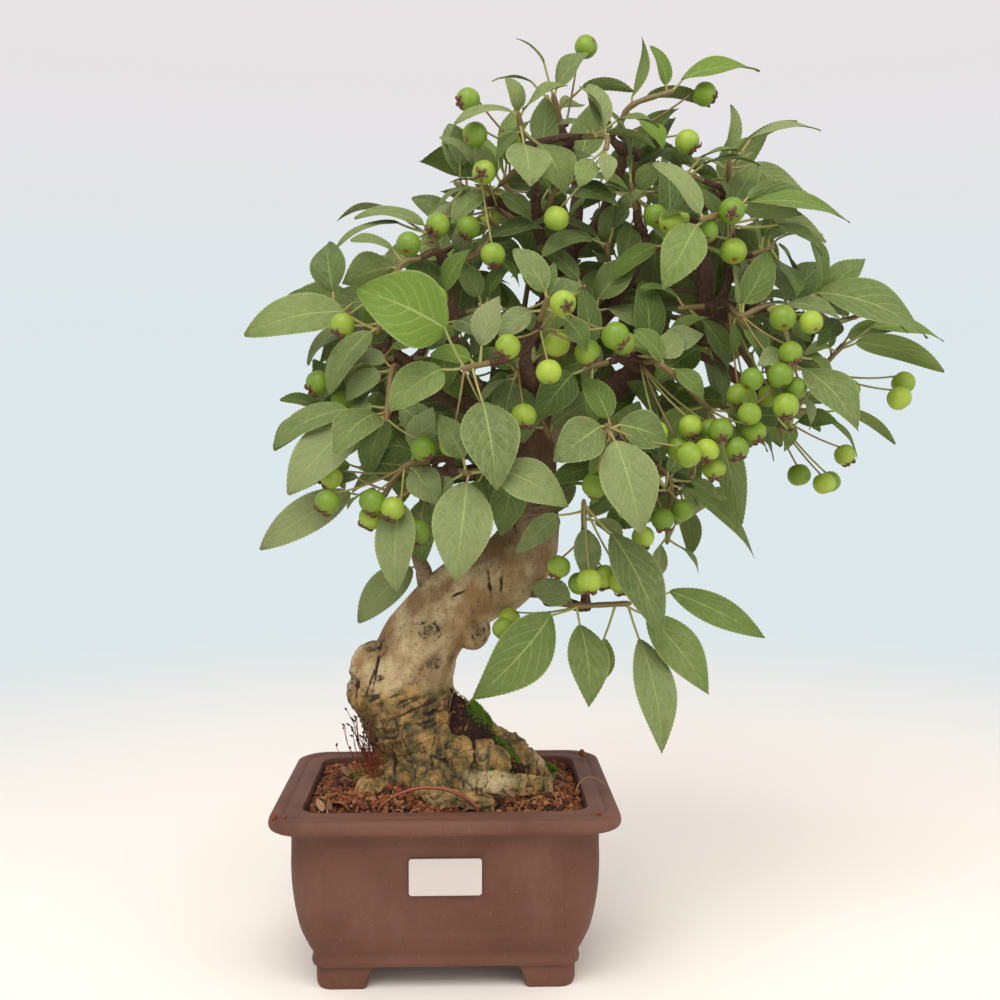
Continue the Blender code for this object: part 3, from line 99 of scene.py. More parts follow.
# Soil, its mesh below, and what lies on it
SOIL_EDGE_HEIGHT = 0.0895
SOIL_PLATEAU_HEIGHT = 0.094
MESH_SIZE = (0.100, 0.026, 0.001)
TRUNK_BASE = (-0.008, 0.004)
TRUNK_PLUG_RADII = (0.024, 0.019)
TRUNK_PLUG_DEPTH = 0.030
LABEL_SIZE = (0.037, 0.0006, 0.019)
LABEL_HEIGHT = 0.0635
WIRE_RADIUS = 0.0009
WIRE_SPAN = (-0.034, 0.016)
WIRE_Y = -0.048
WIRE_RISE = 0.011
WIRE_IN_SOIL = 0.007
MOSS_PLACE = (0.042, 0.021)
MOSS_RADII = (0.020, 0.013, 0.006)

# Trunk and roots as (x, y, z, radius)
TRUNK = (
    (-8, 4, 84, 30), (-9, 4, 94, 28), (-12, 3, 106, 24.5), (-16, 2, 119, 24), (-20, 1, 133, 26),
    (-22, 0, 147, 27),
    (-18, 0, 162, 23.5), (-12, 0, 176, 21.5), (-1, -1, 189, 20.5), (12, -1, 200, 20), (29, 0, 209, 20),
    (41, 2, 220, 19.5), (46, 3, 236, 16.5), (45, 3, 254, 15), (46, 2, 274, 14.5), (47, 0, 291, 13),
    (50, 0, 306, 10),
)
ROOTS = {
    "ridge": ((8, 2, 128, 13), (24, 4, 119, 9), (38, 4, 110, 8), (49, 3, 100, 7), (55, 2, 90, 6)),
    "stub": ((4, -10, 112, 13), (18, -15, 113, 9), (30, -16, 111, 7.5), (35, -16, 110, 4)),
    "front_right": ((2, -12, 100, 12), (18, -21, 98, 7.5), (38, -22, 98, 6.5), (56, -19, 97, 5)),
    "front_left": ((-12, -12, 100, 13), (-4, -34, 97, 7), (10, -40, 96, 5), (26, -42, 94, 4)),
    "left": ((-22, -4, 101, 14), (-40, -13, 95, 8), (-50, -16, 88, 5)),
    "back": ((-6, 12, 102, 16), (-16, 32, 94, 8), (-20, 42, 87, 5)),
}
KNOTS = (
    (-38, -3, 160, 15), (-42, -5, 146, 13), (-34, -8, 153, 17), (-10, -17, 181, 8), (14, -6, 181, 11),
)

# Limbs as (x, y, z, radius), each starting inside what carries it
LIMBS = {
    "leader": (
        (46, 2, 280, 11), (65, 2, 298, 9), (84, 0, 309, 8), (106, -3, 321, 7), (134, -6, 338, 6),
        (140, -6, 352, 5.5), (141, -6, 368, 5), (140, -4, 384, 4.2), (147, -6, 400, 3.5),
        (151, -10, 414, 2.8),
    ),
    "inner_right": ((50, 0, 304, 7), (68, -6, 332, 6), (84, -10, 350, 5), (98, -12, 372, 4),
        (106, -14, 388, 3)),
    "upright": (
        (50, 0, 300, 9), (58, 8, 330, 7), (63, 12, 362, 5.5), (70, 10, 394, 4.5), (72, 4, 424, 3.3),
        (66, -6, 444, 2.4),
    ),
    "upper_right": ((69, 10, 390, 4), (83, 4, 402, 3.6), (92, 0, 424, 3), (95, -8, 440, 2.4)),
    "upper_left": (
        (62, 12, 358, 4.5), (56, -4, 380, 3.8), (49, -16, 398, 3.2), (47, -26, 416, 2.6),
        (42, -36, 430, 2.2),
    ),
    "left_twig": ((50, -14, 396, 3), (38, -22, 404, 2.5), (26, -32, 408, 2.2)),
    "left": (
        (46, 2, 286, 8), (29, -12, 296, 6.5), (8, -22, 304, 5.5), (-9, -28, 313, 4.6),
        (-18, -32, 323, 3.2), (-26, -35, 331, 2),
    ),
    "front": ((48, -2, 292, 7), (46, -26, 306, 5), (42, -46, 318, 3.8), (40, -62, 330, 2.8)),
    "left_rise": ((7, -22, 304, 4), (4, -24, 328, 3.4), (4, -26, 352, 3), (2, -28, 374, 2.4)),
    "lower_left": ((44, -4, 262, 6), (24, -20, 268, 4.5), (4, -34, 268, 3.2), (-10, -44, 269, 2)),
    "stub": ((-8, 0, 190, 7), (-12, 0, 206, 5), (-15, 0, 218, 4), (-17, 0, 229, 3.4)),
    "lower_right": ((46, -4, 206, 8), (57, -10, 202, 4), (66, -18, 196, 3), (74, -24, 195, 2.6)),
    "right_low": ((64, 2, 297, 5), (84, -6, 286, 4), (102, -14, 276, 3), (110, -18, 270, 2.5)),
    "right_end": ((138, -6, 346, 4.5), (158, -12, 354, 4), (180, -8, 352, 3.4), (200, -6, 345, 2.6)),
    "right_under": ((134, -6, 336, 4.5), (152, 0, 324, 3.6), (172, 4, 312, 3), (186, 2, 306, 2.4)),
    "back": ((48, 2, 290, 8), (52, 24, 308, 6), (54, 44, 330, 4.6), (56, 54, 356, 3.6), (60, 58, 384, 2.6)),
    "back_left": ((50, 18, 304, 5), (28, 34, 312, 4), (4, 42, 322, 3), (-14, 46, 330, 2.5)),
    "back_right": ((104, -2, 320, 5.5), (118, 22, 330, 4.4), (132, 42, 342, 3.4), (146, 50, 352, 2.6)),
}

# Leaves as (bearing, stalk, blade, lean, facing, width ratio): bearing in degrees as seen from the front,
# 0 to the right and 90 up, lengths in mm, lean in degrees towards the viewer, and facing from 1 with the
# blade's upper side towards the viewer to -1 with its underside. Fruits as (bearing, distance, lean).
Spur = namedtuple("Spur", "place leaves")
Stem = namedtuple("Stem", "name side spurs fruits")
FRONT = -1
BACK = 1
FRONT_STEMS = (
    Stem("left_high", FRONT, (
        Spur((-23, -50, 370), (
            (200, 3, 27, 5, -0.6, 0.75), (196, 7, 24, -20, 0.5, 0.6), (172, 10, 22, 15, 0.6, 0.55))),
        Spur((-34, -42, 340), (
            (194, 19, 52, 5, 0.9, 0.5), (236, 5, 39, 10, 0.8, 0.48), (217, 16, 38, -30, 0.5, 0.52)))), ()),
    Stem("left_bright", FRONT, (
        Spur((10, -75, 319), (
            (157, 21, 47, 20, 1, 0.78), (219, 13, 33, 15, 0.9, 0.7), (279, 19, 45, 20, 0.9, 0.62),
            (172, 4, 21, -15, 0.6, 0.6), (70, 9, 26, 0, 0.7, 0.6))),), ()),
    Stem("left_mid", FRONT, (
        Spur((-27, -42, 320), ((221, 6, 23, 5, 0.7, 0.6), (176, 6, 23, -15, 0.6, 0.55))),
        Spur((-29, -55, 295), (
            (206, 20, 42, 0, 0.8, 0.42), (227, 17, 48, 10, 0.9, 0.54), (246, 8, 42, 25, 0.9, 0.6),
            (204, 8, 24, -25, 0.5, 0.5), (318, 6, 24, -10, 0.7, 0.65)))),
        ((190, 38, 0), (212, 31, -10))),
    Stem("left_low", FRONT, (
        Spur((-20, -60, 271), ((260, 18, 44, 10, 0.9, 0.48), (318, 3, 23, 10, 0.8, 0.75),
            (66, 7, 24, 0, 0.7, 0.6))),
        Spur((-31, -46, 256), (
            (212, 17, 55, 0, 0.8, 0.36), (225, 8, 30, -35, 0.4, 0.4), (200, 20, 24, -30, 0.4, 0.45)))),
        ((237, 30, 0), (256, 24, 30), (281, 33, 5), (188, 38, -10))),
    Stem("front_hang", FRONT, (
        Spur((12, -80, 268), (
            (263, 4, 48, 10, 1, 0.6), (333, 13, 41, 10, 0.9, 0.52), (120, 7, 24, 0, 0.7, 0.6),
            (225, 8, 26, -25, 0.6, 0.55))),), ()),
    Stem("trunk_right", FRONT, (
        Spur((71, -45, 252), (
            (294, 21, 59, 15, 0.9, 0.4), (271, 11, 28, 0, 0.8, 0.5), (221, 14, 30, 15, 0.7, 0.4),
            (137, 2, 23, 10, 0.8, 0.75), (318, 8, 21, -25, -0.8, 0.6))),),
        ((248, 35, 5), (285, 39, 5), (268, 42, -5))),
    Stem("low_right", FRONT, (
        Spur((70, -36, 198), (
            (225, 16, 61, 15, 0.9, 0.5), (275, 10, 43, 15, 0.9, 0.52), (198, 3, 26, -25, 0.6, 0.7),
            (164, 2, 15, 10, 0.7, 0.75))),
        Spur((95, -36, 199), (
            (280, 19, 60, 10, 0.9, 0.36), (308, 13, 53, 5, 0.9, 0.42), (334, 27, 57, 0, 0.8, 0.28),
            (262, 22, 34, -25, 0.6, 0.4)))), ()),
    Stem("front_right", FRONT, (
        Spur((78, -85, 291), (
            (215, 3, 31, 20, 0.9, 0.7), (285, 7, 47, 10, 1, 0.58), (342, 5, 28, -15, 0.8, 0.7),
            (118, 6, 26, -25, 0.6, 0.6))),), ()),
    Stem("mid_right", FRONT, (
        Spur((109, -60, 321), (
            (134, 3, 21, 10, 0.8, 0.7), (53, 4, 18, 10, 0.8, 0.8), (160, 6, 26, -15, 0.6, 0.6),
            (294, 10, 24, -15, 0.7, 0.55), (20, 8, 26, 0, 0.7, 0.55))),
        Spur((137, -38, 300), ((285, 8, 54, 0, -0.7, 0.3), (318, 10, 34, -15, 0.7, 0.6),
            (225, 8, 24, -15, 0.6, 0.6)))),
        ((262, 34, 10), (293, 33, 10), (307, 40, 5), (281, 42, 0))),
    Stem("right", FRONT, (
        Spur((150, -52, 347), (
            (64, 6, 30, -5, 0.8, 0.62), (95, 5, 20, 10, 0.8, 0.6), (285, 9, 21, 25, 0.6, 0.75),
            (262, 6, 18, 0, 0.7, 0.5))),
        Spur((168, -46, 352), (
            (338, 22, 63, 0, 0.75, 0.5), (337, 7, 31, 15, 0.7, 0.5), (312, 18, 15, -20, -0.8, 0.6))),
        Spur((176, -55, 322), (
            (296, 4, 43, 10, 0.9, 0.6), (283, 20, 18, -15, 0.7, 0.6), (205, 8, 26, -10, 0.7, 0.55),
            (318, 14, 22, -25, 0.6, 0.55)))),
        ((268, 40, 0), (290, 43, 0), (303, 46, 5), (278, 44, -20))),
    Stem("right_hang", FRONT, (
        Spur((197, 0, 300), (
            (327, 20, 37, 0, -0.4, 0.26), (307, 12, 31, 0, 0.4, 0.3), (12, 12, 18, 0, -0.8, 0.7),
            (255, 6, 20, 10, 0.7, 0.5))),),
        ((266, 35, 0), (281, 42, 8), (292, 42, -5), (314, 33, 0))),
    Stem("far_right", FRONT, (
        Spur((213, -15, 335), (
            (350, 17, 42, 0, 0.6, 0.34), (341, 9, 49, 8, -0.7, 0.34), (200, 6, 23, 25, -0.6, 0.5),
            (8, 13, 26, -8, -0.8, 0.55), (97, 6, 21, -20, 0.4, 0.5))),),
        ((329, 39, 0), (314, 41, 5), (280, 24, 0))),
    Stem("top", FRONT, (
        Spur((81, -50, 436), (
            (124, 4, 24, 10, 0.5, 0.6), (104, 6, 26, -20, 0.6, 0.6), (74, 4, 25, 0, -0.5, 0.5),
            (172, 4, 18, 10, 0.6, 0.55), (3, 6, 30, 5, -0.2, 0.3), (0, 15, 22, 0, 0.8, 0.7))),
        Spur((80, -60, 428), ((268, 3, 17, 25, 0.9, 0.55), (244, 10, 16, 10, 0.8, 0.75)))), ()),
    Stem("top_left", FRONT, (
        Spur((37, -55, 445), (
            (199, 4, 35, 0, 0.3, 0.35), (22, 4, 26, 25, 1, 0.75), (112, 5, 17, 10, 0.8, 0.75),
            (275, 12, 26, 25, 0.9, 0.85), (298, 12, 29, 0, 0.9, 0.85), (236, 3, 22, 0, 0.2, 0.35))),),
        ((165, 26, 5), (205, 24, 5), (250, 15, -35))),
    Stem("top_mid", FRONT, (
        Spur((57, -20, 464), (
            (42, 4, 26, 20, 0.9, 0.75), (140, 20, 20, 0, 0.2, 0.3), (184, 17, 22, 10, 0.1, 0.3),
            (356, 17, 28, 0, -0.3, 0.35), (20, 7, 22, -25, 0.6, 0.6))),),
        ((57, 31, 0),)),
    Stem("top_right", FRONT, (
        Spur((98, -20, 460), (
            (83, 4, 31, 10, 0.1, 0.35), (355, 13, 36, 0, -0.3, 0.34), (300, 8, 24, 15, 0.7, 0.6))),
        Spur((118, -24, 466), ((6, 8, 42, 0, 1, 0.5), (120, 4, 22, 0, 0.9, 0.6)))),
        ((9, 39, 0), (323, 36, 15))),
    Stem("right_top", FRONT, (
        Spur((150, -20, 431), (
            (88, 6, 24, 0, 0.9, 0.5), (8, 17, 39, 0, 0.2, 0.3), (332, 12, 33, 0, -0.8, 0.42),
            (28, 4, 15, 10, 0.5, 0.5), (165, 4, 18, 0, 0.4, 0.5), (215, 6, 22, -10, 0.7, 0.55))),), ()),
    Stem("right_upper", FRONT, (
        Spur((141, -60, 396), (
            (348, 10, 52, 5, 0.6, 0.34), (4, 14, 35, -10, -0.8, 0.4), (354, 8, 29, 20, -0.6, 0.35),
            (344, 26, 37, -20, -0.5, 0.3), (325, 23, 28, 5, 0.7, 0.5))),
        Spur((124, -80, 390), ((135, 3, 33, 0, 0.8, 0.55), (241, 5, 36, 10, 0.9, 0.58),
            (205, 4, 21, -25, 0.7, 0.65)))),
        ((204, 13, 50), (276, 19, 10), (192, 33, 20))),
    Stem("left_top", FRONT, (
        Spur((19, -45, 414), (
            (137, 5, 27, 0, 0.5, 0.45), (108, 3, 16, 20, 0.7, 0.65), (178, 3, 18, 10, 0.3, 0.4),
            (212, 9, 19, 0, 0.4, 0.5), (219, 3, 25, 15, 0.8, 0.55), (318, 5, 21, 0, 0.7, 0.6))),),
        ((70, 13, 45), (224, 31, 5), (253, 24, 5))),
    Stem("left_upper", FRONT, (
        Spur((-8, -35, 392), (
            (175, 4, 36, 0, 0.7, 0.48), (204, 17, 35, 8, 0.5, 0.36), (187, 27, 34, -20, 0.1, 0.3),
            (213, 8, 28, 15, -0.8, 0.45), (60, 4, 21, 0, 0.6, 0.55), (226, 5, 21, 30, 0.8, 0.5))),), ()),
    Stem("centre_front", FRONT, (
        Spur((49, -90, 350), (
            (128, 4, 25, 0, 0.9, 0.65), (77, 3, 19, 10, 0, 0.35), (292, 11, 20, 20, 0.9, 0.65),
            (226, 6, 20, -15, 0.8, 0.7), (30, 6, 22, -20, 0.7, 0.6))),),
        ((336, 14, 60), (230, 29, 5), (271, 34, 5), (332, 36, 5), (310, 32, -15))),
    Stem("centre_right", FRONT, (
        Spur((79, -26, 354), (
            (46, 4, 30, 0, 0.9, 0.6), (330, 6, 30, 0, 0.8, 0.6), (149, 8, 22, -10, 0.7, 0.6),
            (95, 6, 24, -10, 0.7, 0.6), (265, 8, 26, -10, 0.7, 0.6))),), ()),
    Stem("centre_low", FRONT, (
        Spur((37, -50, 320), (
            (257, 6, 28, 0, 0.8, 0.55), (282, 8, 30, -15, 0.8, 0.55), (172, 5, 20, 0, 0.7, 0.6),
            (236, 7, 22, 20, 0, 0.35), (40, 5, 19, 0, 0.7, 0.6))),), ()),
    Stem("upper_centre", FRONT, (
        Spur((102, -14, 413), (
            (345, 5, 26, 5, -0.5, 0.5), (58, 5, 20, 0, 0.7, 0.6), (225, 6, 23, 10, 0.8, 0.6),
            (268, 10, 26, 0, 0.8, 0.55), (150, 6, 24, -10, 0.6, 0.55), (305, 8, 26, 20, 0.8, 0.55))),), ()),
    Stem("left_centre", FRONT, (
        Spur((12, -4, 376), (
            (204, 6, 32, 15, -0.5, 0.4), (300, 6, 26, 15, 0.7, 0.55), (90, 6, 22, 10, 0.7, 0.6),
            (266, 8, 27, 10, 0.8, 0.6), (25, 6, 25, 10, 0.7, 0.55), (240, 10, 25, -5, 0.6, 0.55))),), ()),
    Stem("right_low", FRONT, (
        Spur((119, -25, 261), (
            (315, 6, 55, 0, 0.3, 0.24), (21, 4, 16, 0, 0, 0.3), (319, 15, 25, -20, 0.7, 0.5),
            (236, 7, 26, -10, 0.7, 0.55),
            (110, 5, 24, -5, 0.7, 0.6))),
        Spur((121, -4, 229), ((29, 10, 40, 5, -0.8, 0.4), (303, 9, 18, 0, 0.2, 0.4),
            (250, 6, 25, 0, 0.7, 0.5)))),
        ((253, 21, 25), (283, 15, 25), (241, 32, 10))),
    Stem("stub", FRONT, (Spur((-16, 18, 214), ((226, 4, 44, 0, 0.6, 0.5),
        (110, 5, 18, -20, 0.5, 0.5))),), ()),
)
# Front stems that the back of the crown repeats, mirrored to the far side with a drawn shift
BACK_STEMS = (
    "left_high", "left_mid", "centre_front", "mid_right", "right_upper", "left_top", "right_top",
)
BACK_FRUITS = {"mid_right": 3, "left_top": 2, "centre_front": 3}
BACK_SHIFT = 7
BACK_DEPTH = 6
BACK_FLATTENING = 0.75
BACK_TURN = 24
BACK_LEAST_STALK = 6
CROWN_CENTRE = Vector((0.075, 0.0, 0.340))
# Sprigs that fill the crown, in layers as (name, depth, spacing) in mm, inside an outline seen from the front
INNER_LAYERS = (("rear", 46, 64), ("mid", 10, 92))
INNER_JITTER = 9
INNER_LEAVES = 3
SHOOT_STARTS = 6
SHOOT_FOOT = 0.4
SHOOT_OVERLAP = 0.002
CROWN_OUTLINE = (
    (-62, 352), (-46, 380), (-4, 408), (16, 436), (62, 450), (126, 450), (166, 434), (196, 400), (220, 362),
    (220, 334), (180, 286), (136, 250), (84, 234), (52, 254), (-14, 258), (-48, 264), (-66, 292), (-68, 336),
)

STEM_LENGTH = 0.013
STEM_RADIUS = 0.0015
STEM_SIDES = 4
STEM_LEAD = 0.6
LEAST_TWIG = 0.006
LEAF_SPACING = 0.0021
TWIG_RADII = (0.0024, 0.0016)
TWIG_SIDES = 3
TWIG_LEAD = 0.45
LIMB_SIDES = 5
ROOT_SIDES = 6
TRUNK_SIDES = 13
STALK_RADIUS = 0.0007
FRUIT_STALK_RADIUS = 0.0006
FRUIT_SPUR_RADIUS = 0.0015
FRUIT_SPUR_LENGTH = 0.0036
FRUIT_SPACING = 0.0005
FRUIT_SPUR_GAPS = (-0.0006, -0.0003, 0.0, 0.0003, 0.0006, 0.0009)
BLADE_THICKNESS = 0.0010
# Edge points on each side and points inside the midrib, by the least blade length that gets them
BLADE_POINTS = ((0.044, 7, 3), (0.0305, 5, 2), (0.0, 4, 1))
FRUIT_RADIUS = 0.0062
FRUIT_SIDES = 5
CLEARANCE = 0.0003

# Fruit outline along its axis from the stalk to the dried flower, as fractions of its radius
FRUIT_OUTLINE = ((-0.5, 0.84), (0.35, 0.96), (0.92, 0.27), (1.2, 0.42))
# Turns in bearing and lean, and a length factor, that a leaf tries in this order until it is clear
LEAF_TURNS = (
    (0, 0, 1), (7, 0, 1), (-7, 0, 1), (0, 12, 1), (0, -12, 1), (12, 10, 1), (-12, 10, 1), (12, -12, 0.95),
    (-12, -12, 0.95), (0, 24, 0.95), (0, -24, 0.95), (22, 0, 0.9), (-22, 0, 0.9), (20, 22, 0.9),
    (-20, 22, 0.9),
    (20, -24, 0.9), (-20, -24, 0.9), (36, 8, 0.85), (-36, 8, 0.85), (34, -20, 0.8), (-34, -20, 0.8),
    (52, 0, 0.75), (-52, 0, 0.75), (0, 44, 0.75), (0, -44, 0.75),
)
FRUIT_TURNS = (
    (0, 0), (0, 10), (0, -10), (7, 0), (-7, 0), (0, 20), (0, -20), (10, 14), (-10, 14), (10, -14),
    (-10, -14),
    (18, 0), (-18, 0), (0, 34), (0, -34), (24, 20), (-24, 20), (24, -20), (-24, -20),
)


# Settings that a user would change

def shade(red, green, blue):
    """A colour in Blender's linear values from its values of 0 to 255 on screen."""
    return tuple((value / 255) ** 2.2 for value in (red, green, blue))


def colour_setting(name, description, red, green, blue):
    return FloatVectorProperty(
        name=name, description=description, subtype="COLOR", size=3, min=0.0, max=1.0,
        default=shade(red, green, blue))


def length_setting(name, description, millimetres):
    return FloatProperty(name=name, description=description, unit="LENGTH", min=0.0, default=millimetres * MM)


def count_setting(name, description, count):
    return IntProperty(name=name, description=description, min=0, default=count)


class StageSettings(PropertyGroup):
    lens: FloatProperty(name="Lens", description="Focal length", unit="CAMERA", default=43.2)
    place: FloatVectorProperty(
        name="Camera", description="Camera place from under the pot's middle", subtype="TRANSLATION", size=3,
        default=(0.0103, -0.6575, 0.2831))
    turn: FloatProperty(name="Turn", description="Turn to the right", unit="ROTATION", default=0.029)
    dip: FloatProperty(name="Dip", description="Dip below level", unit="ROTATION", default=0.048)
    floor: colour_setting("Floor", "Floor near the pot", 250, 244, 232)
    haze: colour_setting("Haze", "Backdrop low down", 220, 231, 235)
    sky: colour_setting("Sky", "Backdrop high up", 232, 226, 228)
    key: FloatProperty(name="Key light", description="Strength of the large lamp", unit="POWER", default=11.0)
    fill: FloatProperty(name="Fill light", description="Strength of the low lamp", unit="POWER", default=3.0)


class PotSettings(PropertyGroup):
    panel_depth: length_setting("Panel depth", "Depth of the panel sunk in each side", 0.8)
    panel_low: length_setting("Panel foot", "Height of the panel's lower edge", 31.0)
    panel_high: length_setting("Panel head", "Height of the panel's upper edge", 77.0)
    panel_half: length_setting("Panel half length", "Half the long panels' length", 61.0)
    grid: length_setting("Grid", "Spacing of the wall's points", 1.25)
    clay: colour_setting("Clay", "Unglazed stoneware", 107, 70, 55)
    deep: colour_setting("Deep clay", "Darker clay in patches and hollows", 95, 60, 46)
    dust: colour_setting("Dust", "Pale specks and rubbed edges", 156, 130, 116)


class BarkSettings(PropertyGroup):
    trunk_cell: length_setting("Trunk grain", "Size of the trunk's mesh cells", 0.85)
    limb_cell: length_setting("Limb grain", "Size of the limbs' mesh cells", 1.1)
    relief: FloatProperty(name="Relief", description="How deep the bark's relief is", default=1.0)
    smooth: colour_setting("Smooth bark", "Pale bark of the trunk", 194, 174, 130)
    shadow: colour_setting("Shaded bark", "Tan patches in the pale bark", 144, 112, 72)
    young: colour_setting("Young bark", "Reddish bark of limbs and twigs", 80, 54, 41)
    # The crack colour is the bark's own dark cracks and also painted shade in the sunk pits, grooves, creases and
    # folds.
    crack: colour_setting("Cracks", "Cracks, knots' hearts and lenticels", 48, 36, 26)
    ochre: colour_setting("Ochre", "Warm bark near the soil", 172, 132, 72)
    lichen: colour_setting("Lichen", "Green film on the base", 92, 84, 38)


class LeafSettings(PropertyGroup):
    teeth: length_setting("Teeth", "Spacing of the teeth along a blade's edge", 2.1)
    tooth_depth: length_setting("Tooth depth", "How far a tooth stands out", 0.28)
    filler_spacing: length_setting("Filler spacing", "Distance between the inner sprigs", 31.0)
    bright: colour_setting("Bright", "Upper side of a young leaf", 110, 140, 42)
    mature: colour_setting("Mature", "Upper side of a grown leaf", 94, 113, 55)
    # The deep green also paints shade on the leaves of the inner sprigs and of the middle and back boughs.
    deep: colour_setting("Deep", "Upper side of the darkest leaves", 58, 78, 36)
    bloom: colour_setting("Bloom", "Greyish down on some leaves", 156, 163, 112)
    under: colour_setting("Underside", "Paler underside", 138, 150, 92)
    vein: colour_setting("Veins", "Midrib and side veins", 176, 188, 112)
    stalk: colour_setting("Stalks", "Leaf stalks", 158, 156, 86)
    blush: colour_setting("Blush", "Reddish side of stalks", 158, 104, 72)


class FruitSettings(PropertyGroup):
    skin: colour_setting("Skin", "Sunny side of a fruit", 158, 178, 62)
    # Deep skin is painted shade: darker fruits and darker lower ends stand for shaded skin.
    deep: colour_setting("Deep skin", "Darker green of a fruit", 108, 134, 40)
    dots: colour_setting("Dots", "Pale pores", 204, 214, 130)
    husk: colour_setting("Husk", "Dried sepals at a fruit's end", 128, 88, 68)


class SoilSettings(PropertyGroup):
    grains: count_setting("Grains", "Number of clay grains", 2000)
    crumbs: count_setting("Crumbs", "Number of small crumbs", 2600)
    light: colour_setting("Light grains", "Dry ochre grains", 166, 112, 66)
    orange: colour_setting("Grains", "Most grains", 130, 72, 40)
    # The dark grains' colour also paints shade on the mound of grains under the ridge root.
    dark: colour_setting("Dark grains", "Damp grains and bits of bark", 68, 40, 26)
    bed: colour_setting("Bed", "Soil between the grains", 46, 29, 21)


class MossSettings(PropertyGroup):
    tufts: count_setting("Tufts", "Number of moss shoots", 5600)
    green: colour_setting("Moss", "Fresh moss", 100, 134, 30)
    dark: colour_setting("Dark moss", "Moss in the shade", 36, 58, 16)
    stalk: colour_setting("Spore stalks", "Red stalks", 100, 34, 24)
    capsule: colour_setting("Capsules", "Dark tips of the spore stalks", 50, 22, 20)


class TrimSettings(PropertyGroup):
    plate: colour_setting("Label", "Blank label plate", 204, 194, 187)
    wire: colour_setting("Wire", "Brown anodised tie wire", 142, 82, 60)
    mesh: colour_setting("Drain mesh", "Plastic mesh over the drain holes", 30, 30, 30)


# Shader trees

class Number:
    """A shader socket in an expression, where each operator adds its Math node."""

    def __init__(self, tree, socket):
        self.tree = tree
        self.socket = socket

    def __add__(self, other):
        return self.tree.maths("ADD", self, other)

    def __sub__(self, other):
        return self.tree.maths("SUBTRACT", self, other)

    def __rsub__(self, other):
        return self.tree.maths("SUBTRACT", other, self)

    def __mul__(self, other):
        return self.tree.maths("MULTIPLY", self, other)

    def __abs__(self):
        return self.tree.maths("ABSOLUTE", self, 0.0)

    __radd__ = __add__
    __rmul__ = __mul__


class Tree:
    """The node tree of a finish or of the world's light."""

    def __init__(self, owner):
        owner.use_nodes = True
        self.tree = owner.node_tree
        self.tree.nodes.clear()

    def node(self, kind, settings=None, inputs=None, output=0):
        """Adds a node, sets it up, gives its sockets values or links, and returns one output."""
        made = self.tree.nodes.new(kind)
        for key, value in (settings or {}).items():
            setattr(made, key, value)
        for key, value in (inputs or {}).items():
            socket = made.inputs[key]
            if isinstance(value, Number):
                self.tree.links.new(value.socket, socket)
            elif socket.type == "RGBA":
                socket.default_value = (*tuple(value)[:3], 1.0)
            else:
                socket.default_value = value
        return Number(self, made.outputs[output]) if made.outputs else None

    def maths(self, operation, first, second):
        return self.node("ShaderNodeMath", {"operation": operation}, {0: first, 1: second})

    def place(self):
        return self.node("ShaderNodeTexCoord", output="Object")

    def stretched(self, place, x, y, z):
        return self.node("ShaderNodeVectorMath", {"operation": "MULTIPLY"}, {0: place, 1: (x, y, z)})

    def cloud(self, place, scale, detail=2.0, roughness=0.5):
        inputs = {"Vector": place, "Scale": scale, "Detail": detail, "Roughness": roughness}
        return self.node("ShaderNodeTexNoise", inputs=inputs)

    def cells(self, place, scale, feature="F1"):
        return self.node("ShaderNodeTexVoronoi", {"feature": feature}, {"Vector": place, "Scale": scale},
            "Distance")

    def rise(self, value, low, high):
        """0 where value is under low, 1 where it is over high, and smooth between."""
        inputs = {"Value": value, "From Min": low, "From Max": high}
        return self.node("ShaderNodeMapRange", {"interpolation_type": "SMOOTHSTEP"}, inputs)

    def blend(self, factor, first, second, how="MIX"):
        settings = {"data_type": "RGBA", "blend_type": how}
        return self.node("ShaderNodeMix", settings, {0: factor, 6: first, 7: second}, 2)

    def marks(self, name):
        """The three values that the mesh carries under a name."""
        row = self.node("ShaderNodeAttribute", {"attribute_name": name}, output="Vector")
        split = self.node("ShaderNodeSeparateXYZ", inputs={0: row})
        return [Number(self, socket) for socket in split.socket.node.outputs]

    def shader(self, inputs, height=None, depth=0.0003):
        """A Principled shader, its normal bumped by a height of 0 to 1 that stands for depth metres."""
        if height is not None:
            bump = {"Height": height, "Distance": depth, "Strength": 1.0}
            inputs["Normal"] = self.node("ShaderNodeBump", inputs=bump)
        return self.node("ShaderNodeBsdfPrincipled", inputs=inputs)

    def end(self, shader, kind="ShaderNodeOutputMaterial"):
        self.node(kind, inputs={"Surface": shader})


def finish_tree(name):
    """A new material and its tree."""
    made = bpy.data.materials.new(name)
    return made, Tree(made)


def clay_finish(colours):
    made, tree = finish_tree("clay_finish")
    place = tree.place()
    patches = tree.cloud(place, 28.0, 4.0)
    grain = tree.cloud(place, 1400.0, 2.0)
    pits = tree.cells(place, 520.0)
    pale = tree.rise(tree.cloud(place, 760.0, 1.0), 0.69, 0.75)
    dusty = tree.rise(tree.cloud(tree.stretched(place, 1.0, 1.0, 0.45), 42.0, 5.0, 0.65), 0.5, 0.8)
    colour = tree.blend(tree.rise(patches, 0.35, 0.68), colours.clay, colours.deep)
    colour = tree.blend(dusty * 0.14, colour, colours.dust)
    colour = tree.blend(pale * 0.3, colour, colours.dust)
    colour = tree.blend((grain - 0.5) * 0.35 + 0.18, colour, colours.deep)
    rough = 0.6 + 0.2 * patches
    height = grain * 0.5 + tree.rise(pits, 0.0, 0.22) * 0.5 + tree.cloud(place, 160.0, 3.0)
    tree.end(tree.shader({"Base Color": colour, "Roughness": rough, "IOR": 1.45}, height, 0.00016))
    return made


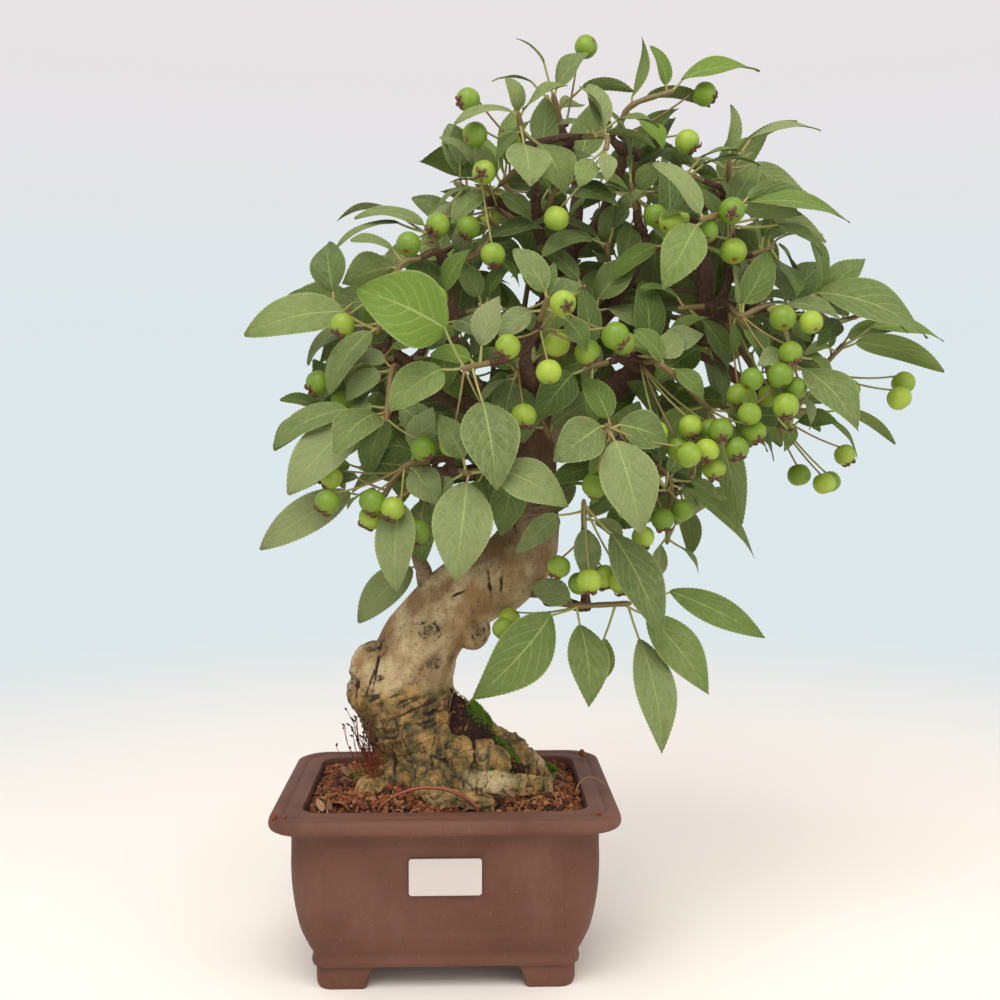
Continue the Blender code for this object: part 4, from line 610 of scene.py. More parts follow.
def bark_finish(colours):
    """Bark whose mesh marks where cracks with painted shade in the sunk relief, lichen and young reddish wood are."""
    made, tree = finish_tree("bark_finish")
    place = tree.place()
    crack, lichen, young = tree.marks("bark")
    upright = tree.stretched(place, 1.0, 1.0, 0.55)
    level = tree.stretched(place, 1.0, 1.0, 2.4)
    tone = tree.cloud(upright, 85.0, 5.0, 0.6)
    fine = tree.cloud(place, 620.0, 4.0, 0.6)
    wide = tree.cloud(place, 42.0, 3.0)
    dots = 1.0 - tree.rise(tree.cells(level, 330.0), 0.1, 0.24)
    dots = dots * tree.rise(tree.cloud(place, 120.0, 2.0), 0.42, 0.58)
    flecks = tree.rise(tree.cloud(level, 420.0, 4.0, 0.7), 0.5, 0.62)
    streaks = tree.rise(tree.cloud(tree.stretched(place, 1.0, 1.0, 0.4), 520.0, 4.0, 0.7), 0.55, 0.66)
    colour = tree.blend(tree.rise(0.5 * tone + 0.5 * wide, 0.42, 0.6), colours.smooth, colours.shadow)
    colour = tree.blend(flecks * 0.5, colour, colours.shadow)
    colour = tree.blend(streaks * 0.55 * tree.rise(wide, 0.4, 0.6), colour, colours.crack)
    damp = tree.rise(lichen + 0.9 * wide, 0.55, 1.05)
    moist = tree.blend(tree.rise(tree.cloud(place, 120.0, 4.0, 0.6), 0.4, 0.62), colours.ochre, colours.lichen)
    colour = tree.blend(damp * 0.9, colour, moist)
    dark = tree.rise(tree.cloud(upright, 190.0, 5.0, 0.65) + 0.25 * lichen, 0.62, 0.82)
    colour = tree.blend(dark * lichen * 0.8, colour, colours.crack)
    reddish = tree.blend(tree.rise(fine, 0.4, 0.75), colours.young, colours.shadow)
    colour = tree.blend(young, colour, tree.blend(0.2, colours.young, reddish))
    colour = tree.blend(tree.rise(fine, 0.52, 0.75) * 0.4, colour, colours.shadow)
    colour = tree.blend(dots * 0.75, colour, colours.crack)
    # Cracks and painted shade where the relief is sunk, from the mesh's crack mark.
    colour = tree.blend(tree.rise(crack + 0.25 * fine, 0.3, 0.95), colour, colours.crack)
    height = fine * 0.7 + tree.cloud(upright, 260.0, 4.0) - 0.8 * dots
    tree.end(tree.shader({"Base Color": colour, "Roughness": 0.72 + 0.2 * fine}, height, 0.0007))
    return made


def leaf_finish(colours):
    """Blades marked with place along, place across and side, and each leaf's youth, bloom and depth; the depth paints
    shade on the inner sprigs and on the middle and back boughs.
    """
    made, tree = finish_tree("leaf_finish")
    place = tree.place()
    along, across, side = tree.marks("blade")
    youth, bloom, deep = tree.marks("growth")
    out = abs(across)
    mottle = tree.cloud(place, 130.0, 4.0, 0.6)
    net = 1.0 - tree.rise(tree.cells(place, 780.0, "DISTANCE_TO_EDGE"), 0.0, 0.12)
    settled = tree.rise(along, 0.03, 0.2)
    uneven = tree.cloud(place, 45.0, 1.0)
    phase = (along - 0.3 * out - 0.14 * out * out) * 6.6 + 0.5 * uneven + 0.2
    wave = abs(tree.maths("FRACT", phase, 0.0) - 0.5)
    side_vein = (1.0 - tree.rise(wave, 0.01, 0.06)) * (1.0 - tree.rise(out, 0.66, 0.96)) * settled
    midrib = 1.0 - tree.rise(out + 0.03 * along, 0.025, 0.06)
    margin = tree.rise(out, 0.93, 0.985)
    upper = tree.rise(side, -0.02, 0.02)
    # Painted shade together with a darker tone: the depth mark darkens a leaf towards the deep green.
    colour = tree.blend(deep, colours.mature, colours.deep)
    colour = tree.blend(youth, colour, colours.bright)
    colour = tree.blend((mottle - 0.35) * 0.7, colour, colours.bright)
    between = tree.rise(wave, 0.06, 0.34) * settled
    colour = tree.blend(between * 0.1, colour, colours.deep)
    down = tree.rise(tree.cloud(place, 300.0, 5.0, 0.7) + 0.5 * bloom, 0.42, 0.95)
    colour = tree.blend(down * bloom, colour, colours.bloom)
    colour = tree.blend(net * 0.2, colour, colours.vein)
    colour = tree.blend(side_vein * 0.62, colour, colours.vein)
    below = tree.blend(0.45, colour, colours.under)
    below = tree.blend(side_vein * 0.4, below, colours.vein)
    colour = tree.blend(upper, below, colour)
    colour = tree.blend(midrib * 0.75, colour, colours.vein)
    colour = tree.blend(margin * 0.5, colour, colours.vein)
    spots = 1.0 - tree.rise(tree.cells(place, 62.0), 0.05, 0.09)
    spots = spots * tree.rise(tree.cloud(place, 21.0, 1.0), 0.56, 0.6)
    colour = tree.blend(spots * 0.75, colour, shade(150, 96, 72))
    rough = 0.46 + 0.22 * bloom + 0.12 * mottle + 0.12 * (1.0 - upper)
    height = 0.45 * between - 0.5 * side_vein - 0.3 * net * settled - 0.4 * midrib * settled + 0.3 * mottle
    blade = tree.shader({"Base Color": colour, "Roughness": rough, "IOR": 1.4}, height, 0.0003)
    glow = tree.node("ShaderNodeBsdfTranslucent", inputs={"Color": (0.34, 0.42, 0.05)})
    tree.end(tree.node("ShaderNodeMixShader", inputs={0: 0.2, 1: blade, 2: glow}))
    return made


def shoot_finish(colours):
    """Green shoots and stalks, marked with how red each is."""
    made, tree = finish_tree("shoot_finish")
    place = tree.place()
    red, woody, tone = tree.marks("growth")
    patch = tree.cloud(place, 160.0, 3.0)
    colour = tree.blend(tree.rise(red + 0.6 * patch, 0.6, 1.3), colours.stalk, colours.blush)
    colour = tree.blend(tone * 0.3, colour, colours.mature)
    colour = tree.blend(woody, colour, shade(84, 57, 40))
    tree.end(tree.shader({"Base Color": colour, "Roughness": 0.55}, tree.cloud(place, 900.0, 2.0), 0.0001))
    return made


def fruit_finish(colours):
    """Skin marked with place along the axis, redness at the scar, and each fruit's depth of colour, which paints some
    fruits as shaded.
    """
    made, tree = finish_tree("fruit_finish")
    place = tree.place()
    along, scar, deep = tree.marks("growth")
    patch = tree.cloud(place, 150.0, 3.0)
    dots = 1.0 - tree.rise(tree.cells(place, 640.0), 0.08, 0.16)
    # Painted shade: fruits with a high drawn depth are darker.
    colour = tree.blend(tree.rise(0.75 * deep + 0.5 * patch, 0.25, 0.95), colours.skin, colours.deep)
    # Painted shade: darker towards the flower end, the lower end of the fruit.
    colour = tree.blend(tree.rise(along, 0.72, 1.0) * 0.4, colour, colours.deep)
    colour = tree.blend(dots * 0.35, colour, colours.dots)
    colour = tree.blend(scar, colour, shade(126, 62, 34))
    height = tree.cloud(place, 420.0, 2.0)
    tree.end(tree.shader({"Base Color": colour, "Roughness": 0.36 + 0.12 * patch, "IOR": 1.42}, height, 0.00008))
    return made


def husk_finish(colours):
    made, tree = finish_tree("husk_finish")
    patch = tree.cloud(tree.place(), 700.0, 4.0, 0.7)
    colour = tree.blend(tree.rise(patch, 0.35, 0.7), colours.husk, shade(52, 32, 26))
    colour = tree.blend(tree.rise(patch, 0.62, 0.8) * 0.7, colour, shade(196, 164, 134))
    tree.end(tree.shader({"Base Color": colour, "Roughness": 0.9}, patch, 0.0003))
    return made


def grain_finish(colours):
    """Baked clay grains and crumbs, marked with lightness, dampness and a draw; the dampness also paints shade on the
    grains under the ridge root.
    """
    made, tree = finish_tree("grain_finish")
    place = tree.place()
    light, damp, draw = tree.marks("grain")
    fine = tree.cloud(place, 900.0, 5.0, 0.7)
    colour = tree.blend(tree.rise(light + 0.3 * fine, 0.5, 1.2), colours.orange, colours.light)
    colour = tree.blend(tree.rise(damp + 0.25 * fine, 0.45, 1.0), colour, colours.dark)
    colour = tree.blend(tree.rise(fine, 0.5, 0.8) * 0.5 * draw, colour, colours.bed)
    tree.end(tree.shader({"Base Color": colour, "Roughness": 0.95}, fine, 0.0006))
    return made


def bed_finish(colours):
    made, tree = finish_tree("bed_finish")
    place = tree.place()
    fine = tree.cloud(place, 420.0, 6.0, 0.7)
    colour = tree.blend(tree.rise(fine, 0.5, 0.72), colours.bed, colours.orange)
    colour = tree.blend(tree.rise(tree.cloud(place, 90.0, 3.0), 0.4, 0.6), colour, colours.bed)
    tree.end(tree.shader({"Base Color": colour, "Roughness": 0.97}, fine, 0.0012))
    return made


def moss_finish(colours):
    """Moss marked with height up its shoot, shade and a draw."""
    made, tree = finish_tree("moss_finish")
    up, dull, draw = tree.marks("growth")
    patch = tree.cloud(tree.place(), 260.0, 3.0)
    colour = tree.blend(tree.rise(up + 0.5 * patch + 0.3 * draw - dull, 0.2, 1.1), colours.dark, colours.green)
    tree.end(tree.shader({"Base Color": colour, "Roughness": 0.85}, patch, 0.0002))
    return made


def spore_finish(colours):
    made, tree = finish_tree("spore_finish")
    up, orange, draw = tree.marks("growth")
    colour = tree.blend(orange * 0.6, colours.stalk, shade(196, 92, 30))
    colour = tree.blend(tree.rise(up + 0.3 * draw, 0.5, 1.1), colour, colours.capsule)
    tree.end(tree.shader({"Base Color": colour, "Roughness": 0.5}, tree.cloud(tree.place(), 900.0), 0.0001))
    return made


def litter_finish():
    """Dead leaf bits, rootlets and bark flakes, marked with paleness, redness and a draw."""
    made, tree = finish_tree("litter_finish")
    place = tree.place()
    pale, red, draw = tree.marks("growth")
    fine = tree.cloud(place, 500.0, 4.0, 0.65)
    colour = tree.blend(pale, shade(84, 52, 34), shade(176, 138, 100))
    colour = tree.blend(red, colour, shade(176, 92, 44))
    colour = tree.blend(tree.rise(fine, 0.45, 0.75) * 0.6 * draw, colour, shade(58, 36, 26))
    tree.end(tree.shader({"Base Color": colour, "Roughness": 0.85}, fine, 0.0004))
    return made


def plain_finish(name, colour, roughness, wear, metallic=0.0):
    """A made surface with faint scuffs in its colour, gloss and relief."""
    made, tree = finish_tree(name)
    place = tree.place()
    scuffs = tree.cloud(place, 240.0, 5.0, 0.65)
    dark = tuple(0.72 * value for value in colour)
    inputs = {
        "Base Color": tree.blend(tree.rise(scuffs, 0.4, 0.8) * wear, tuple(colour), dark),
        "Roughness": roughness + 0.25 * wear * scuffs,
        "Metallic": metallic,
    }
    tree.end(tree.shader(inputs, tree.cloud(place, 1200.0, 2.0), 0.00004))
    return made


# Meshes

class Skin:
    """Points, faces, finishes and marks of a piece while its parts are put together, in the pot's frame."""

    def __init__(self, *mark_names):
        self.points = []
        self.faces = []
        self.finishes = []
        self.marks = {name: [] for name in mark_names}
        self.size = 0

    def add(self, points, faces, finish=0, **marks):
        points = np.array([tuple(point) for point in points], float)
        self.points.append(points)
        self.faces += [tuple(self.size + corner for corner in face) for face in faces]
        self.finishes += [finish] * len(faces)
        for name, rows in self.marks.items():
            row = np.asarray(marks.get(name, (0.0, 0.0, 0.0)), float)
            rows.append(np.broadcast_to(row, (len(points), 3)))
        self.size += len(points)

    def mesh(self, name, shift=Vector()):
        """The mesh, with every closed part's normals made to face out."""
        made = bpy.data.meshes.new(name)
        points = np.concatenate(self.points) + np.array(shift)
        made.from_pydata(points.tolist(), [], self.faces)
        made.polygons.foreach_set("material_index", self.finishes)
        for mark, rows in self.marks.items():
            layer = made.attributes.new(mark, "FLOAT_VECTOR", "POINT")
            layer.data.foreach_set("vector", np.concatenate(rows).ravel())
        shape = bmesh.new()
        shape.from_mesh(made)
        bmesh.ops.recalc_face_normals(shape, faces=shape.faces)
        shape.to_mesh(made)
        shape.free()
        return made

    def piece(self, name, finishes, slot, replaced=(), sharp=None):
        """Links the mesh as a piece that rides on the tree, in place of the solids it replaces."""
        mesh = self.mesh(name, POT_CENTRE)
        mesh.shade_smooth()
        if sharp is not None:
            mesh.set_sharp_from_angle(angle=radians(sharp))
        for finish in finishes:
            mesh.materials.append(finish)
        made = bpy.data.objects.new(name, mesh)
        bpy.context.scene.collection.objects.link(made)
        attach(made, "root")
        if replaced:
            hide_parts(*replaced)
        return made


def smooth_path(points, radii, step):
    """The points and radii of a smooth curve through the given ones, about step apart."""
    ends = [points[0] * 2 - points[1]] + list(points) + [points[-1] * 2 - points[-2]]
    found, sizes = [], []
    for index in range(len(points) - 1):
        a, b, c, d = ends[index:index + 4]
        count = max(1, round((c - b).length / step))
        for number in range(count):
            t = number / count
            curve = (b * 2 + (c - a) * t + (a * 2 - b * 5 + c * 4 - d) * t ** 2
                + (b * 3 - a - c * 3 + d) * t ** 3) / 2
            found.append(curve)
            ease = t * t * (3 - 2 * t)
            sizes.append(radii[index] + (radii[index + 1] - radii[index]) * ease)
    return found + [points[-1]], sizes + [radii[-1]]


def ease(value, low, high):
    """0 under low, 1 over high, and smooth between; low may be the higher one."""
    share = min(1.0, max(0.0, (value - low) / (high - low)))
    return share * share * (3 - 2 * share)


def one_skin(skin, cell, rounds):
    """Points, outward normals and faces of one even skin over all that skin holds, softened a little."""
    mesh = skin.mesh("rough")
    rough = bpy.data.objects.new("rough", mesh)
    bpy.context.scene.collection.objects.link(rough)
    remesh = rough.modifiers.new("cells", "REMESH")
    remesh.mode = "VOXEL"
    remesh.voxel_size = cell
    soften = rough.modifiers.new("soften", "SMOOTH")
    soften.factor = 0.5
    soften.iterations = rounds
    even = rough.evaluated_get(bpy.context.evaluated_depsgraph_get()).to_mesh()
    points = np.zeros(len(even.vertices) * 3)
    normals = np.zeros(len(even.vertices) * 3)
    even.vertices.foreach_get("co", points)
    even.vertex_normals.foreach_get("vector", normals)
    faces = [tuple(face.vertices) for face in even.polygons]
    bpy.data.objects.remove(rough, do_unlink=True)
    bpy.data.meshes.remove(mesh)
    return points.reshape(-1, 3), normals.reshape(-1, 3), faces


# The part's own rules for shapes and growth


def loft(rings, close_start=True, close_end=True):
    """Vertices and faces of a skin over rings with equal point counts."""
    count = len(rings[0])
    vertices = [point for ring in rings for point in ring]
    faces = []
    for row in range(len(rings) - 1):
        for i in range(count):
            j = (i + 1) % count
            faces.append((row * count + i, row * count + j, (row + 1) * count + j, (row + 1) * count + i))
    if close_start:
        faces.append(tuple(reversed(range(count))))
    if close_end:
        faces.append(tuple(range((len(rings) - 1) * count, len(rings) * count)))
    return vertices, faces


def inner_half_width(height_mm):
    """Half width in mm of the pot's inside at a height in mm, read along its profile."""
    wall = (OUTER_PROFILE[-1],) + INNER_PROFILE
    for (upper_width, upper), (lower_width, lower) in zip(wall, wall[1:]):
        if height_mm >= lower:
            share = (height_mm - lower) / (upper - lower)
            return lower_width + share * (upper_width - lower_width)
    return wall[-1][0]


# Round stretches of wood and stalks

def tube(points, radii, sides, swell=None):
    """A closed tube along points; swell scales its radius by angle and by share of the length."""
    legs = [(b - a).normalized() for a, b in zip(points, points[1:])]
    tangents = [(a + b).normalized() for a, b in zip(legs[:1] + legs, legs + legs[-1:])]
    side = tangents[0].orthogonal().normalized()
    rings = []
    for index, (point, radius, tangent) in enumerate(zip(points, radii, tangents)):
        side = (side - tangent * side.dot(tangent)).normalized()
        other = tangent.cross(side)
        ring = []
        for i in range(sides):
            angle = 2 * pi * i / sides
            reach = radius * (swell(angle, index / (len(points) - 1)) if swell else 1.0)
            ring.append(point + side * (reach * cos(angle)) + other * (reach * sin(angle)))
        rings.append(ring)
    return loft(rings)


def path_of(rows):
    return [Vector(row[:3]) * MM for row in rows], [row[3] * MM for row in rows]


def ball(centre, radius, rings=4, sides=7):
    """Vertices and faces of a round lump."""
    vertices = [centre + Vector((0, 0, -radius))]
    for row in range(1, rings):
        height = -cos(pi * row / rings)
        reach = sin(pi * row / rings)
        for i in range(sides):
            angle = 2 * pi * i / sides
            vertices.append(centre + radius * Vector((reach * cos(angle), reach * sin(angle), height)))
    vertices.append(centre + Vector((0, 0, radius)))
    faces = []
    top = len(vertices) - 1
    for i in range(sides):
        j = (i + 1) % sides
        faces.append((0, 1 + j, 1 + i))
        for row in range(rings - 2):
            base = 1 + row * sides
            faces.append((base + i, base + j, base + sides + j, base + sides + i))
        faces.append((top - sides + i, top - sides + j, top))
    return vertices, faces


def fruit_spur(centre, heading, growth=0.0):
    """The short woody spur beside a twig that a bunch's stalks grow from."""
    half = heading * (FRUIT_SPUR_LENGTH / 2)
    radius = FRUIT_SPUR_RADIUS + growth
    return tube([centre - half, centre + half], [radius, 0.8 * radius], FRUIT_SIDES)


def trunk_swell(angle, share):
    """Shallow flutes that deepen towards the base."""
    return 1 + (0.04 + 0.06 * (1 - share) ** 3) * cos(3 * angle + 2.0 * share) + 0.03 * cos(5 * angle + 1.3)


# Leaves and fruits as bare shapes

Leaf = namedtuple("Leaf", "root base tip normal width")
Fruit = namedtuple("Fruit", "foot centre axis radius")


def direction(bearing, lean, side=FRONT):
    """Unit vector for a bearing seen from the front and a lean towards the side of the crown."""
    b, l = radians(bearing), radians(lean)
    return Vector((cos(b) * cos(l), side * sin(l), sin(b) * cos(l)))


def blade_share(t):
    """Half width of an ovate blade over its length, as a share of its widest."""
    return sin(pi * t ** 0.8) ** 0.85


def leaf_frame(root, row, side, turn, roll):
    """A leaf from its table row, with the turn that clears it from its neighbours."""
    bearing, stalk, blade, lean, facing, ratio = row
    bearing, lean, blade = bearing + turn[0], lean + turn[1], blade * turn[2]
    chord = direction(bearing, lean, side)
    base = root + direction(bearing + 45 * cos(radians(bearing)), lean, side) * (stalk * MM)
    away = root - CROWN_CENTRE
    away.normalize()
    outward = (0.6 * away + 0.8 * Vector((0, side, 0))).normalized()
    up = 0.55 * Vector((0, 0, 1)) + outward * facing + Vector((0.15, 0, 0))
    up = (up - chord * up.dot(chord)).normalized()
    up.rotate(Matrix.Rotation(radians(roll), 3, chord))
    return Leaf(root, base, base + chord * (blade * MM), up, ratio * blade * MM)


def coarse_leaf(leaf, grow=0.0, from_share=0.0):
    """A blade with a toothed edge, thick along its midrib, on a three-sided stalk sunk at its root.

    grow adds clearance all round, and from_share leaves out the stalk's first part.
    """
    span = leaf.tip - leaf.base
    length = span.length
    along = span / length
    across = along.cross(leaf.normal)
    arch = 0.11 * length
    half = leaf.width / 2 + grow
    edges, ribs = next(points for least, *points in BLADE_POINTS if length > least)
    fold = 0.16
    thick = BLADE_THICKNESS / 2 + grow

    def rib(t):
        return leaf.base + span * t + leaf.normal * (4 * arch * t * (1 - t))

    def edge(t, hand, tooth):
        wave = 0.05 * leaf.width * sin(7 * t + 2 * hand)
        reach = half * blade_share(t) * tooth
        return rib(t) + across * (hand * reach) + leaf.normal * (fold * reach + wave)

    width = STALK_RADIUS + grow
    beside = across * width
    vertices = [leaf.base - beside, leaf.base + beside, leaf.base - leaf.normal * (1.5 * width)]
    start = leaf.root + (leaf.base - leaf.root) * from_share
    vertices += [v + start - leaf.base for v in vertices]
    left, right, below = 0, 1, 2
    top_rib, low_rib = [], []
    for i in range(ribs):
        point = rib((i + 1) / (ribs + 1))
        top_rib.append(len(vertices))
        low_rib.append(len(vertices) + 1)
        vertices += [point + leaf.normal * thick, point - leaf.normal * thick]
    chains = []
    for hand in (-1, 1):
        chain = []
        for i in range(edges):
            chain.append(len(vertices))
            vertices.append(edge((i + 1) / (edges + 1), hand, 0.93 if i % 2 == 0 else 1.06))
        chains.append(chain)
    tip = len(vertices)
    vertices.append(leaf.tip + along * grow)
    faces = [(left, right, top_rib[0])]
    faces += [(3, 4, right, left), (4, 5, below, right), (5, 3, left, below), (5, 4, 3)]
    for start_corner, chain in ((left, chains[0]), (right, chains[1])):
        outer = [start_corner] + chain + [tip]
        for inner in (top_rib + [tip], [below] + low_rib + [tip]):
            faces += strip(outer, inner)
    return vertices, faces


def strip(outer, inner):
    """Triangles between two chains of points that start near each other and share their last point."""
    faces = []
    i = j = 0
    while i < len(outer) - 1 or j < len(inner) - 1:
        ahead_outer = (i + 1) / (len(outer) - 1)
        ahead_inner = (j + 1) / (len(inner) - 1)
        if i < len(outer) - 1 and (ahead_outer <= ahead_inner or j == len(inner) - 1):
            corners = (outer[i], outer[i + 1], inner[j])
            i += 1
        else:
            corners = (outer[i], inner[j + 1], inner[j])
            j += 1
        if len(set(corners)) == 3:
            faces.append(corners)
    return faces


def coarse_fruit(fruit, grow=0.0):
    """A turned fruit on its stalk, with the flared dried flower at its end."""
    radius = fruit.radius + grow
    stalk = FRUIT_STALK_RADIUS + grow
    top = fruit.centre - fruit.axis * (radius * 0.9)
    points = [fruit.foot, top]
    radii = [stalk, stalk]
    for height, reach in FRUIT_OUTLINE:
        points.append(fruit.centre + fruit.axis * (height * radius))
        radii.append(reach * radius)
    return tube(points, radii, FRUIT_SIDES)


# Growing the crown clear of itself

class Crown:
    """Everything placed so far, as search trees with their owner's name."""

    def __init__(self):
        self.shapes = []

    def add(self, owner, kind, vertices, faces):
        low = Vector([min(v[k] for v in vertices) for k in range(3)])
        high = Vector([max(v[k] for v in vertices) for k in range(3)])
        self.shapes.append((owner, kind, low, high, BVHTree.FromPolygons(vertices, faces)))

    def clear(self, vertices, faces, skip=lambda owner, kind: False):
        low = [min(v[k] for v in vertices) for k in range(3)]
        high = [max(v[k] for v in vertices) for k in range(3)]
        tree = BVHTree.FromPolygons(vertices, faces)
        for owner, kind, other_low, other_high, other in self.shapes:
            apart = any(low[k] > other_high[k] or high[k] < other_low[k] for k in range(3))
            if not apart and not skip(owner, kind) and tree.overlap(other):
                return False
        return True


def stem_places(stem):
    return [Vector(spur.place) * MM for spur in stem.spurs]


def mirrored_stems():
    """The back stems, each a front stem mirrored with a drawn shift and turn."""
    draw = random.Random(11)
    by_name = {stem.name: stem for stem in FRONT_STEMS}
    stems = []
    for name in BACK_STEMS:
        front = by_name[name]
        shift = [draw.uniform(-BACK_SHIFT, BACK_SHIFT) for _ in range(3)]
        spurs = []
        for spur in front.spurs:
            x, y, z = spur.place
            place = (x + shift[0], BACK_DEPTH + BACK_FLATTENING * abs(y) + shift[1], z + shift[2])
            leaves = tuple(
                (bearing + draw.uniform(-BACK_TURN, BACK_TURN), max(stalk, BACK_LEAST_STALK), *rest)
                for bearing, stalk, *rest in spur.leaves
            )
            spurs.append(Spur(place, leaves))
        fruits = front.fruits[:BACK_FRUITS.get(name, 0)]
        stems.append(Stem("back_" + name, BACK, tuple(spurs), fruits))
    return stems


def nearest_wood(place, samples):
    """The sampled wood point that a twig to this place would leave from, rising where it can."""
    far_enough = [point for point in samples if (place - point).length > STEM_LENGTH + LEAST_TWIG]
    return min(far_enough, key=lambda point: (place - point).length + 0.6 * max(0.0, point.z - place.z))


def stem_path(places, heading):
    """Start of the green stem, its spurs, and a short tip."""
    end_heading = (places[-1] - places[-2]).normalized() if len(places) > 1 else heading
    return [places[0] - heading * STEM_LENGTH] + places + [places[-1] + end_heading * 0.002]


def stem_tube(path, grow=0.0):
    radii = [STEM_RADIUS + grow] * (len(path) - 1) + [0.5 * STEM_RADIUS + grow]
    return tube(path, radii, STEM_SIDES)


def twig_path(start, stem_start, heading):
    """From the wood to the green stem, which the twig meets square on."""
    end = stem_start - heading * SEAT_GAP
    return [start, end - heading * (TWIG_LEAD * (end - start).length), end]


def grow_fruits(stem, heading, crown):
    """The stem's fruits on stalks from a spur beside the twig's end, as far as they are clear."""
    place = stem_places(stem)[0]
    wanted = [place + direction(b, l, stem.side) * (d * MM) for b, d, l in stem.fruits]
    mean = sum(wanted, Vector()) / len(wanted)
    twig_end = place - heading * (STEM_LENGTH + 0.003)
    aside = mean - twig_end
    aside = (aside - heading * aside.dot(heading)).normalized()
    best = None
    for turn, gap in product((0, 25, -25, 50, -50, 80, -80, 120, -120, 180), FRUIT_SPUR_GAPS):
        turned = aside.copy()
        turned.rotate(Matrix.Rotation(radians(turn), 3, heading))
        spur = twig_end + turned * (TWIG_RADII[1] + FRUIT_SPUR_RADIUS + gap)
        if not crown.clear(*fruit_spur(spur, heading, 0.5 * CLEARANCE)):
            continue
        fruits = []
        for index, (bearing, distance, lean) in enumerate(stem.fruits):
            foot = spur + heading * (FRUIT_SPACING * (index - len(stem.fruits) / 2))
            for turn_bearing, turn_lean in FRUIT_TURNS:
                way = direction(bearing + turn_bearing, lean + turn_lean, stem.side)
                centre = place + way * (distance * MM)
                axis = (0.55 * (centre - foot).normalized() + Vector((0, 0, -0.45))).normalized()
                fruit = Fruit(foot, centre, axis, FRUIT_RADIUS)
                spaced = all((centre - other.centre).length > 2.15 * FRUIT_RADIUS for other in fruits)
                if spaced and crown.clear(*coarse_fruit(fruit, CLEARANCE)):
                    fruits.append(fruit)
                    break
        if best is None or len(fruits) > len(best[1]):
            best = (spur, fruits)
        if len(fruits) == len(stem.fruits):
            break
    for fruit in best[1]:
        crown.add(stem.name + "_fruits", "fruit", *coarse_fruit(fruit))
    return best


def grow_leaves(stem, heading, crown, draw, turns=LEAF_TURNS):
    """The stem's leaves, each turned until it is clear of all that is placed, or left out."""
    leaves = []
    path = stem_path(stem_places(stem), heading)
    for number, spur in enumerate(stem.spurs):
        place = path[number + 1]
        back = (path[number] - place).normalized()
        step = min(LEAF_SPACING, 0.8 * (path[number] - place).length / len(spur.leaves))
        for index, row in enumerate(spur.leaves):
            root = place + back * (step * index)
            roll = draw.uniform(-12, 12)
            for turn in turns:
                leaf = leaf_frame(root, row, stem.side, turn, roll)
                outer = coarse_leaf(leaf, CLEARANCE, from_share=0.5 if row[1] > 6 else 0.8)
                whole = coarse_leaf(leaf, CLEARANCE)
                own = crown.clear(*outer, skip=lambda owner, kind: owner != stem.name)
                if own and crown.clear(*whole, skip=lambda owner, kind: owner == stem.name):
                    leaves.append(leaf)
                    crown.add(stem.name, "leaf", *coarse_leaf(leaf))
                    break
    return leaves

# Pot, label, wire and mesh

SIDE_POINTS = (112, 14, 80)
PROFILE_STEP = 1.3
FOOT_ROWS = 7


def even_ring(half_width, half_depth, radius, height, counts=SIDE_POINTS):
    """A rounded rectangle at one height as points and outward ways, with the same count for every size."""
    long_side, corner, short_side = counts
    ring, ways = [], []
    turns = ((1, 1, short_side), (-1, 1, long_side), (-1, -1, short_side), (1, -1, long_side))
    for quarter, (sx, sy, run) in enumerate(turns):
        centre = Vector((sx * (half_width - radius), sy * (half_depth - radius), height))
        start = Vector((cos(quarter * pi / 2), sin(quarter * pi / 2), 0.0))
        last = Vector((turns[quarter - 1][0] * (half_width - radius), turns[quarter - 1][1] * (half_depth - radius), height))
        for step in range(run):
            share = (step + 0.5) / run
            ring.append(last.lerp(centre, share) + start * radius)
            ways.append(start)
        for step in range(corner):
            angle = (quarter + (step + 0.5) / corner) * pi / 2
            way = Vector((cos(angle), sin(angle), 0.0))
            ring.append(centre + way * radius)
            ways.append(way)
    return ring, ways


def fine_pot_ring(half_width_mm, height_mm, inset=0.0, counts=SIDE_POINTS):
    """The fine outline of the pot at one height, by the same rule as the coarse one."""
    inside = RIM_WIDTH / 2 - half_width_mm * MM + inset
    radius = max(CORNER_RADIUS - 0.45 * inside, 0.004)
    return even_ring(RIM_WIDTH / 2 - inside, RIM_DEPTH / 2 - inside, radius, height_mm * MM, counts)


def panel_share(along, height, half, low, high):
    """1 inside a panel with round corners, 0 outside, and smooth along its edge; all in metres."""
    radius = 0.006
    middle = (low + high) / 2
    over_x = abs(along) - (half - radius)
    over_z = abs(height - middle) - ((high - low) / 2 - radius)
    gap = Vector((max(over_x, 0.0), max(over_z, 0.0))).length + min(max(over_x, over_z), 0.0) - radius
    return ease(gap, 0.0008, -0.0008)


def pot_body(settings):
    """Points and faces of the pot's wall, rim and floor, the panels sunk in its sides."""
    profile = [Vector((width, height, 0.0)) for width, height in OUTER_PROFILE[1:] + INNER_PROFILE]
    smooth, _ = smooth_path(profile, [0.0] * len(profile), PROFILE_STEP)
    rings = [fine_pot_ring(FOOT_HALF_WIDTH / MM - 8, FOOT_HEIGHT / MM)[0]]
    outer_top = len(smooth) // 2
    for number, row in enumerate(smooth):
        ring, ways = fine_pot_ring(row.x, row.y)
        if number < outer_top and settings.panel_low - 0.004 < ring[0].z < settings.panel_high + 0.004:
            for index, (point, way) in enumerate(zip(ring, ways)):
                long_side = abs(way.y) > 0.999
                half = settings.panel_half - (0.0 if long_side else (RIM_WIDTH - RIM_DEPTH) / 2)
                along = point.x if long_side else point.y
                if max(abs(way.x), abs(way.y)) > 0.999:
                    sunk = panel_share(along, point.z, half, settings.panel_low, settings.panel_high)
                    ring[index] = point - way * (settings.panel_depth * sunk)
        rings.append(ring)
    return loft(rings)


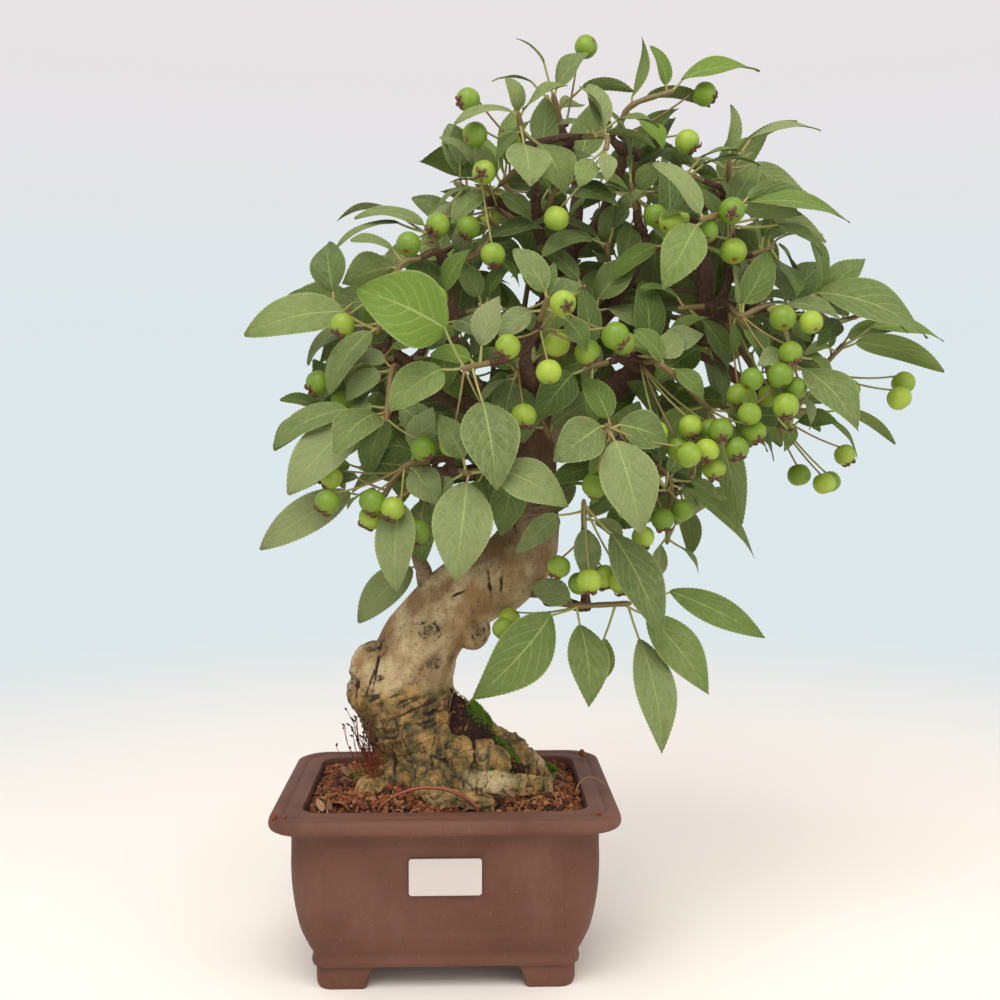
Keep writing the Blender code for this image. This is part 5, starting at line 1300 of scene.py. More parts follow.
def corner_foot(sx, sy):
    """Points and faces of one angled foot whose ends lean out towards the pot."""
    rings = []
    for row in range(FOOT_ROWS):
        share = row / (FOOT_ROWS - 1)
        height = (FOOT_HEIGHT + 0.0006) * share
        leg = FOOT_LEG + 0.0045 * share ** 2.2
        tuck = 0.0009 * (1 - ease(share, 0.0, 0.25))
        outer_x, outer_y = FOOT_HALF_WIDTH - tuck, FOOT_HALF_WIDTH - (RIM_WIDTH - RIM_DEPTH) / 2 - tuck
        inner_x, inner_y = outer_x - FOOT_THICKNESS + 2 * tuck, outer_y - FOOT_THICKNESS + 2 * tuck
        end_x = FOOT_HALF_WIDTH - leg + tuck
        end_y = FOOT_HALF_WIDTH - (RIM_WIDTH - RIM_DEPTH) / 2 - leg + tuck
        outline = [(end_x + 0.001, inner_y), (end_x, inner_y + 0.0015), (end_x, outer_y - 0.002)]
        outline.append((end_x + 0.0015, outer_y))
        outline += [(end_x + (outer_x - 0.008 - end_x) * k / 6, outer_y) for k in range(1, 7)]
        for k in range(1, 9):
            angle = pi / 2 * (1 - k / 9)
            outline.append((outer_x - 0.008 + 0.008 * cos(angle), outer_y - 0.008 + 0.008 * sin(angle)))
        outline += [(outer_x, outer_y - 0.008 - (outer_y - 0.008 - end_y) * k / 6) for k in range(6)]
        outline += [(outer_x, end_y + 0.0015), (outer_x - 0.002, end_y), (inner_x + 0.0015, end_y)]
        outline += [(inner_x, end_y + 0.001), (inner_x, inner_y - 0.004)]
        for k in range(1, 5):
            angle = pi / 2 * k / 4
            outline.append((inner_x - 0.004 + 0.004 * cos(angle), inner_y - 0.004 + 0.004 * sin(angle)))
        rings.append([(sx * x, sy * y, height) for x, y in outline])
    return loft(rings)


def cut_holes(piece, places, radius, low, high):
    """Cuts round holes through a piece."""
    for x, y in places:
        ring = [(x + radius * cos(2 * pi * i / 40), y + radius * sin(2 * pi * i / 40)) for i in range(40)]
        cutter = Skin()
        cutter.add(*loft([[(a, b, height) for a, b in ring] for height in (low, high)]))
        tool = bpy.data.objects.new("hole", cutter.mesh("hole", POT_CENTRE))
        bpy.context.scene.collection.objects.link(tool)
        cut = piece.modifiers.new("hole", "BOOLEAN")
        cut.operation = "DIFFERENCE"
        cut.solver = "EXACT"
        cut.object = tool
        graph = bpy.context.evaluated_depsgraph_get()
        result = bpy.data.meshes.new_from_object(piece.evaluated_get(graph))
        piece.modifiers.remove(cut)
        old = piece.data
        piece.data = result
        bpy.data.meshes.remove(old)
        bpy.data.objects.remove(tool, do_unlink=True)


# Wood

Scar = namedtuple("Scar", "place facing radius rim pit")
Crease = namedtuple("Crease", "start end width depth")
Band = namedtuple("Band", "height reach slope spacing depth")
# Scars of cut limbs, in mm: a raised rim around a pit
SCARS = (
    Scar((-9.5, -24, 183.5), (-0.15, -1, 0.05), 4.2, 1.1, 1.8),
    Scar((18, -14, 181), (0.6, -0.8, 0), 5.0, 1.0, 1.6),
    Scar((-7, -24, 140), (0, -1, 0), 2.2, 0.9, 1.6),
    Scar((-40, -12, 173), (-0.45, -0.6, 0.6), 4.6, 1.8, 4.5),
    Scar((-50, -12, 154), (-0.7, -0.7, 0), 5.5, 1.0, 1.6),
    Scar((-5, -22, 165), (0, -1, 0), 2.4, 0.7, 1.0),
    Scar((4, -20, 166), (0.2, -1, 0), 2.2, 0.7, 0.4),
    Scar((-32, -18, 158), (-0.5, -0.85, 0), 1.3, 0.2, 1.4),
)
# Creases on the front of the trunk, sunk and painted dark as shade, as (x, z) in mm
CREASES = (
    Crease((2, 201), (12, 205), 0.7, 1.4), Crease((22, 216), (25, 197), 0.9, 1.5),
    Crease((30, 213), (29, 200), 0.9, 0.6), Crease((-34, 181), (-40, 146), 0.8, 1.2),
    Crease((-37, 166), (-45, 142), 0.7, 1.0), Crease((-46, 160), (-50, 141), 0.7, 1.0),
    Crease((-14, 118), (4, 110), 0.6, 1.0), Crease((14, 134), (15, 104), 1.1, 1.6),
    Crease((-30, 122), (-27, 98), 0.9, 1.2), Crease((34, 250), (38, 232), 0.8, 0.9),
    Crease((46, 276), (44, 256), 0.7, 0.7),
)
# Bands of wrinkles around the trunk: middle height, reach, slope to the right, spacing and depth in mm
BANDS = (Band(138, 13, 0.42, 3.2, 1.1), Band(240, 9, 0.1, 2.6, 1.2), Band(112, 9, 0.2, 4.0, 0.7))
# A healed reddish wound on the front: x, z, reach to the side and up, in mm
WOUND = (-11, 164, 8, 3)


def trunk_relief(point, normal, relief):
    """How far the bark stands out at a point of the trunk, in mm, and its marks of crack with painted shade in the
    sunk relief, lichen, youth.
    """
    x, y, z = point / MM
    rugged = ease(z, 172, 128)
    flute = noise.noise(Vector((x / 8.5, y / 8.5, z / 50)))
    lump = noise.noise(Vector((x / 15, y / 15, z / 17)))
    rough = noise.fractal(Vector((x / 3.2, y / 3.2, z / 4.2)), 0.9, 2.0, 3)
    line = noise.noise(Vector((x / 6.5 + 4, y / 6.5, z / 19)))
    split = max(0.0, 1 - abs(line) / 0.1)
    warm = 0.0
    out = 1.2 * flute * (0.5 + rugged) + 1.0 * lump + rough * (0.16 + 0.4 * rugged) - 1.1 * split * rugged
    # The sunk split lines are painted dark as well: painted shade.
    crack = 0.75 * split * rugged
    for scar in SCARS:
        away = Vector((x, y, z)) - Vector(scar.place)
        facing = Vector(scar.facing).normalized()
        rise_above = away.dot(facing)
        gap = (away - facing * rise_above).length
        if gap < 3 * scar.radius and rise_above > -10 and normal.dot(facing) > 0.1:
            gap *= 1 + 0.3 * noise.noise(away * 0.22) + 0.12 * noise.noise(away * 0.9)
            rim = exp(-((gap - scar.radius) / (0.26 * scar.radius + 0.4)) ** 2)
            pit = exp(-(gap / (0.42 * scar.radius)) ** 2)
            broken = ease(noise.noise(away * 0.45), -0.2, 0.35)
            groove = exp(-((gap - 1.4 * scar.radius) / 0.7) ** 2) * broken
            core = exp(-((gap - 0.5 * scar.radius) / 0.6) ** 2) * (1 - broken)
            core = max(core, exp(-((gap - 0.95 * scar.radius) / 0.8) ** 2) * (0.35 + 0.65 * ease(rough, -0.1, 0.3)))
            out += scar.rim * rim - scar.pit * pit - 0.7 * scar.rim * groove
            # Pits and grooves are painted dark, the pits more the deeper they are: painted shade. The dark rings are
            # the scar's own colour.
            crack = max(crack, 0.8 * pit * min(1.0, scar.pit / 3), 0.6 * groove, 0.85 * core)
            warm = max(warm, 0.55 * exp(-(gap / scar.radius) ** 2))
    if normal.y < 0.3:
        for crease in CREASES:
            start, end = Vector(crease.start), Vector(crease.end)
            run = end - start
            share = min(1.0, max(0.0, (Vector((x, z)) - start).dot(run) / run.length_squared))
            gap = (Vector((x, z)) - start - run * share).length
            gap += 0.9 * noise.noise(Vector((x / 3, z / 3, 7.0)))
            near = exp(-(gap / crease.width) ** 2) * (0.3 + 0.7 * sin(pi * min(0.98, 0.05 + share)))
            out -= crease.depth * near
            # Painted shade: the sunk crease is darkened along its line.
            crack = max(crack, near)
    for band in BANDS:
        height = z - band.height - band.slope * (x + 10) + 2.2 * lump
        near = exp(-(height / band.reach) ** 2)
        if near > 0.05:
            wave = noise.noise(Vector((x / 17, y / 17 + band.height, height / (0.6 * band.spacing))))
            line = max(0.0, 1 - abs(wave) / 0.13)
            out += band.depth * near * (1.6 * wave - 0.8 * line)
            # Painted shade in the grooves between the wrinkles.
            crack = max(crack, 0.7 * near * line)
    # Ribs and fibres low on the roots, darker in their sunk troughs: painted shade.
    if x > 8 and z < 109:
        ribs = noise.noise(Vector((x / 1.7, y / 7, z / 7)))
        out += 0.6 * ribs
        crack = max(crack, 0.7 * ease(-ribs, 0.25, 0.6))
    if z < 101 and y < -18:
        fibres = noise.noise(Vector((x / 9, y / 2.2, z / 2.2)))
        out += 0.9 * fibres
        crack = max(crack, 0.6 * ease(-fibres, 0.2, 0.5))
    # A sloping band of folds across the lower trunk, sunk and painted dark where the folds are high: painted shade.
    shaded_band = ease(z + 0.42 * (x + 10), 128, 134) * ease(z + 0.2 * x, 152, 142)
    folds = noise.noise(Vector((x / 9, y / 9, (z - 0.42 * x) / 1.7))) + 0.3 * lump
    crack = max(crack, 0.75 * shaded_band * ease(folds, 0.02, 0.4) * ease(x, 14, -8))
    out -= 0.6 * shaded_band * ease(folds, 0.0, 0.3)
    bare = max(ease(x, 4, 12) * ease(z, 111, 106), 0.7 * ease(y, -26, -33) * ease(z, 103, 99))
    lichen = ease(z, 163, 128) * (0.75 + 0.45 * lump) + 0.3 * exp(-((z - 142) / 12) ** 2)
    lichen *= 1 - 0.5 * bare
    wound_x, wound_z, wide, tall = WOUND
    hurt = exp(-((x - wound_x) / wide) ** 2 - ((z - wound_z - 0.95 * (x - wound_x)) / tall) ** 2)
    warm = max(warm, 0.95 * hurt * ease(rough + lump, -0.4, 0.2) * (normal.y < 0))
    youth = max(0.8 * ease(z + 6 * lump, 204, 250), warm)
    return relief * out * MM, (min(1.0, crack), min(1.0, max(0.0, lichen)), youth)


def limb_relief(point, near_trunk, relief):
    """The same for limbs, whose bark is finer and younger away from the trunk."""
    x, y, z = point / MM
    rough = noise.fractal(Vector((x / 2.6, y / 2.6, z / 2.6)), 0.9, 2.0, 2)
    lump = noise.noise(Vector((x / 8, y / 8, z / 8)))
    ring = noise.noise(Vector((x / 1.9, y / 6.0, z / 6.0)))
    # Darker mostly where the lumps are sunk: painted shade, with the bark's own cracks.
    crack = 0.7 * ease(-lump + 0.5 * rough, 0.45, 0.8)
    youth = 0.5 + 0.5 * ease(near_trunk / MM, 16, 44)
    return relief * (0.3 * rough + 0.55 * lump + 0.12 * ring) * MM, (crack, 0.0, youth)


def trunk_gap(point):
    """Distance from the trunk's line."""
    places = [Vector(row[:3]) * MM for row in TRUNK]
    return min((point - place).length for place in places)


def wood_skin(parts, cell, rounds, relief_of):
    """Parts grown into one skin with relief, as a Skin with bark marks."""
    rough = Skin()
    for points, faces in parts:
        rough.add(points, faces)
    points, normals, faces = one_skin(rough, cell, rounds)
    marks = np.zeros((len(points), 3))
    for index, (point, normal) in enumerate(zip(points, normals)):
        out, marks[index] = relief_of(Vector(point), Vector(normal))
        points[index] = point + normal * out
    made = Skin("bark")
    made.add(points, faces, bark=marks)
    return made


def wavy(points, radii, step, sway, seed):
    """A smooth path through points that sways a little, with its radii uneven by as much."""
    places, sizes = smooth_path(points, radii, step)
    shifted = []
    for index, place in enumerate(places):
        share = index / (len(places) - 1)
        free = sin(pi * share) ** 0.5 if 0 < share < 1 else 0.0
        drift = noise.noise_vector(place * 55 + Vector((seed, 0, 0)))
        shifted.append(place + drift * (sway * free))
        sizes[index] *= 1 + 0.14 * noise.noise(place * 260)
    return shifted, sizes


# Leaves and fruits in their fine form

BLADE_FOLD = 0.16
BLADE_ARCH = 0.11
BLADE_ROW = 0.0048
FINE_THICKNESS = 0.00036
INNER_CHAIN = 0.52


def weave(outer, inner, marks):
    """Triangles between two chains with the same ends, matched by each point's place along the leaf."""
    faces = []
    i = j = 0
    while i < len(outer) - 1 or j < len(inner) - 1:
        left = i < len(outer) - 1
        if j == len(inner) - 1 or (left and marks[outer[i + 1]][0] <= marks[inner[j + 1]][0]):
            corners = (outer[i], outer[i + 1], inner[j])
            i += 1
        else:
            corners = (outer[i], inner[j + 1], inner[j])
            j += 1
        if len(set(corners)) == 3:
            faces.append(corners)
    return faces


def fine_leaf(leaf, spacing, depth, twist=0.0, curl=0.0):
    """A thin toothed blade where the coarse one lies: points, faces and marks of place and side."""
    span = leaf.tip - leaf.base
    length = span.length
    along = span / length
    across = along.cross(leaf.normal)
    half = leaf.width / 2
    teeth = max(6, round(length / spacing))
    rows = max(5, round(length / BLADE_ROW))
    points, marks = [], []

    def put(t, share, side, tooth=0.0):
        spread = half * blade_share(t) + tooth if 0 < t < 1 else 0.0
        reach = spread * abs(share)
        hand = 1 if share > 0 else -1
        wave = 0.05 * leaf.width * sin(7 * t + 2 * hand) * share * share
        fall = BLADE_FOLD * reach + wave + 4 * BLADE_ARCH * length * t * (1 - t) - curl * length * t ** 3
        if share == 0:
            fall -= FINE_THICKNESS * (0.4 if side > 0 else 1.3 * (1 - t))
        lean = twist * (t - 0.3)
        sideways = across * cos(lean) + leaf.normal * sin(lean)
        points.append(leaf.base + span * t + leaf.normal * (fall + side * FINE_THICKNESS / 2)
            + sideways * (hand * reach))
        marks.append((t, share, side))
        return len(points) - 1

    base = put(0.0, 0.0, 0)
    tip = put(1.0, 0.0, 0)
    margins = {}
    for hand in (-1, 1):
        chain = []
        for i in range(1, 2 * teeth):
            peak = i % 2
            t = (i + 0.5 * peak) / (2 * teeth)
            chain.append(put(t, hand, 0, depth * (1 if peak else -0.3)))
        margins[hand] = [base] + chain + [tip]
    faces = []
    places = [0.006] + [i / rows for i in range(1, rows)]
    for side in (1, -1):
        rib = [base] + [put(t, 0.0, side) for t in places] + [tip]
        for hand in (-1, 1):
            inner = [base] + [put(t, hand * INNER_CHAIN, side) for t in places] + [tip]
            faces += weave(margins[hand], inner, marks) + weave(inner, rib, marks)
    return points, faces, marks


def add_stalk(skin, start, end, radii, bend, finish, sides=5, steps=4, **marks):
    """A stalk that sags by bend of its length."""
    span = end - start
    sag = Vector((0, 0, -1)) - span * (-span.z / max(span.length_squared, 1e-9))
    path = []
    for index in range(steps + 1):
        share = index / steps
        path.append(start + span * share + sag * (bend * span.length * 4 * share * (1 - share)))
    sizes = [radii[0] + (radii[1] - radii[0]) * index / steps for index in range(steps + 1)]
    sizes[0] *= 1.35
    skin.add(*tube(path, sizes, sides), finish, **marks)


FruitLook = namedtuple("FruitLook", "deep sepals")
FINE_FRUIT_SIDES = 20
FINE_FRUIT_OUTLINE = (
    (-0.84, 0.02), (-0.9, 0.1), (-0.95, 0.24), (-0.92, 0.42), (-0.8, 0.64), (-0.58, 0.84), (-0.28, 0.97),
    (0.06, 1.02), (0.38, 0.95), (0.64, 0.79), (0.83, 0.56), (0.92, 0.36), (0.92, 0.24), (0.88, 0.12), (0.87, 0.02),
)


def add_fruit(skin, fruit, draw):
    """A fruit with its stalk and, on most, five dried sepals."""
    axis = fruit.axis
    side = axis.orthogonal().normalized()
    side.rotate(Matrix.Rotation(draw.uniform(0, 2 * pi), 3, axis))
    other = axis.cross(side)
    radius = fruit.radius * draw.uniform(0.93, 1.05)
    # A drawn depth of colour that paints some fruits as shaded.
    deep = draw.random()
    points, marks = [], []
    for height, reach in FINE_FRUIT_OUTLINE:
        for i in range(FINE_FRUIT_SIDES):
            angle = 2 * pi * i / FINE_FRUIT_SIDES
            lobe = 1 + 0.018 * cos(5 * angle) * (height > 0) + 0.012 * cos(2 * angle + 9 * deep)
            way = side * cos(angle) + other * sin(angle)
            points.append(fruit.centre + axis * (height * radius * 0.97) + way * (reach * radius * lobe))
            marks.append(((height + 1) / 2, ease(reach, 0.3, 0.1) if height > 0 else 0.0, deep))
    rings = [points[i:i + FINE_FRUIT_SIDES] for i in range(0, len(points), FINE_FRUIT_SIDES)]
    skin.add(*loft(rings), 0, growth=marks)
    top = fruit.centre - axis * (0.86 * radius)
    blush = draw.uniform(0.2, 0.8)
    add_stalk(skin, fruit.foot, top, (0.00062, 0.0005), 0.05, 1, 6, 8, growth=(blush, 0.25, 0.2))
    if draw.random() < 0.3:
        return
    end = fruit.centre + axis * (0.86 * radius)
    skin.add(*tube([end, end + axis * 0.0009], [0.0012, 0.0006], 6), 2)
    for petal in range(5):
        angle = 2 * pi * petal / 5 + draw.uniform(-0.25, 0.25)
        way = side * cos(angle) + other * sin(angle)
        length = draw.uniform(0.0036, 0.0058)
        curl = draw.uniform(1.0, 2.4)
        path = []
        for step in range(5):
            turned = curl * step / 4
            path.append(end + way * (0.0009 + length * sin(turned) / curl)
                + axis * (length * (1 - cos(turned)) * -0.55 + 0.0014 * sin(pi * step / 5)))
        skin.add(*tube(path, [0.0007, 0.001, 0.0009, 0.0006, 0.0002], 4), 2)


# The crown with its inner sprigs

Plan = namedtuple("Plan", "stems headings twigs bunches foliage branches extras")
LAYERS = (-30, 6, 40)
FILLER_TURNS = LEAF_TURNS[:9]
# Fruits that hang apart from the bunches, as (x, y, z) in mm
LONE_FRUITS = (
    (19.4, -62, 298), (39, -70, 296), (56, -52, 395), (106, -50, 397), (-11, -66, 280), (174, -40, 349),
    (184, -36, 347), (178, -44, 358), (33, -42, 194), (30, -44, 187), (60, 66, 330), (68, 62, 322),
    (116, 70, 356), (110, 64, 346), (8, 60, 372), (14, 66, 362), (152, 58, 392), (84, 60, 404),
    (90, 66, 396), (24, -64, 375), (-17, -70, 379), (117, -52, 395), (128, -70, 386), (55, -70, 331),
    (19, -70, 297), (-10, -70, 280), (4, -70, 282), (21, -64, 341), (-4, -70, 353), (-49, -70, 340),
    (-57, -70, 254), (-35, -70, 254), (87, -76, 331), (166, -70, 344), (180, -70, 342), (151, -70, 314),
    (165, -70, 316), (150, -70, 297), (168, -70, 301), (170, -70, 327), (129, -70, 279), (119, -76, 277),
    (134, -64, 270), (144, -70, 280), (136, -70, 289), (154, -64, 288), (91, -70, 251), (74, -70, 262),
    (72, -64, 214), (89, -58, 213), (34, -20, 189),
)


def clear_twig(stem, samples, crown, sways=(0.0, 0.25, -0.25, 0.5, -0.5)):
    """Heading, stem path and twig for a stem, clear of the other stems, or None."""
    places = stem_places(stem)
    start = nearest_wood(places[0], samples)
    onward = (places[-1] - places[0]).normalized()
    for lift, sway in product((0.12, 0.3, -0.1, 0.5), sways):
        heading = (places[0] - start).normalized() + Vector((sway, 0, lift)) + STEM_LEAD * onward
        heading.normalize()
        path = stem_path(places, heading)
        twig = twig_path(start, path[0], heading)
        grown = stem_tube(path, CLEARANCE)
        twig_shape = tube(twig, [TWIG_RADII[0] + CLEARANCE] * 3, TWIG_SIDES)
        stem_free = crown.clear(*grown)
        if stem_free and crown.clear(*twig_shape, skip=lambda owner, kind: kind == "wood"):
            return heading, path, twig
    return None


def add_twig(stem, found, samples, crown):
    """Places a stem's twig and returns it with its radii."""
    _, path, twig = found
    radii = [TWIG_RADII[0] + (TWIG_RADII[1] - TWIG_RADII[0]) * share for share in (0, 0.6, 1)]
    crown.add(stem.name, "stem", *stem_tube(path))
    crown.add("wood", "wood", *tube(twig, radii, TWIG_SIDES))
    samples += [twig[0].lerp(twig[1], 0.5), twig[1]]
    return twig, radii


def inside_outline(x, z):
    """Says whether a point of the front view lies inside the crown's outline."""
    inside = False
    for (ax, az), (bx, bz) in zip(CROWN_OUTLINE, CROWN_OUTLINE[-1:] + CROWN_OUTLINE[:-1]):
        if (az > z) != (bz > z) and x < (bx - ax) * (z - az) / (bz - az) + ax:
            inside = not inside
    return inside


def inner_stems():
    """Sprigs on a jittered grid, by layer; those of a layer share its name, because they grow as one."""
    draw = random.Random(23)
    (low_x, high_x), (low_z, high_z) = ((min(row), max(row)) for row in zip(*CROWN_OUTLINE))
    stems = {layer: [] for layer, *_ in INNER_LAYERS}
    for layer, depth, spacing in INNER_LAYERS:
        for row in range(int((high_z - low_z) / spacing) + 1):
            for column in range(int((high_x - low_x) / spacing) + 1):
                x = low_x + spacing * (column + 0.5 * (row % 2)) + draw.uniform(-INNER_JITTER, INNER_JITTER)
                y = depth + draw.uniform(-INNER_JITTER, INNER_JITTER)
                z = low_z + spacing * row + draw.uniform(-INNER_JITTER, INNER_JITTER)
                first = draw.uniform(0, 360)
                leaves = []
                for index in range(INNER_LEAVES):
                    bearing = first + 360 * index / INNER_LEAVES + draw.uniform(-BACK_TURN, BACK_TURN)
                    leaves.append((bearing, draw.uniform(6, 12), draw.uniform(33, 43),
                        draw.uniform(-20, 30), draw.uniform(0.5, 0.95), draw.uniform(0.46, 0.6)))
                if inside_outline(x, z):
                    stems[layer].append(Stem("inner_" + layer, BACK, (Spur((x, y, z), tuple(leaves)),), ()))
    return stems


def filler_stems(spacing):
    """Sprigs on a jittered grid in layers between the crown's front and back."""
    draw = random.Random(23)
    stems = []
    spacing /= MM
    columns = int(340 / spacing) + 1
    rows = int(250 / spacing) + 1
    for depth, row, column in product(LAYERS, range(rows), range(columns)):
        x = -92 + spacing * (column + 0.5 * (row % 2)) + draw.uniform(-9, 9)
        z = 232 + spacing * row + draw.uniform(-9, 9)
        y = depth + draw.uniform(-9, 9)
        bearings = [draw.uniform(0, 360) for _ in range(4)]
        leaves = []
        for index, start in enumerate(bearings):
            bearing = (start + 90 * index) % 360
            blade = draw.uniform(21, 36)
            leaves.append((bearing, draw.uniform(5, 12), blade, draw.uniform(-25, 35),
                draw.uniform(0.3, 0.95), draw.uniform(0.42, 0.62)))
        if inside_outline(x, z):
            side = FRONT if y < 12 else BACK
            name = "sprig_" + str(len(stems))
            stems.append(Stem(name, side, (Spur((x, y, z), tuple(leaves)),), ()))
    return stems


def clear_shoot(stem, joints, crown):
    """Heading, stem path and shoot for a sprig on its own branch, clear of all others, or None."""
    place = stem_places(stem)[0]
    far_enough = [joint for joint in joints if (place - joint).length > STEM_LENGTH + LEAST_TWIG]
    for start in sorted(far_enough, key=lambda joint: (place - joint).length)[:SHOOT_STARTS]:
        for lift, sway in product((0.12, 0.4, -0.2), (0.0, 0.35, -0.35)):
            heading = ((place - start).normalized() + Vector((sway, 0, lift))).normalized()
            path = stem_path([place], heading)
            bend = path[0] - heading * (TWIG_LEAD * (path[0] - start).length)
            shoot = [start, bend, path[0] + heading * SHOOT_OVERLAP]
            shapes = (stem_tube(path, CLEARANCE), tube(shoot, [TWIG_RADII[1] + CLEARANCE] * 3, TWIG_SIDES))
            if all(crown.clear(*shape, skip=lambda owner, kind: owner == stem.name) for shape in shapes):
                return heading, path, shoot
    return None


def grow_branch(sprigs, samples, crown, draw):
    """A leafy branch: its first sprig is on a twig of the wood, and each next one grows from those before.

    Returns the twig and the sprigs as (stem, heading, leaves, shoot), the first one without a shoot.
    """
    grown, joints, carrier = [], [], None
    for stem in sorted(sprigs, key=lambda stem: min((stem_places(stem)[0] - p).length for p in samples)):
        first = carrier is None
        found = clear_twig(stem, samples, crown) if first else clear_shoot(stem, joints, crown)
        if found is None:
            continue
        heading, path, way = found
        placed, known = len(crown.shapes), len(samples)
        if first:
            twig = add_twig(stem, found, samples, crown)
        else:
            crown.add(stem.name, "stem", *stem_tube(path))
            crown.add(stem.name, "stem", *tube(way, [TWIG_RADII[1]] * 3, TWIG_SIDES))
        leaves = grow_leaves(stem, heading, crown, draw)
        if len(leaves) < INNER_LEAVES:
            del crown.shapes[placed:]
            del samples[known:]
            continue
        grown.append((stem, heading, leaves, None if first else way))
        joints.append(path[0].lerp(path[1], SHOOT_FOOT))
        joints += [] if first else [way[0].lerp(way[1], 0.6), way[1]]
        if first:
            carrier = twig
    return carrier, grown


def lone_fruits(stems, crown):
    """Fruits that hang alone from the nearest sprig above them, as far as they are clear."""
    feet = []
    for stem in stems:
        feet += stem_places(stem)
    found = []
    for place in LONE_FRUITS:
        centre = Vector(place) * MM
        above = [foot for foot in feet if foot.z > centre.z + 0.008 and (foot - centre).length > 0.016]
        if not above:
            continue
        foot = min(above, key=lambda point: (point - centre).length)
        axis = (0.55 * (centre - foot).normalized() + Vector((0, 0, -0.45))).normalized()
        fruit = Fruit(foot, centre, axis, FRUIT_RADIUS)
        body = ball(centre, 0.95 * FRUIT_RADIUS)
        if (foot - centre).length < 0.06 and crown.clear(*body):
            found.append(fruit)
            crown.add("lone", "fruit", *body)
    return found


@lru_cache(maxsize=None)
def grown_crown(spacing):
    """The solids' crown grown again by the part's rule, then the inner sprigs and the lone fruits."""
    stems = list(FRONT_STEMS) + mirrored_stems()
    limbs = {name: path_of(rows) for name, rows in LIMBS.items()}
    crown = Crown()
    crown.add("wood", "wood", *tube(*path_of(TRUNK), TRUNK_SIDES, trunk_swell))
    for points, radii in limbs.values():
        crown.add("wood", "wood", *tube(points, radii, LIMB_SIDES))
    samples = [point for points, _ in limbs.values() for point in points[1:]]
    order = sorted(stems, key=lambda stem: min((stem_places(stem)[0] - p).length for p in samples))
    headings, twigs = {}, []
    for stem in order:
        found = clear_twig(stem, samples, crown)
        if found is None:
            raise RuntimeError("no clear twig for " + stem.name)
        headings[stem.name] = found[0]
        twigs.append(add_twig(stem, found, samples, crown))
    bunches = {}
    for stem in stems:
        if stem.fruits:
            bunches[stem.name] = grow_fruits(stem, headings[stem.name], crown)
    draw = random.Random(7)
    foliage = {stem.name: grow_leaves(stem, headings[stem.name], crown, draw) for stem in stems}
    branches = {}
    for layer, sprigs in inner_stems().items():
        twig, branches[layer] = grow_branch(sprigs, samples, crown, draw)
        twigs.append(twig)
    extras = lone_fruits(stems, crown)
    waiting = filler_stems(spacing)
    waiting.sort(key=lambda stem: min((stem_places(stem)[0] - p).length for p in samples))
    fillers = []
    for stem in waiting:
        found = clear_twig(stem, samples, crown, (0.0, 0.4, -0.4))
        if found is None:
            continue
        leaves = grow_leaves(stem, found[0], crown, draw, FILLER_TURNS)
        if len(leaves) > 1:
            headings[stem.name] = found[0]
            foliage[stem.name] = leaves
            twigs.append(add_twig(stem, found, samples, crown))
            fillers.append(stem)
    return Plan(stems + fillers, headings, twigs, bunches, foliage, branches, extras)


# Soil, moss and what lies on them

# Soil heaped under the ridge root, its grains painted dark as shade: x where it starts and ends, its height at each, y
# and reach, in mm
MOUND = (2, 46, 143, 102, -5, 7)
# Moss as (x, y, reach to the side, reach back, share, height to look from), in mm
MOSS_PATCHES = (
    (16, -2, 8, 6, 1300, 150), (25, -18, 11, 5, 1300, 109), (32, -6, 9, 3, 260, 150), (42, 22, 21, 12, 1900, 150),
    (-4, 30, 12, 7, 300, 150), (-46, 14, 9, 12, 300, 150), (-36, -10, 5, 5, 250, 104),
)


def mound_share(x, y):
    """How much a place, in mm, belongs to the mound whose grains are painted dark as shade."""
    start, end, _, _, middle, reach = MOUND
    return ease(x, start - 6, start) * ease(x, end + 4, end - 6) * exp(-((y - middle) / reach) ** 2)


def soil_height(x, y):
    """Height of the soil bed at a place, all in metres."""
    across, deep = x / MM, y / MM
    edge = min(73.3 - abs(across), 53.3 - abs(deep))
    height = 89.4 + 4.2 * ease(edge, 0, 15)
    height += 1.3 * noise.noise(Vector((across / 11, deep / 11, 3.0)))
    start, end, high, low, _, _ = MOUND
    crest = high + (low - high) * (across - start) / (end - start)
    height += max(0.0, crest - height) * mound_share(across, deep)
    trunk = (((across + 10) / 1.2) ** 2 + (deep - 2) ** 2) ** 0.5
    height += 5.5 * exp(-(max(0.0, trunk - 22) / 9) ** 2) * ease(edge, 0, 12)
    return height * MM


@lru_cache(maxsize=None)
def wood_trees():
    """Search trees over the trunk and each root, each with its path and radii."""
    bodies = []
    for rows, turns, swell in [(TRUNK, 24, trunk_swell)] + [(rows, 12, None) for rows in ROOTS.values()]:
        path, radii = path_of(rows)
        points, faces = tube(path, radii, turns, swell) if swell else tube(path, radii, turns)
        bodies.append((BVHTree.FromPolygons(points, faces), path, radii))
    return bodies


def in_wood(point, margin=0.0):
    """Whether a point lies within the trunk or a root, or nearer than the margin."""
    for tree, path, radii in wood_trees():
        if tree.find_nearest(point)[3] < margin:
            return True
        for index in range(len(path) - 1):
            way = path[index + 1] - path[index]
            share = min(1.0, max(0.0, (point - path[index]).dot(way) / way.length_squared))
            radius = radii[index] + (radii[index + 1] - radii[index]) * share
            if (point - path[index] - way * share).length < 0.85 * radius:
                return True
    return False


def surface_height(x, y, top):
    """Height of the soil or of the root over it, looked for from top downwards."""
    height = soil_height(x, y)
    for tree, _, _ in wood_trees():
        place, _, _, _ = tree.ray_cast(Vector((x, y, top)), Vector((0, 0, -1)))
        if place is not None:
            height = max(height, place.z)
    return height


def moss_rise(x, y):
    """Height of the moss cushion over the soil at a place."""
    dx = (x - MOSS_PLACE[0]) / MOSS_RADII[0]
    dy = (y - MOSS_PLACE[1]) / MOSS_RADII[1]
    share = max(0.0, 1 - dx * dx - dy * dy)
    return MOSS_RADII[2] * share ** 0.6


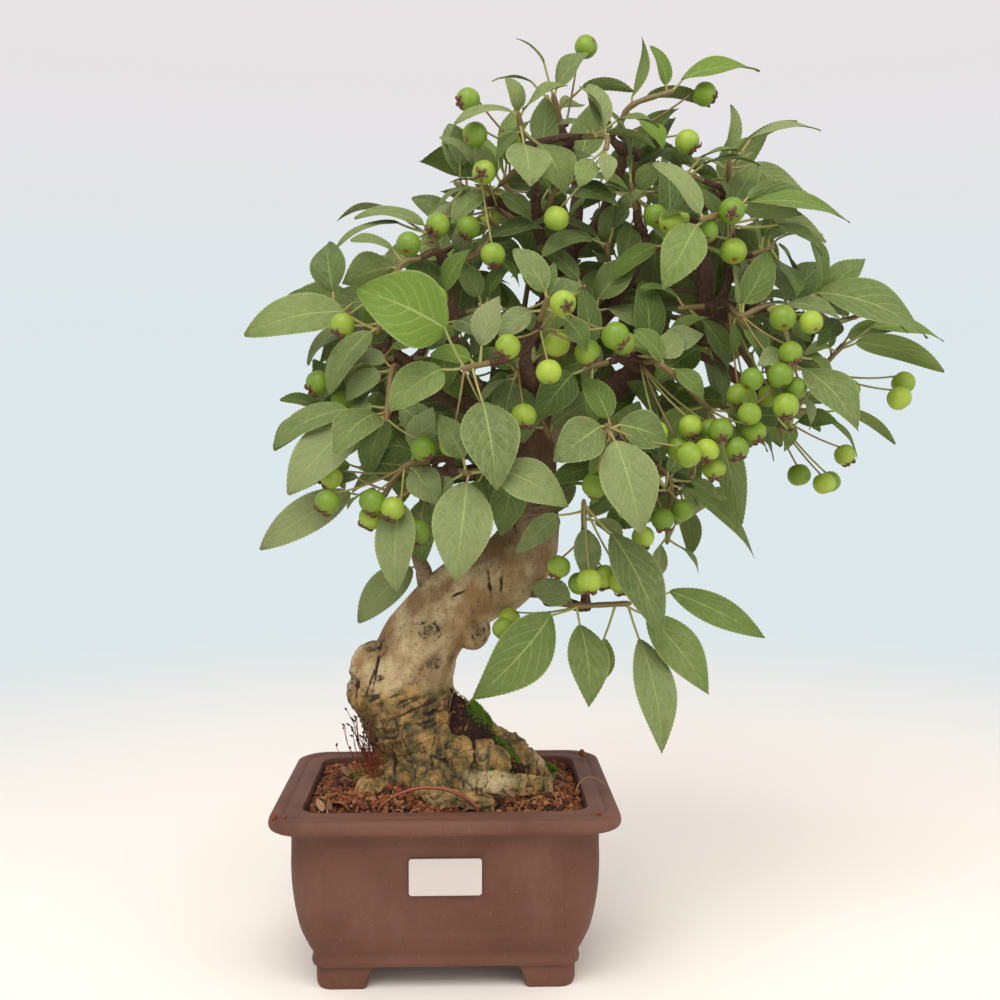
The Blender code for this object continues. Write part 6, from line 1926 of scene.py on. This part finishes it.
def lump(centre, size, draw, shape):
    """A rough grain from a ball's points, squashed and dented by draw."""
    stretch = Vector([size * draw.uniform(0.75, 1.2) for _ in range(3)])
    seed = Vector([draw.uniform(0, 50) for _ in range(3)])
    turn = Matrix.Rotation(draw.uniform(0, pi), 3, Vector([draw.uniform(-1, 1) for _ in range(3)]).normalized())
    points = []
    for way in shape:
        dent = 1 + 0.55 * noise.noise(way * 1.7 + seed)
        points.append(centre + turn @ Vector([way[k] * stretch[k] * dent for k in range(3)]))
    return points


def unit_ball(level):
    """Points and faces of a round ball of unit radius."""
    shape = bmesh.new()
    bmesh.ops.create_icosphere(shape, subdivisions=level, radius=1.0)
    shape.verts.ensure_lookup_table()
    points = [vertex.co.copy() for vertex in shape.verts]
    faces = [tuple(vertex.index for vertex in face.verts) for face in shape.faces]
    shape.free()
    return points, faces


def soil_spots(draw, count, edge, margin):
    """Places spread over the soil, clear of the wood."""
    spots = []
    half_x, half_y = 0.0733 - edge, 0.0533 - edge
    columns = max(1, round((count * half_x / half_y) ** 0.5))
    rows = max(1, round(count / columns))
    for column, row in product(range(columns), range(rows)):
        x = half_x * (2 * (column + draw.random()) / columns - 1)
        y = half_y * (2 * (row + draw.random()) / rows - 1)
        if not in_wood(Vector((x, y, soil_height(x, y) + 0.001)), margin):
            spots.append((x, y))
    return spots


def add_shoot(skin, foot, height, lean, draw, dull):
    """A moss shoot: a thin stem with three rows of pointed leaves."""
    tip = foot + Vector((lean[0], lean[1], 1.0)).normalized() * height
    tone = draw.random()
    turn = draw.uniform(0, 2 * pi)
    reach = 0.36 * height
    for index in range(4):
        angle = turn + index * 2 * pi * 0.31
        way = Vector((cos(angle), sin(angle), 0.0))
        low = foot.lerp(tip, 0.25 + 0.2 * index)
        end = low + way * reach + Vector((0, 0, 0.35 * height))
        beside = way.cross(Vector((0, 0, 1))) * 0.00028
        points = [low - beside, low + beside, low + Vector((0, 0, 0.0005)), end]
        marks = [(0.1 + 0.15 * index, dull, tone)] * 3 + [(1.0, dull, tone)]
        skin.add(points, [(0, 1, 3), (1, 2, 3), (2, 0, 3), (0, 2, 1)], 0, growth=marks)


def add_spore_stalk(skin, foot, height, draw):
    """A thin red stalk with a nodding capsule."""
    lean = Vector((draw.uniform(-0.48, -0.08), draw.uniform(-0.2, 0.1), 1.0)).normalized()
    bow = Vector((draw.uniform(-1, 1), draw.uniform(-1, 1), 0)) * (0.12 * height)
    path = [foot + lean * (height * k / 6) + bow * sin(pi * k / 6) for k in range(7)]
    orange = draw.random()
    marks = []
    for k in range(7):
        marks += [(0.0, orange * (1 - k / 6), draw.random())] * 4
    skin.add(*tube(path, [0.00017] * 7, 4), 0, growth=marks)
    droop = (lean + Vector((draw.uniform(-0.9, 0.9), draw.uniform(-0.9, 0.9), -0.2))).normalized()
    end = path[-1]
    capsule = [end, end + droop * 0.0007, end + droop * 0.0016, end + droop * 0.0023]
    skin.add(*tube(capsule, [0.0002, 0.0006, 0.0005, 0.00015], 6), 0, growth=(1.0, 0.0, 0.8))


def add_dry_leaf(skin, place, length, draw, red=0.0):
    """A curled dead leaf bit on the soil."""
    heading = Vector((draw.uniform(-1, 1), draw.uniform(-1, 1), draw.uniform(0.0, 0.4))).normalized()
    normal = (Vector((draw.uniform(-0.4, 0.4), draw.uniform(-0.4, 0.4), 1))).normalized()
    normal = (normal - heading * normal.dot(heading)).normalized()
    leaf = Leaf(place, place, place + heading * length, normal, length * draw.uniform(0.4, 0.65))
    points, faces, _ = fine_leaf(leaf, 0.0016, 0.0002, draw.uniform(-0.9, 0.9), draw.uniform(-0.5, 0.5))
    skin.add(points, faces, 0, growth=(draw.uniform(0.1, 0.8), red, draw.random()))


def add_sprout(skin, foot, height, draw):
    """A small green seedling with a few leaves."""
    top = foot + Vector((draw.uniform(-0.2, 0.2), draw.uniform(-0.2, 0.2), 1)).normalized() * height
    add_stalk(skin, foot, top, (0.0004, 0.0003), 0.05, 1, growth=(0.4, 0.0, 0.2))
    for index in range(6):
        angle = index * 2.4 + draw.uniform(-0.3, 0.3)
        start = foot.lerp(top, 0.45 + 0.11 * index)
        way = Vector((cos(angle), sin(angle), 0.55)).normalized()
        normal = (Vector((0, 0, 1)) - way * way.z).normalized()
        length = height * draw.uniform(0.4, 0.6)
        leaf = Leaf(start, start + way * 0.001, start + way * length, normal, 0.5 * length)
        points, faces, marks = fine_leaf(leaf, 0.0016, 0.0001)
        skin.add(points, faces, 0, blade=marks, growth=(0.9, 0.1, 0.0))


# Operators

# Which solids each group of leaves and fruits stands in for, by the stem's name
BOUGHS = {
    "left": ("left_high", "left_bright", "left_mid", "left_low", "left_upper", "left_top", "left_centre", "stub"),
    "right": ("right", "right_hang", "far_right", "right_upper", "mid_right", "right_low", "low_right"),
    "top": ("top", "top_left", "top_mid", "top_right", "right_top", "upper_centre"),
    "middle": ("front_hang", "front_right", "centre_front", "centre_right", "centre_low", "trunk_right"),
    "back": tuple("back_" + name for name in BACK_STEMS),
}
# How young, downy and dark the leaves of a bough are; the darkness paints shade, most on the inner sprigs, then on the
# middle and back boughs
BOUGH_LOOKS = {
    "left": (0.2, 0.62, 0.05), "right": (0.3, 0.45, 0.05), "top": (0.42, 0.55, 0.0),
    "middle": (0.04, 0.42, 0.35), "back": (0.3, 0.3, 0.3), "inner": (0.16, 0.2, 0.6),
}
# Stems whose leaves are younger than the bough's
YOUNG_STEMS = {"top_right": 0.5, "far_right": 0.35, "right_hang": 0.3}
# Looks of the three large leaves in front on the left
LARGE_LEAVES = {"left_bright": ((0.9, 0.1, 0.0), (0.45, 0.65, 0.0), (0.0, 0.3, 0.55))}


def add_leaf(skin, leaf, settings, look, draw):
    """A leaf with its stalk, coloured by its bough's look and a draw."""
    youth = min(1.0, max(0.0, look[0] + draw.uniform(-0.4, 0.4)))
    bloom = min(1.0, max(0.0, look[1] + draw.uniform(-0.3, 0.3)))
    # The drawn depth paints shade as well as tone.
    deep = min(1.0, max(0.0, look[2] + draw.uniform(-0.3, 0.4)))
    points, faces, marks = fine_leaf(leaf, settings.teeth, settings.tooth_depth, draw.uniform(-0.22, 0.22),
        draw.uniform(-0.02, 0.04))
    skin.add(points, faces, 0, blade=marks, growth=(youth, bloom, deep))
    end = leaf.base + (leaf.tip - leaf.base) * 0.02
    add_stalk(skin, leaf.root, end, (0.00075, 0.0006), 0.04, 1, growth=(draw.uniform(0, 0.6), 0.0, 0.3 * youth))


def add_shoot_stem(skin, stem, heading):
    path = stem_path(stem_places(stem), heading)
    points, radii = smooth_path(path, [0.0015] * (len(path) - 1) + [0.0008], 0.002)
    radii = [radius * (1 + 0.18 * noise.noise(point * 420)) for point, radius in zip(points, radii)]
    skin.add(*tube(points, radii, 8), 1, growth=(0.6, 0.55, 0.3))


class BONSAI_OT_pot(Operator):
    """Adds the stoneware pot with its sunk panels, rim groove and angled feet."""
    bl_idname = "bonsai.pot"
    bl_label = "Pot"

    def execute(self, context):
        settings = context.scene.bonsai_pot
        skin = Skin()
        skin.add(*pot_body(settings))
        pot = skin.piece("stoneware", [], "clay", ("pot",), sharp=50)
        holes = [(side * DRAIN_HOLE_OFFSET, 0.0) for side in (-1, 1)]
        cut_holes(pot, holes, DRAIN_HOLE_DIAMETER / 2, 0.008, FLOOR_TOP + 0.002)
        feet = Skin()
        for sx, sy in product((-1, 1), (-1, 1)):
            feet.add(*corner_foot(sx, sy))
        finish = clay_finish(settings)
        pot.data.materials.clear()
        pot.data.materials.append(finish)
        feet.piece("feet", [finish], "clay", ("pot",), sharp=40)
        return {"FINISHED"}


class BONSAI_OT_wood(Operator):
    """Adds the trunk with its roots, scars and cracks, then the limbs and the twigs."""
    bl_idname = "bonsai.wood"
    bl_label = "Wood"

    def execute(self, context):
        settings = context.scene.bonsai_bark
        finish = bark_finish(settings)
        relief = settings.relief
        parts = [tube(*smooth_path(*path_of(TRUNK), 0.004), 40, trunk_swell)]
        parts += [tube(*wavy(*path_of(rows), 0.003, 0.0022, 3.0), 20) for rows in ROOTS.values()]
        parts += [ball(Vector(row[:3]) * MM, row[3] * MM, 10, 20) for row in KNOTS]
        trunk = wood_skin(parts, settings.trunk_cell, 6,
            lambda point, normal: trunk_relief(point, normal, relief))
        trunk.piece("trunk", [finish], "bark", ("wood",))
        parts = []
        for number, rows in enumerate(LIMBS.values()):
            parts.append(tube(*wavy(*path_of(rows), 0.003, 0.0018, number), 16))
        limbs = wood_skin(parts, settings.limb_cell, 2,
            lambda point, normal: limb_relief(point, trunk_gap(point), relief))
        limbs.piece("limbs", [finish], "bark", ("wood",))
        plan = grown_crown(context.scene.bonsai_leaves.filler_spacing)
        twigs = Skin("bark")
        for number, (path, radii) in enumerate(plan.twigs):
            points, sizes = wavy(path, radii, 0.0022, 0.0014, number)
            sizes = [size * (1 + 0.5 * exp(-index / 1.5)) for index, size in enumerate(sizes)]
            twigs.add(*tube(points, sizes, 8), bark=(0.0, 0.0, 1.0))
        for spur, _ in plan.bunches.values():
            twigs.add(*ball(spur, 0.0017, 6, 8), bark=(0.2, 0.0, 1.0))
        twigs.piece("twigs", [finish], "bark", ("wood",))
        return {"FINISHED"}


class BONSAI_OT_leaves(Operator):
    """Adds the toothed leaves, bough by bough, and the inner sprigs."""
    bl_idname = "bonsai.leaves"
    bl_label = "Leaves"

    def execute(self, context):
        settings = context.scene.bonsai_leaves
        plan = grown_crown(settings.filler_spacing)
        finishes = [leaf_finish(settings), shoot_finish(settings)]
        draw = random.Random(31)
        own = {}
        for bough, names in BOUGHS.items():
            skin = Skin("blade", "growth")
            for stem in plan.stems:
                if stem.name in names:
                    add_shoot_stem(skin, stem, plan.headings[stem.name])
                    youth, bloom, deep = BOUGH_LOOKS[bough]
                    more = YOUNG_STEMS.get(stem.name, 0.0)
                    looks = LARGE_LEAVES.get(stem.name, ((youth + more, bloom - more, deep - more),))
                    for index, leaf in enumerate(plan.foliage[stem.name]):
                        add_leaf(skin, leaf, settings, looks[index % len(looks)], draw)
                    own[stem.name] = bough
            solids = ["leaves_" + name for name in names]
            skin.piece("bough_" + bough, finishes, "leaf", solids, sharp=60)
        for layer, sprigs in plan.branches.items():
            skin = Skin("blade", "growth")
            for stem, heading, leaves, shoot in sprigs:
                add_shoot_stem(skin, stem, heading)
                if shoot:
                    points, radii = wavy(shoot, [TWIG_RADII[1]] * 3, 0.0022, 0.001, 1.0)
                    skin.add(*tube(points, radii, 8), 1, growth=(0.6, 0.85, 0.3))
                for leaf in leaves:
                    add_leaf(skin, leaf, settings, BOUGH_LOOKS["inner"], draw)
            skin.piece("branch_" + layer, finishes, "leaf", ("leaves_inner_" + layer,), sharp=60)
        inner = [stem for stem in plan.stems if stem.name not in own]
        for label, low, high in (("front", -1.0, -0.012), ("mid", -0.012, 0.024), ("rear", 0.024, 1.0)):
            skin = Skin("blade", "growth")
            for stem in inner:
                if low <= stem_places(stem)[0].y < high:
                    add_shoot_stem(skin, stem, plan.headings[stem.name])
                    for leaf in plan.foliage[stem.name]:
                        add_leaf(skin, leaf, settings, BOUGH_LOOKS["inner"], draw)
            skin.piece("sprigs_" + label, finishes, "leaf", (), sharp=60)
        return {"FINISHED"}


class BONSAI_OT_fruits(Operator):
    """Adds the crabapples on their stalks with dried sepals."""
    bl_idname = "bonsai.fruits"
    bl_label = "Fruits"

    def execute(self, context):
        settings = context.scene.bonsai_fruits
        leaves = context.scene.bonsai_leaves
        plan = grown_crown(leaves.filler_spacing)
        finishes = [fruit_finish(settings), shoot_finish(leaves), husk_finish(settings)]
        draw = random.Random(17)
        for bough, names in BOUGHS.items():
            bunches = [name for name in names if name in plan.bunches]
            skin = Skin("growth")
            for name in bunches:
                for fruit in plan.bunches[name][1]:
                    add_fruit(skin, fruit, draw)
            if bunches:
                solids = ["fruits_" + name for name in bunches]
                skin.piece("apples_" + bough, finishes, "apple", solids)
        skin = Skin("growth")
        for fruit in plan.extras:
            add_fruit(skin, fruit, draw)
        skin.piece("apples_lone", finishes, "apple")
        return {"FINISHED"}


class BONSAI_OT_soil(Operator):
    """Adds the soil bed, its clay grains and the litter on it."""
    bl_idname = "bonsai.soil"
    bl_label = "Soil"

    def execute(self, context):
        settings = context.scene.bonsai_soil
        grains = grain_finish(settings)
        self.add_bed(settings)
        draw = random.Random(5)
        skin = Skin("grain")
        shape, faces = unit_ball(2)
        for x, y in soil_spots(draw, settings.grains, 0.0016, 0.0004):
            size = draw.triangular(0.0006, 0.0023, 0.0011)
            centre = Vector((x, y, soil_height(x, y) + 0.35 * size))
            heap = mound_share(x / MM, y / MM)
            size *= 1 - 0.55 * heap
            # On the mound under the ridge root the damp mark paints the grains dark: painted shade.
            marks = (draw.random(), max(draw.random() ** 1.3, heap * 1.3), draw.random())
            skin.add(lump(centre, size, draw, shape), faces, 0, grain=marks)
        for place, size in (((-86, -61, 95.9), 1.9), ((-80.5, -62, 95.6), 1.5), ((78, -61, 95.6), 1.2), ((79.5, 47, 98.4), 2.6)):
            centre = Vector(place) * MM
            skin.add(lump(centre, size * MM, draw, shape), faces, 0, grain=(0.3, 0.4, 0.5))
        skin.piece("soil_grains", [grains], "soil")
        skin = Skin("grain")
        shape, faces = unit_ball(1)
        for x, y in soil_spots(draw, settings.crumbs, 0.0008, 0.0001):
            size = draw.triangular(0.0004, 0.0013, 0.0006)
            centre = Vector((x, y, soil_height(x, y) + draw.uniform(0.0, 0.0014)))
            marks = (draw.random(), draw.random(), draw.random())
            skin.add(lump(centre, size, draw, shape), faces, 0, grain=marks)
        skin.piece("soil_crumbs", [grains], "soil")
        self.add_litter()
        return {"FINISHED"}

    def add_bed(self, settings):
        counts = (40, 6, 30)
        bottom = FLOOR_TOP + MESH_SIZE[2] + 2 * SEAT_GAP
        heights = (bottom / MM, 25.0, 36.0, 54.0, 84.0)
        rings = [fine_pot_ring(inner_half_width(h), h, SEAT_GAP, counts)[0] for h in heights]
        edge = inner_half_width(SOIL_EDGE_HEIGHT / MM)
        for step in range(40):
            ring, _ = fine_pot_ring(edge - 1.3 * step, SOIL_EDGE_HEIGHT / MM, SEAT_GAP, counts)
            rings.append([Vector((p.x, p.y, soil_height(p.x, p.y))) for p in ring])
        skin = Skin()
        skin.add(*loft(rings))
        skin.piece("soil_bed", [bed_finish(settings)], "soil", ("soil",), sharp=60)

    def add_litter(self):
        draw = random.Random(9)
        skin = Skin("growth")
        for _ in range(26):
            x, y = draw.uniform(-0.066, 0.066), draw.choice((draw.uniform(-0.048, -0.03), draw.uniform(-0.048, 0.048)))
            place = Vector((x, y, soil_height(x, y) + 0.0022))
            if not in_wood(place, 0.002):
                add_dry_leaf(skin, place, draw.uniform(0.004, 0.011), draw, 0.6 * (draw.random() < 0.2))
        for _ in range(46):
            x, y = draw.uniform(-0.068, 0.064), draw.uniform(-0.05, 0.048)
            heading = draw.uniform(0, 2 * pi)
            path = []
            for _ in range(8):
                path.append(Vector((x, y, soil_height(x, y) + draw.uniform(0.0012, 0.003))))
                heading += draw.uniform(-0.6, 0.6)
                x = min(0.071, max(-0.071, x + 0.0022 * cos(heading)))
                y = min(0.051, max(-0.051, y + 0.0022 * sin(heading)))
            points, radii = smooth_path(path, [draw.uniform(0.0002, 0.00042)] * 8, 0.0009)
            skin.add(*tube(points, radii, 5), 0, growth=(draw.uniform(0.3, 1.0), 0.0, 0.3))
        over_rim = [Vector(row) * MM for row in (
            (70, -18, 94.5), (72, -15, 98), (77, -12, 100.5), (83, -12, 99), (86, -15, 97))]
        points, radii = smooth_path(over_rim, [0.0005, 0.0005, 0.00045, 0.0004, 0.0003], 0.001)
        skin.add(*tube(points, radii, 6), 0, growth=(0.6, 0.0, 0.5))
        skin.piece("litter", [litter_finish()], "soil", (), sharp=60)


class BONSAI_OT_moss(Operator):
    """Adds the moss, its red spore stalks and two seedlings."""
    bl_idname = "bonsai.moss"
    bl_label = "Moss"

    def execute(self, context):
        settings = context.scene.bonsai_moss
        draw = random.Random(13)
        skin = Skin("growth")
        self.add_cushion(skin)
        total = sum(patch[4] for patch in MOSS_PATCHES)
        for cx, cy, rx, ry, share, top in MOSS_PATCHES:
            for _ in range(round(settings.tufts * share / total)):
                angle, reach = draw.uniform(0, 2 * pi), draw.random() ** 0.5
                reach *= 1 + 0.3 * noise.noise(Vector((2 * cos(angle), 2 * sin(angle), cx)))
                x = (cx + rx * reach * cos(angle)) * MM
                y = (cy + ry * reach * sin(angle)) * MM
                if abs(x) > 0.071 or abs(y) > 0.051:
                    continue
                height = surface_height(x, y, top * MM)
                height = max(height, SOIL_PLATEAU_HEIGHT + SEAT_GAP + moss_rise(x, y))
                foot = Vector((x, y, height - 0.0004))
                lean = (draw.uniform(-0.6, 0.6), draw.uniform(-0.6, 0.6))
                tall = draw.uniform(0.0014, 0.0032) * (1.15 - 0.5 * reach)
                add_shoot(skin, foot, tall, lean, draw, 0.35 * reach)
        skin.piece("moss_shoots", [moss_finish(settings)], "moss", ("moss",), sharp=60)
        skin = Skin("growth")
        for _ in range(58):
            x, y = draw.gauss(-0.037, 0.0035), draw.uniform(-0.019, -0.002)
            if abs(x) < 0.068:
                foot = Vector((x, y, surface_height(x, y, 0.104) - 0.001))
                add_spore_stalk(skin, foot, draw.triangular(0.008, 0.046, 0.02), draw)
        skin.piece("spore_stalks", [spore_finish(settings)], "moss")
        leaves = context.scene.bonsai_leaves
        skin = Skin("blade", "growth")
        for x, y, height in ((-0.0515, 0.043, 0.006), (0.057, -0.0095, 0.006)):
            add_sprout(skin, Vector((x, y, soil_height(x, y))), height, draw)
        skin.piece("seedlings", [leaf_finish(leaves), shoot_finish(leaves)], "leaf", (), sharp=60)
        return {"FINISHED"}

    def add_cushion(self, skin):
        rings = []
        low = SOIL_PLATEAU_HEIGHT + SEAT_GAP
        for reach in (1.0, 0.96, 0.85, 0.65, 0.4, 0.15):
            ring = []
            for i in range(36):
                angle = 2 * pi * i / 36
                x = MOSS_PLACE[0] + MOSS_RADII[0] * reach * cos(angle)
                y = MOSS_PLACE[1] + MOSS_RADII[1] * reach * sin(angle)
                ring.append((x, y, low + moss_rise(x, y)))
            rings.append(ring)
        skin.add(*loft(rings), 0, growth=(0.2, 0.4, 0.3))


class BONSAI_OT_trim(Operator):
    """Adds the blank label, the tie wire and the mesh over the drain holes."""
    bl_idname = "bonsai.trim"
    bl_label = "Trim"

    def execute(self, context):
        settings = context.scene.bonsai_trim
        width, thick, height = LABEL_SIZE
        front = -(79.6 * MM - (RIM_WIDTH - RIM_DEPTH) / 2) - SEAT_GAP
        rings = []
        for tuck, share in ((0.0, 0.0), (0.0, 0.6), (0.00012, 0.9), (0.0004, 1.0)):
            ring, _ = even_ring(width / 2 - tuck, height / 2 - tuck, 0.0016 - tuck, 0.0, (12, 6, 8))
            rings.append([(p.x, front - thick * share, LABEL_HEIGHT + p.y) for p in ring])
        skin = Skin()
        skin.add(*loft(rings))
        skin.piece("plate", [plain_finish("plate_finish", settings.plate, 0.42, 0.06)], "label_paper",
            ("label",), sharp=50)
        skin = Skin()
        skin.add(*self.wire())
        skin.piece("wire_arch", [plain_finish("wire_finish", settings.wire, 0.38, 0.5, 0.55)], "wire",
            ("tie_wire",))
        skin = Skin()
        self.add_strands(skin)
        skin.piece("hole_mesh", [plain_finish("mesh_finish", settings.mesh, 0.5, 0.2)], "mesh_plastic",
            ("drain_mesh",))
        return {"FINISHED"}

    def wire(self):
        start, end = WIRE_SPAN
        foot, knee = SOIL_PLATEAU_HEIGHT - WIRE_IN_SOIL, SOIL_PLATEAU_HEIGHT + 0.001
        points = [Vector((start, WIRE_Y, foot)), Vector((start, WIRE_Y, knee))]
        for i in range(1, 8):
            x = start + (end - start) * i / 8
            points.append(Vector((x, WIRE_Y, knee + WIRE_RISE * sin(pi * i / 8) ** 0.7)))
        points += [Vector((end, WIRE_Y, knee)), Vector((end, WIRE_Y, foot))]
        return tube(*smooth_path(points, [WIRE_RADIUS] * len(points), 0.0012), 14)

    def add_strands(self, skin):
        width, depth, thick = MESH_SIZE
        low = FLOOR_TOP + SEAT_GAP
        wide = 0.0004
        for count, length, other, turned in ((27, depth, width, False), (8, width, depth, True)):
            for index in range(count):
                place = (index / (count - 1) - 0.5) * (other - 2 * wide)
                x, y = ((place - wide, place + wide), (-length / 2, length / 2))
                if turned:
                    x, y = y, x
                ring = [(x[0], y[0]), (x[1], y[0]), (x[1], y[1]), (x[0], y[1])]
                skin.add(*loft([[(a, b, height) for a, b in ring] for height in (low, low + thick)]))


class BONSAI_OT_stage(Operator):
    """Adds the floor, the backdrop, the lamps and the camera."""
    bl_idname = "bonsai.stage"
    bl_label = "Stage"

    def execute(self, context):
        scene = context.scene
        settings = scene.bonsai_stage
        scene.view_settings.view_transform = "Standard"
        self.light_world(scene, settings)
        self.add_floor(settings)
        self.add_lamp("key", settings.key, 0.9, (-0.25, -0.75, 1.25))
        self.add_lamp("fill", settings.fill, 0.7, (0.9, -0.8, 0.55))
        camera = bpy.data.cameras.new("camera")
        camera.lens = settings.lens
        holder = bpy.data.objects.new("camera", camera)
        holder.location = POT_CENTRE + Vector(settings.place)
        holder.rotation_euler = (pi / 2 - settings.dip, 0.0, -settings.turn)
        scene.collection.objects.link(holder)
        scene.camera = holder
        return {"FINISHED"}

    def light_world(self, scene, settings):
        scene.world = bpy.data.worlds.new("studio")
        tree = Tree(scene.world)
        way = tree.node("ShaderNodeTexCoord", output="Generated")
        split = tree.node("ShaderNodeSeparateXYZ", inputs={0: way}, output="Z")
        colour = tree.blend(tree.rise(split, 0.05, 0.34), tuple(settings.haze), tuple(settings.sky))
        tree.end(tree.node("ShaderNodeBackground", inputs={"Color": colour}), "ShaderNodeOutputWorld")

    def add_floor(self, settings):
        made, tree = finish_tree("floor_finish")
        place = tree.place()
        reach = tree.node("ShaderNodeVectorMath", {"operation": "LENGTH"}, {0: place}, "Value")
        near = tree.shader({"Base Color": tuple(settings.floor), "Roughness": 0.9})
        far = tree.node("ShaderNodeEmission", inputs={"Color": tuple(settings.haze)})
        factor = tree.rise(reach, 0.28, 1.3)
        tree.end(tree.node("ShaderNodeMixShader", inputs={0: factor, 1: near, 2: far}))
        mesh = bpy.data.meshes.new("floor")
        ring = [(8 * cos(2 * pi * i / 64), 8 * sin(2 * pi * i / 64), 0.0) for i in range(64)]
        mesh.from_pydata(ring, [], [tuple(range(64))])
        mesh.materials.append(made)
        floor = bpy.data.objects.new("floor", mesh)
        bpy.context.scene.collection.objects.link(floor)

    def add_lamp(self, name, power, size, place):
        lamp = bpy.data.lights.new(name, "AREA")
        lamp.energy = power
        lamp.size = size
        holder = bpy.data.objects.new(name, lamp)
        holder.location = place
        holder.rotation_euler = (Vector((0, 0, 0.25)) - Vector(place)).to_track_quat("-Z", "Y").to_euler()
        bpy.context.scene.collection.objects.link(holder)


class BONSAI_PT_panel(Panel):
    """Lists the pieces of the bonsai and their settings."""
    bl_idname = "BONSAI_PT_panel"
    bl_label = "Bonsai"
    bl_space_type = "VIEW_3D"
    bl_region_type = "UI"
    bl_category = "Bonsai"

    def draw(self, context):
        for operator in OPERATORS:
            self.layout.operator(operator.bl_idname)
        for name, group in SETTINGS.items():
            box = self.layout.box()
            for field in group.__annotations__:
                box.prop(getattr(context.scene, name), field)


SETTINGS = {
    "bonsai_stage": StageSettings, "bonsai_pot": PotSettings, "bonsai_bark": BarkSettings,
    "bonsai_leaves": LeafSettings, "bonsai_fruits": FruitSettings, "bonsai_soil": SoilSettings,
    "bonsai_moss": MossSettings, "bonsai_trim": TrimSettings,
}
OPERATORS = (
    BONSAI_OT_pot, BONSAI_OT_wood, BONSAI_OT_leaves, BONSAI_OT_fruits, BONSAI_OT_soil, BONSAI_OT_moss,
    BONSAI_OT_trim, BONSAI_OT_stage,
)


def register():
    for group in SETTINGS.values():
        bpy.utils.register_class(group)
    for name, group in SETTINGS.items():
        setattr(bpy.types.Scene, name, PointerProperty(type=group))
    for kind in OPERATORS + (BONSAI_PT_panel,):
        bpy.utils.register_class(kind)


def unregister():
    for kind in reversed(OPERATORS + (BONSAI_PT_panel,)):
        bpy.utils.unregister_class(kind)
    for name, group in SETTINGS.items():
        delattr(bpy.types.Scene, name)
        bpy.utils.unregister_class(group)


def main():
    register()
    for kind in OPERATORS:
        action = kind.bl_idname.split(".")[1]
        getattr(bpy.ops.bonsai, action)()


if __name__ == "__main__":
    main()
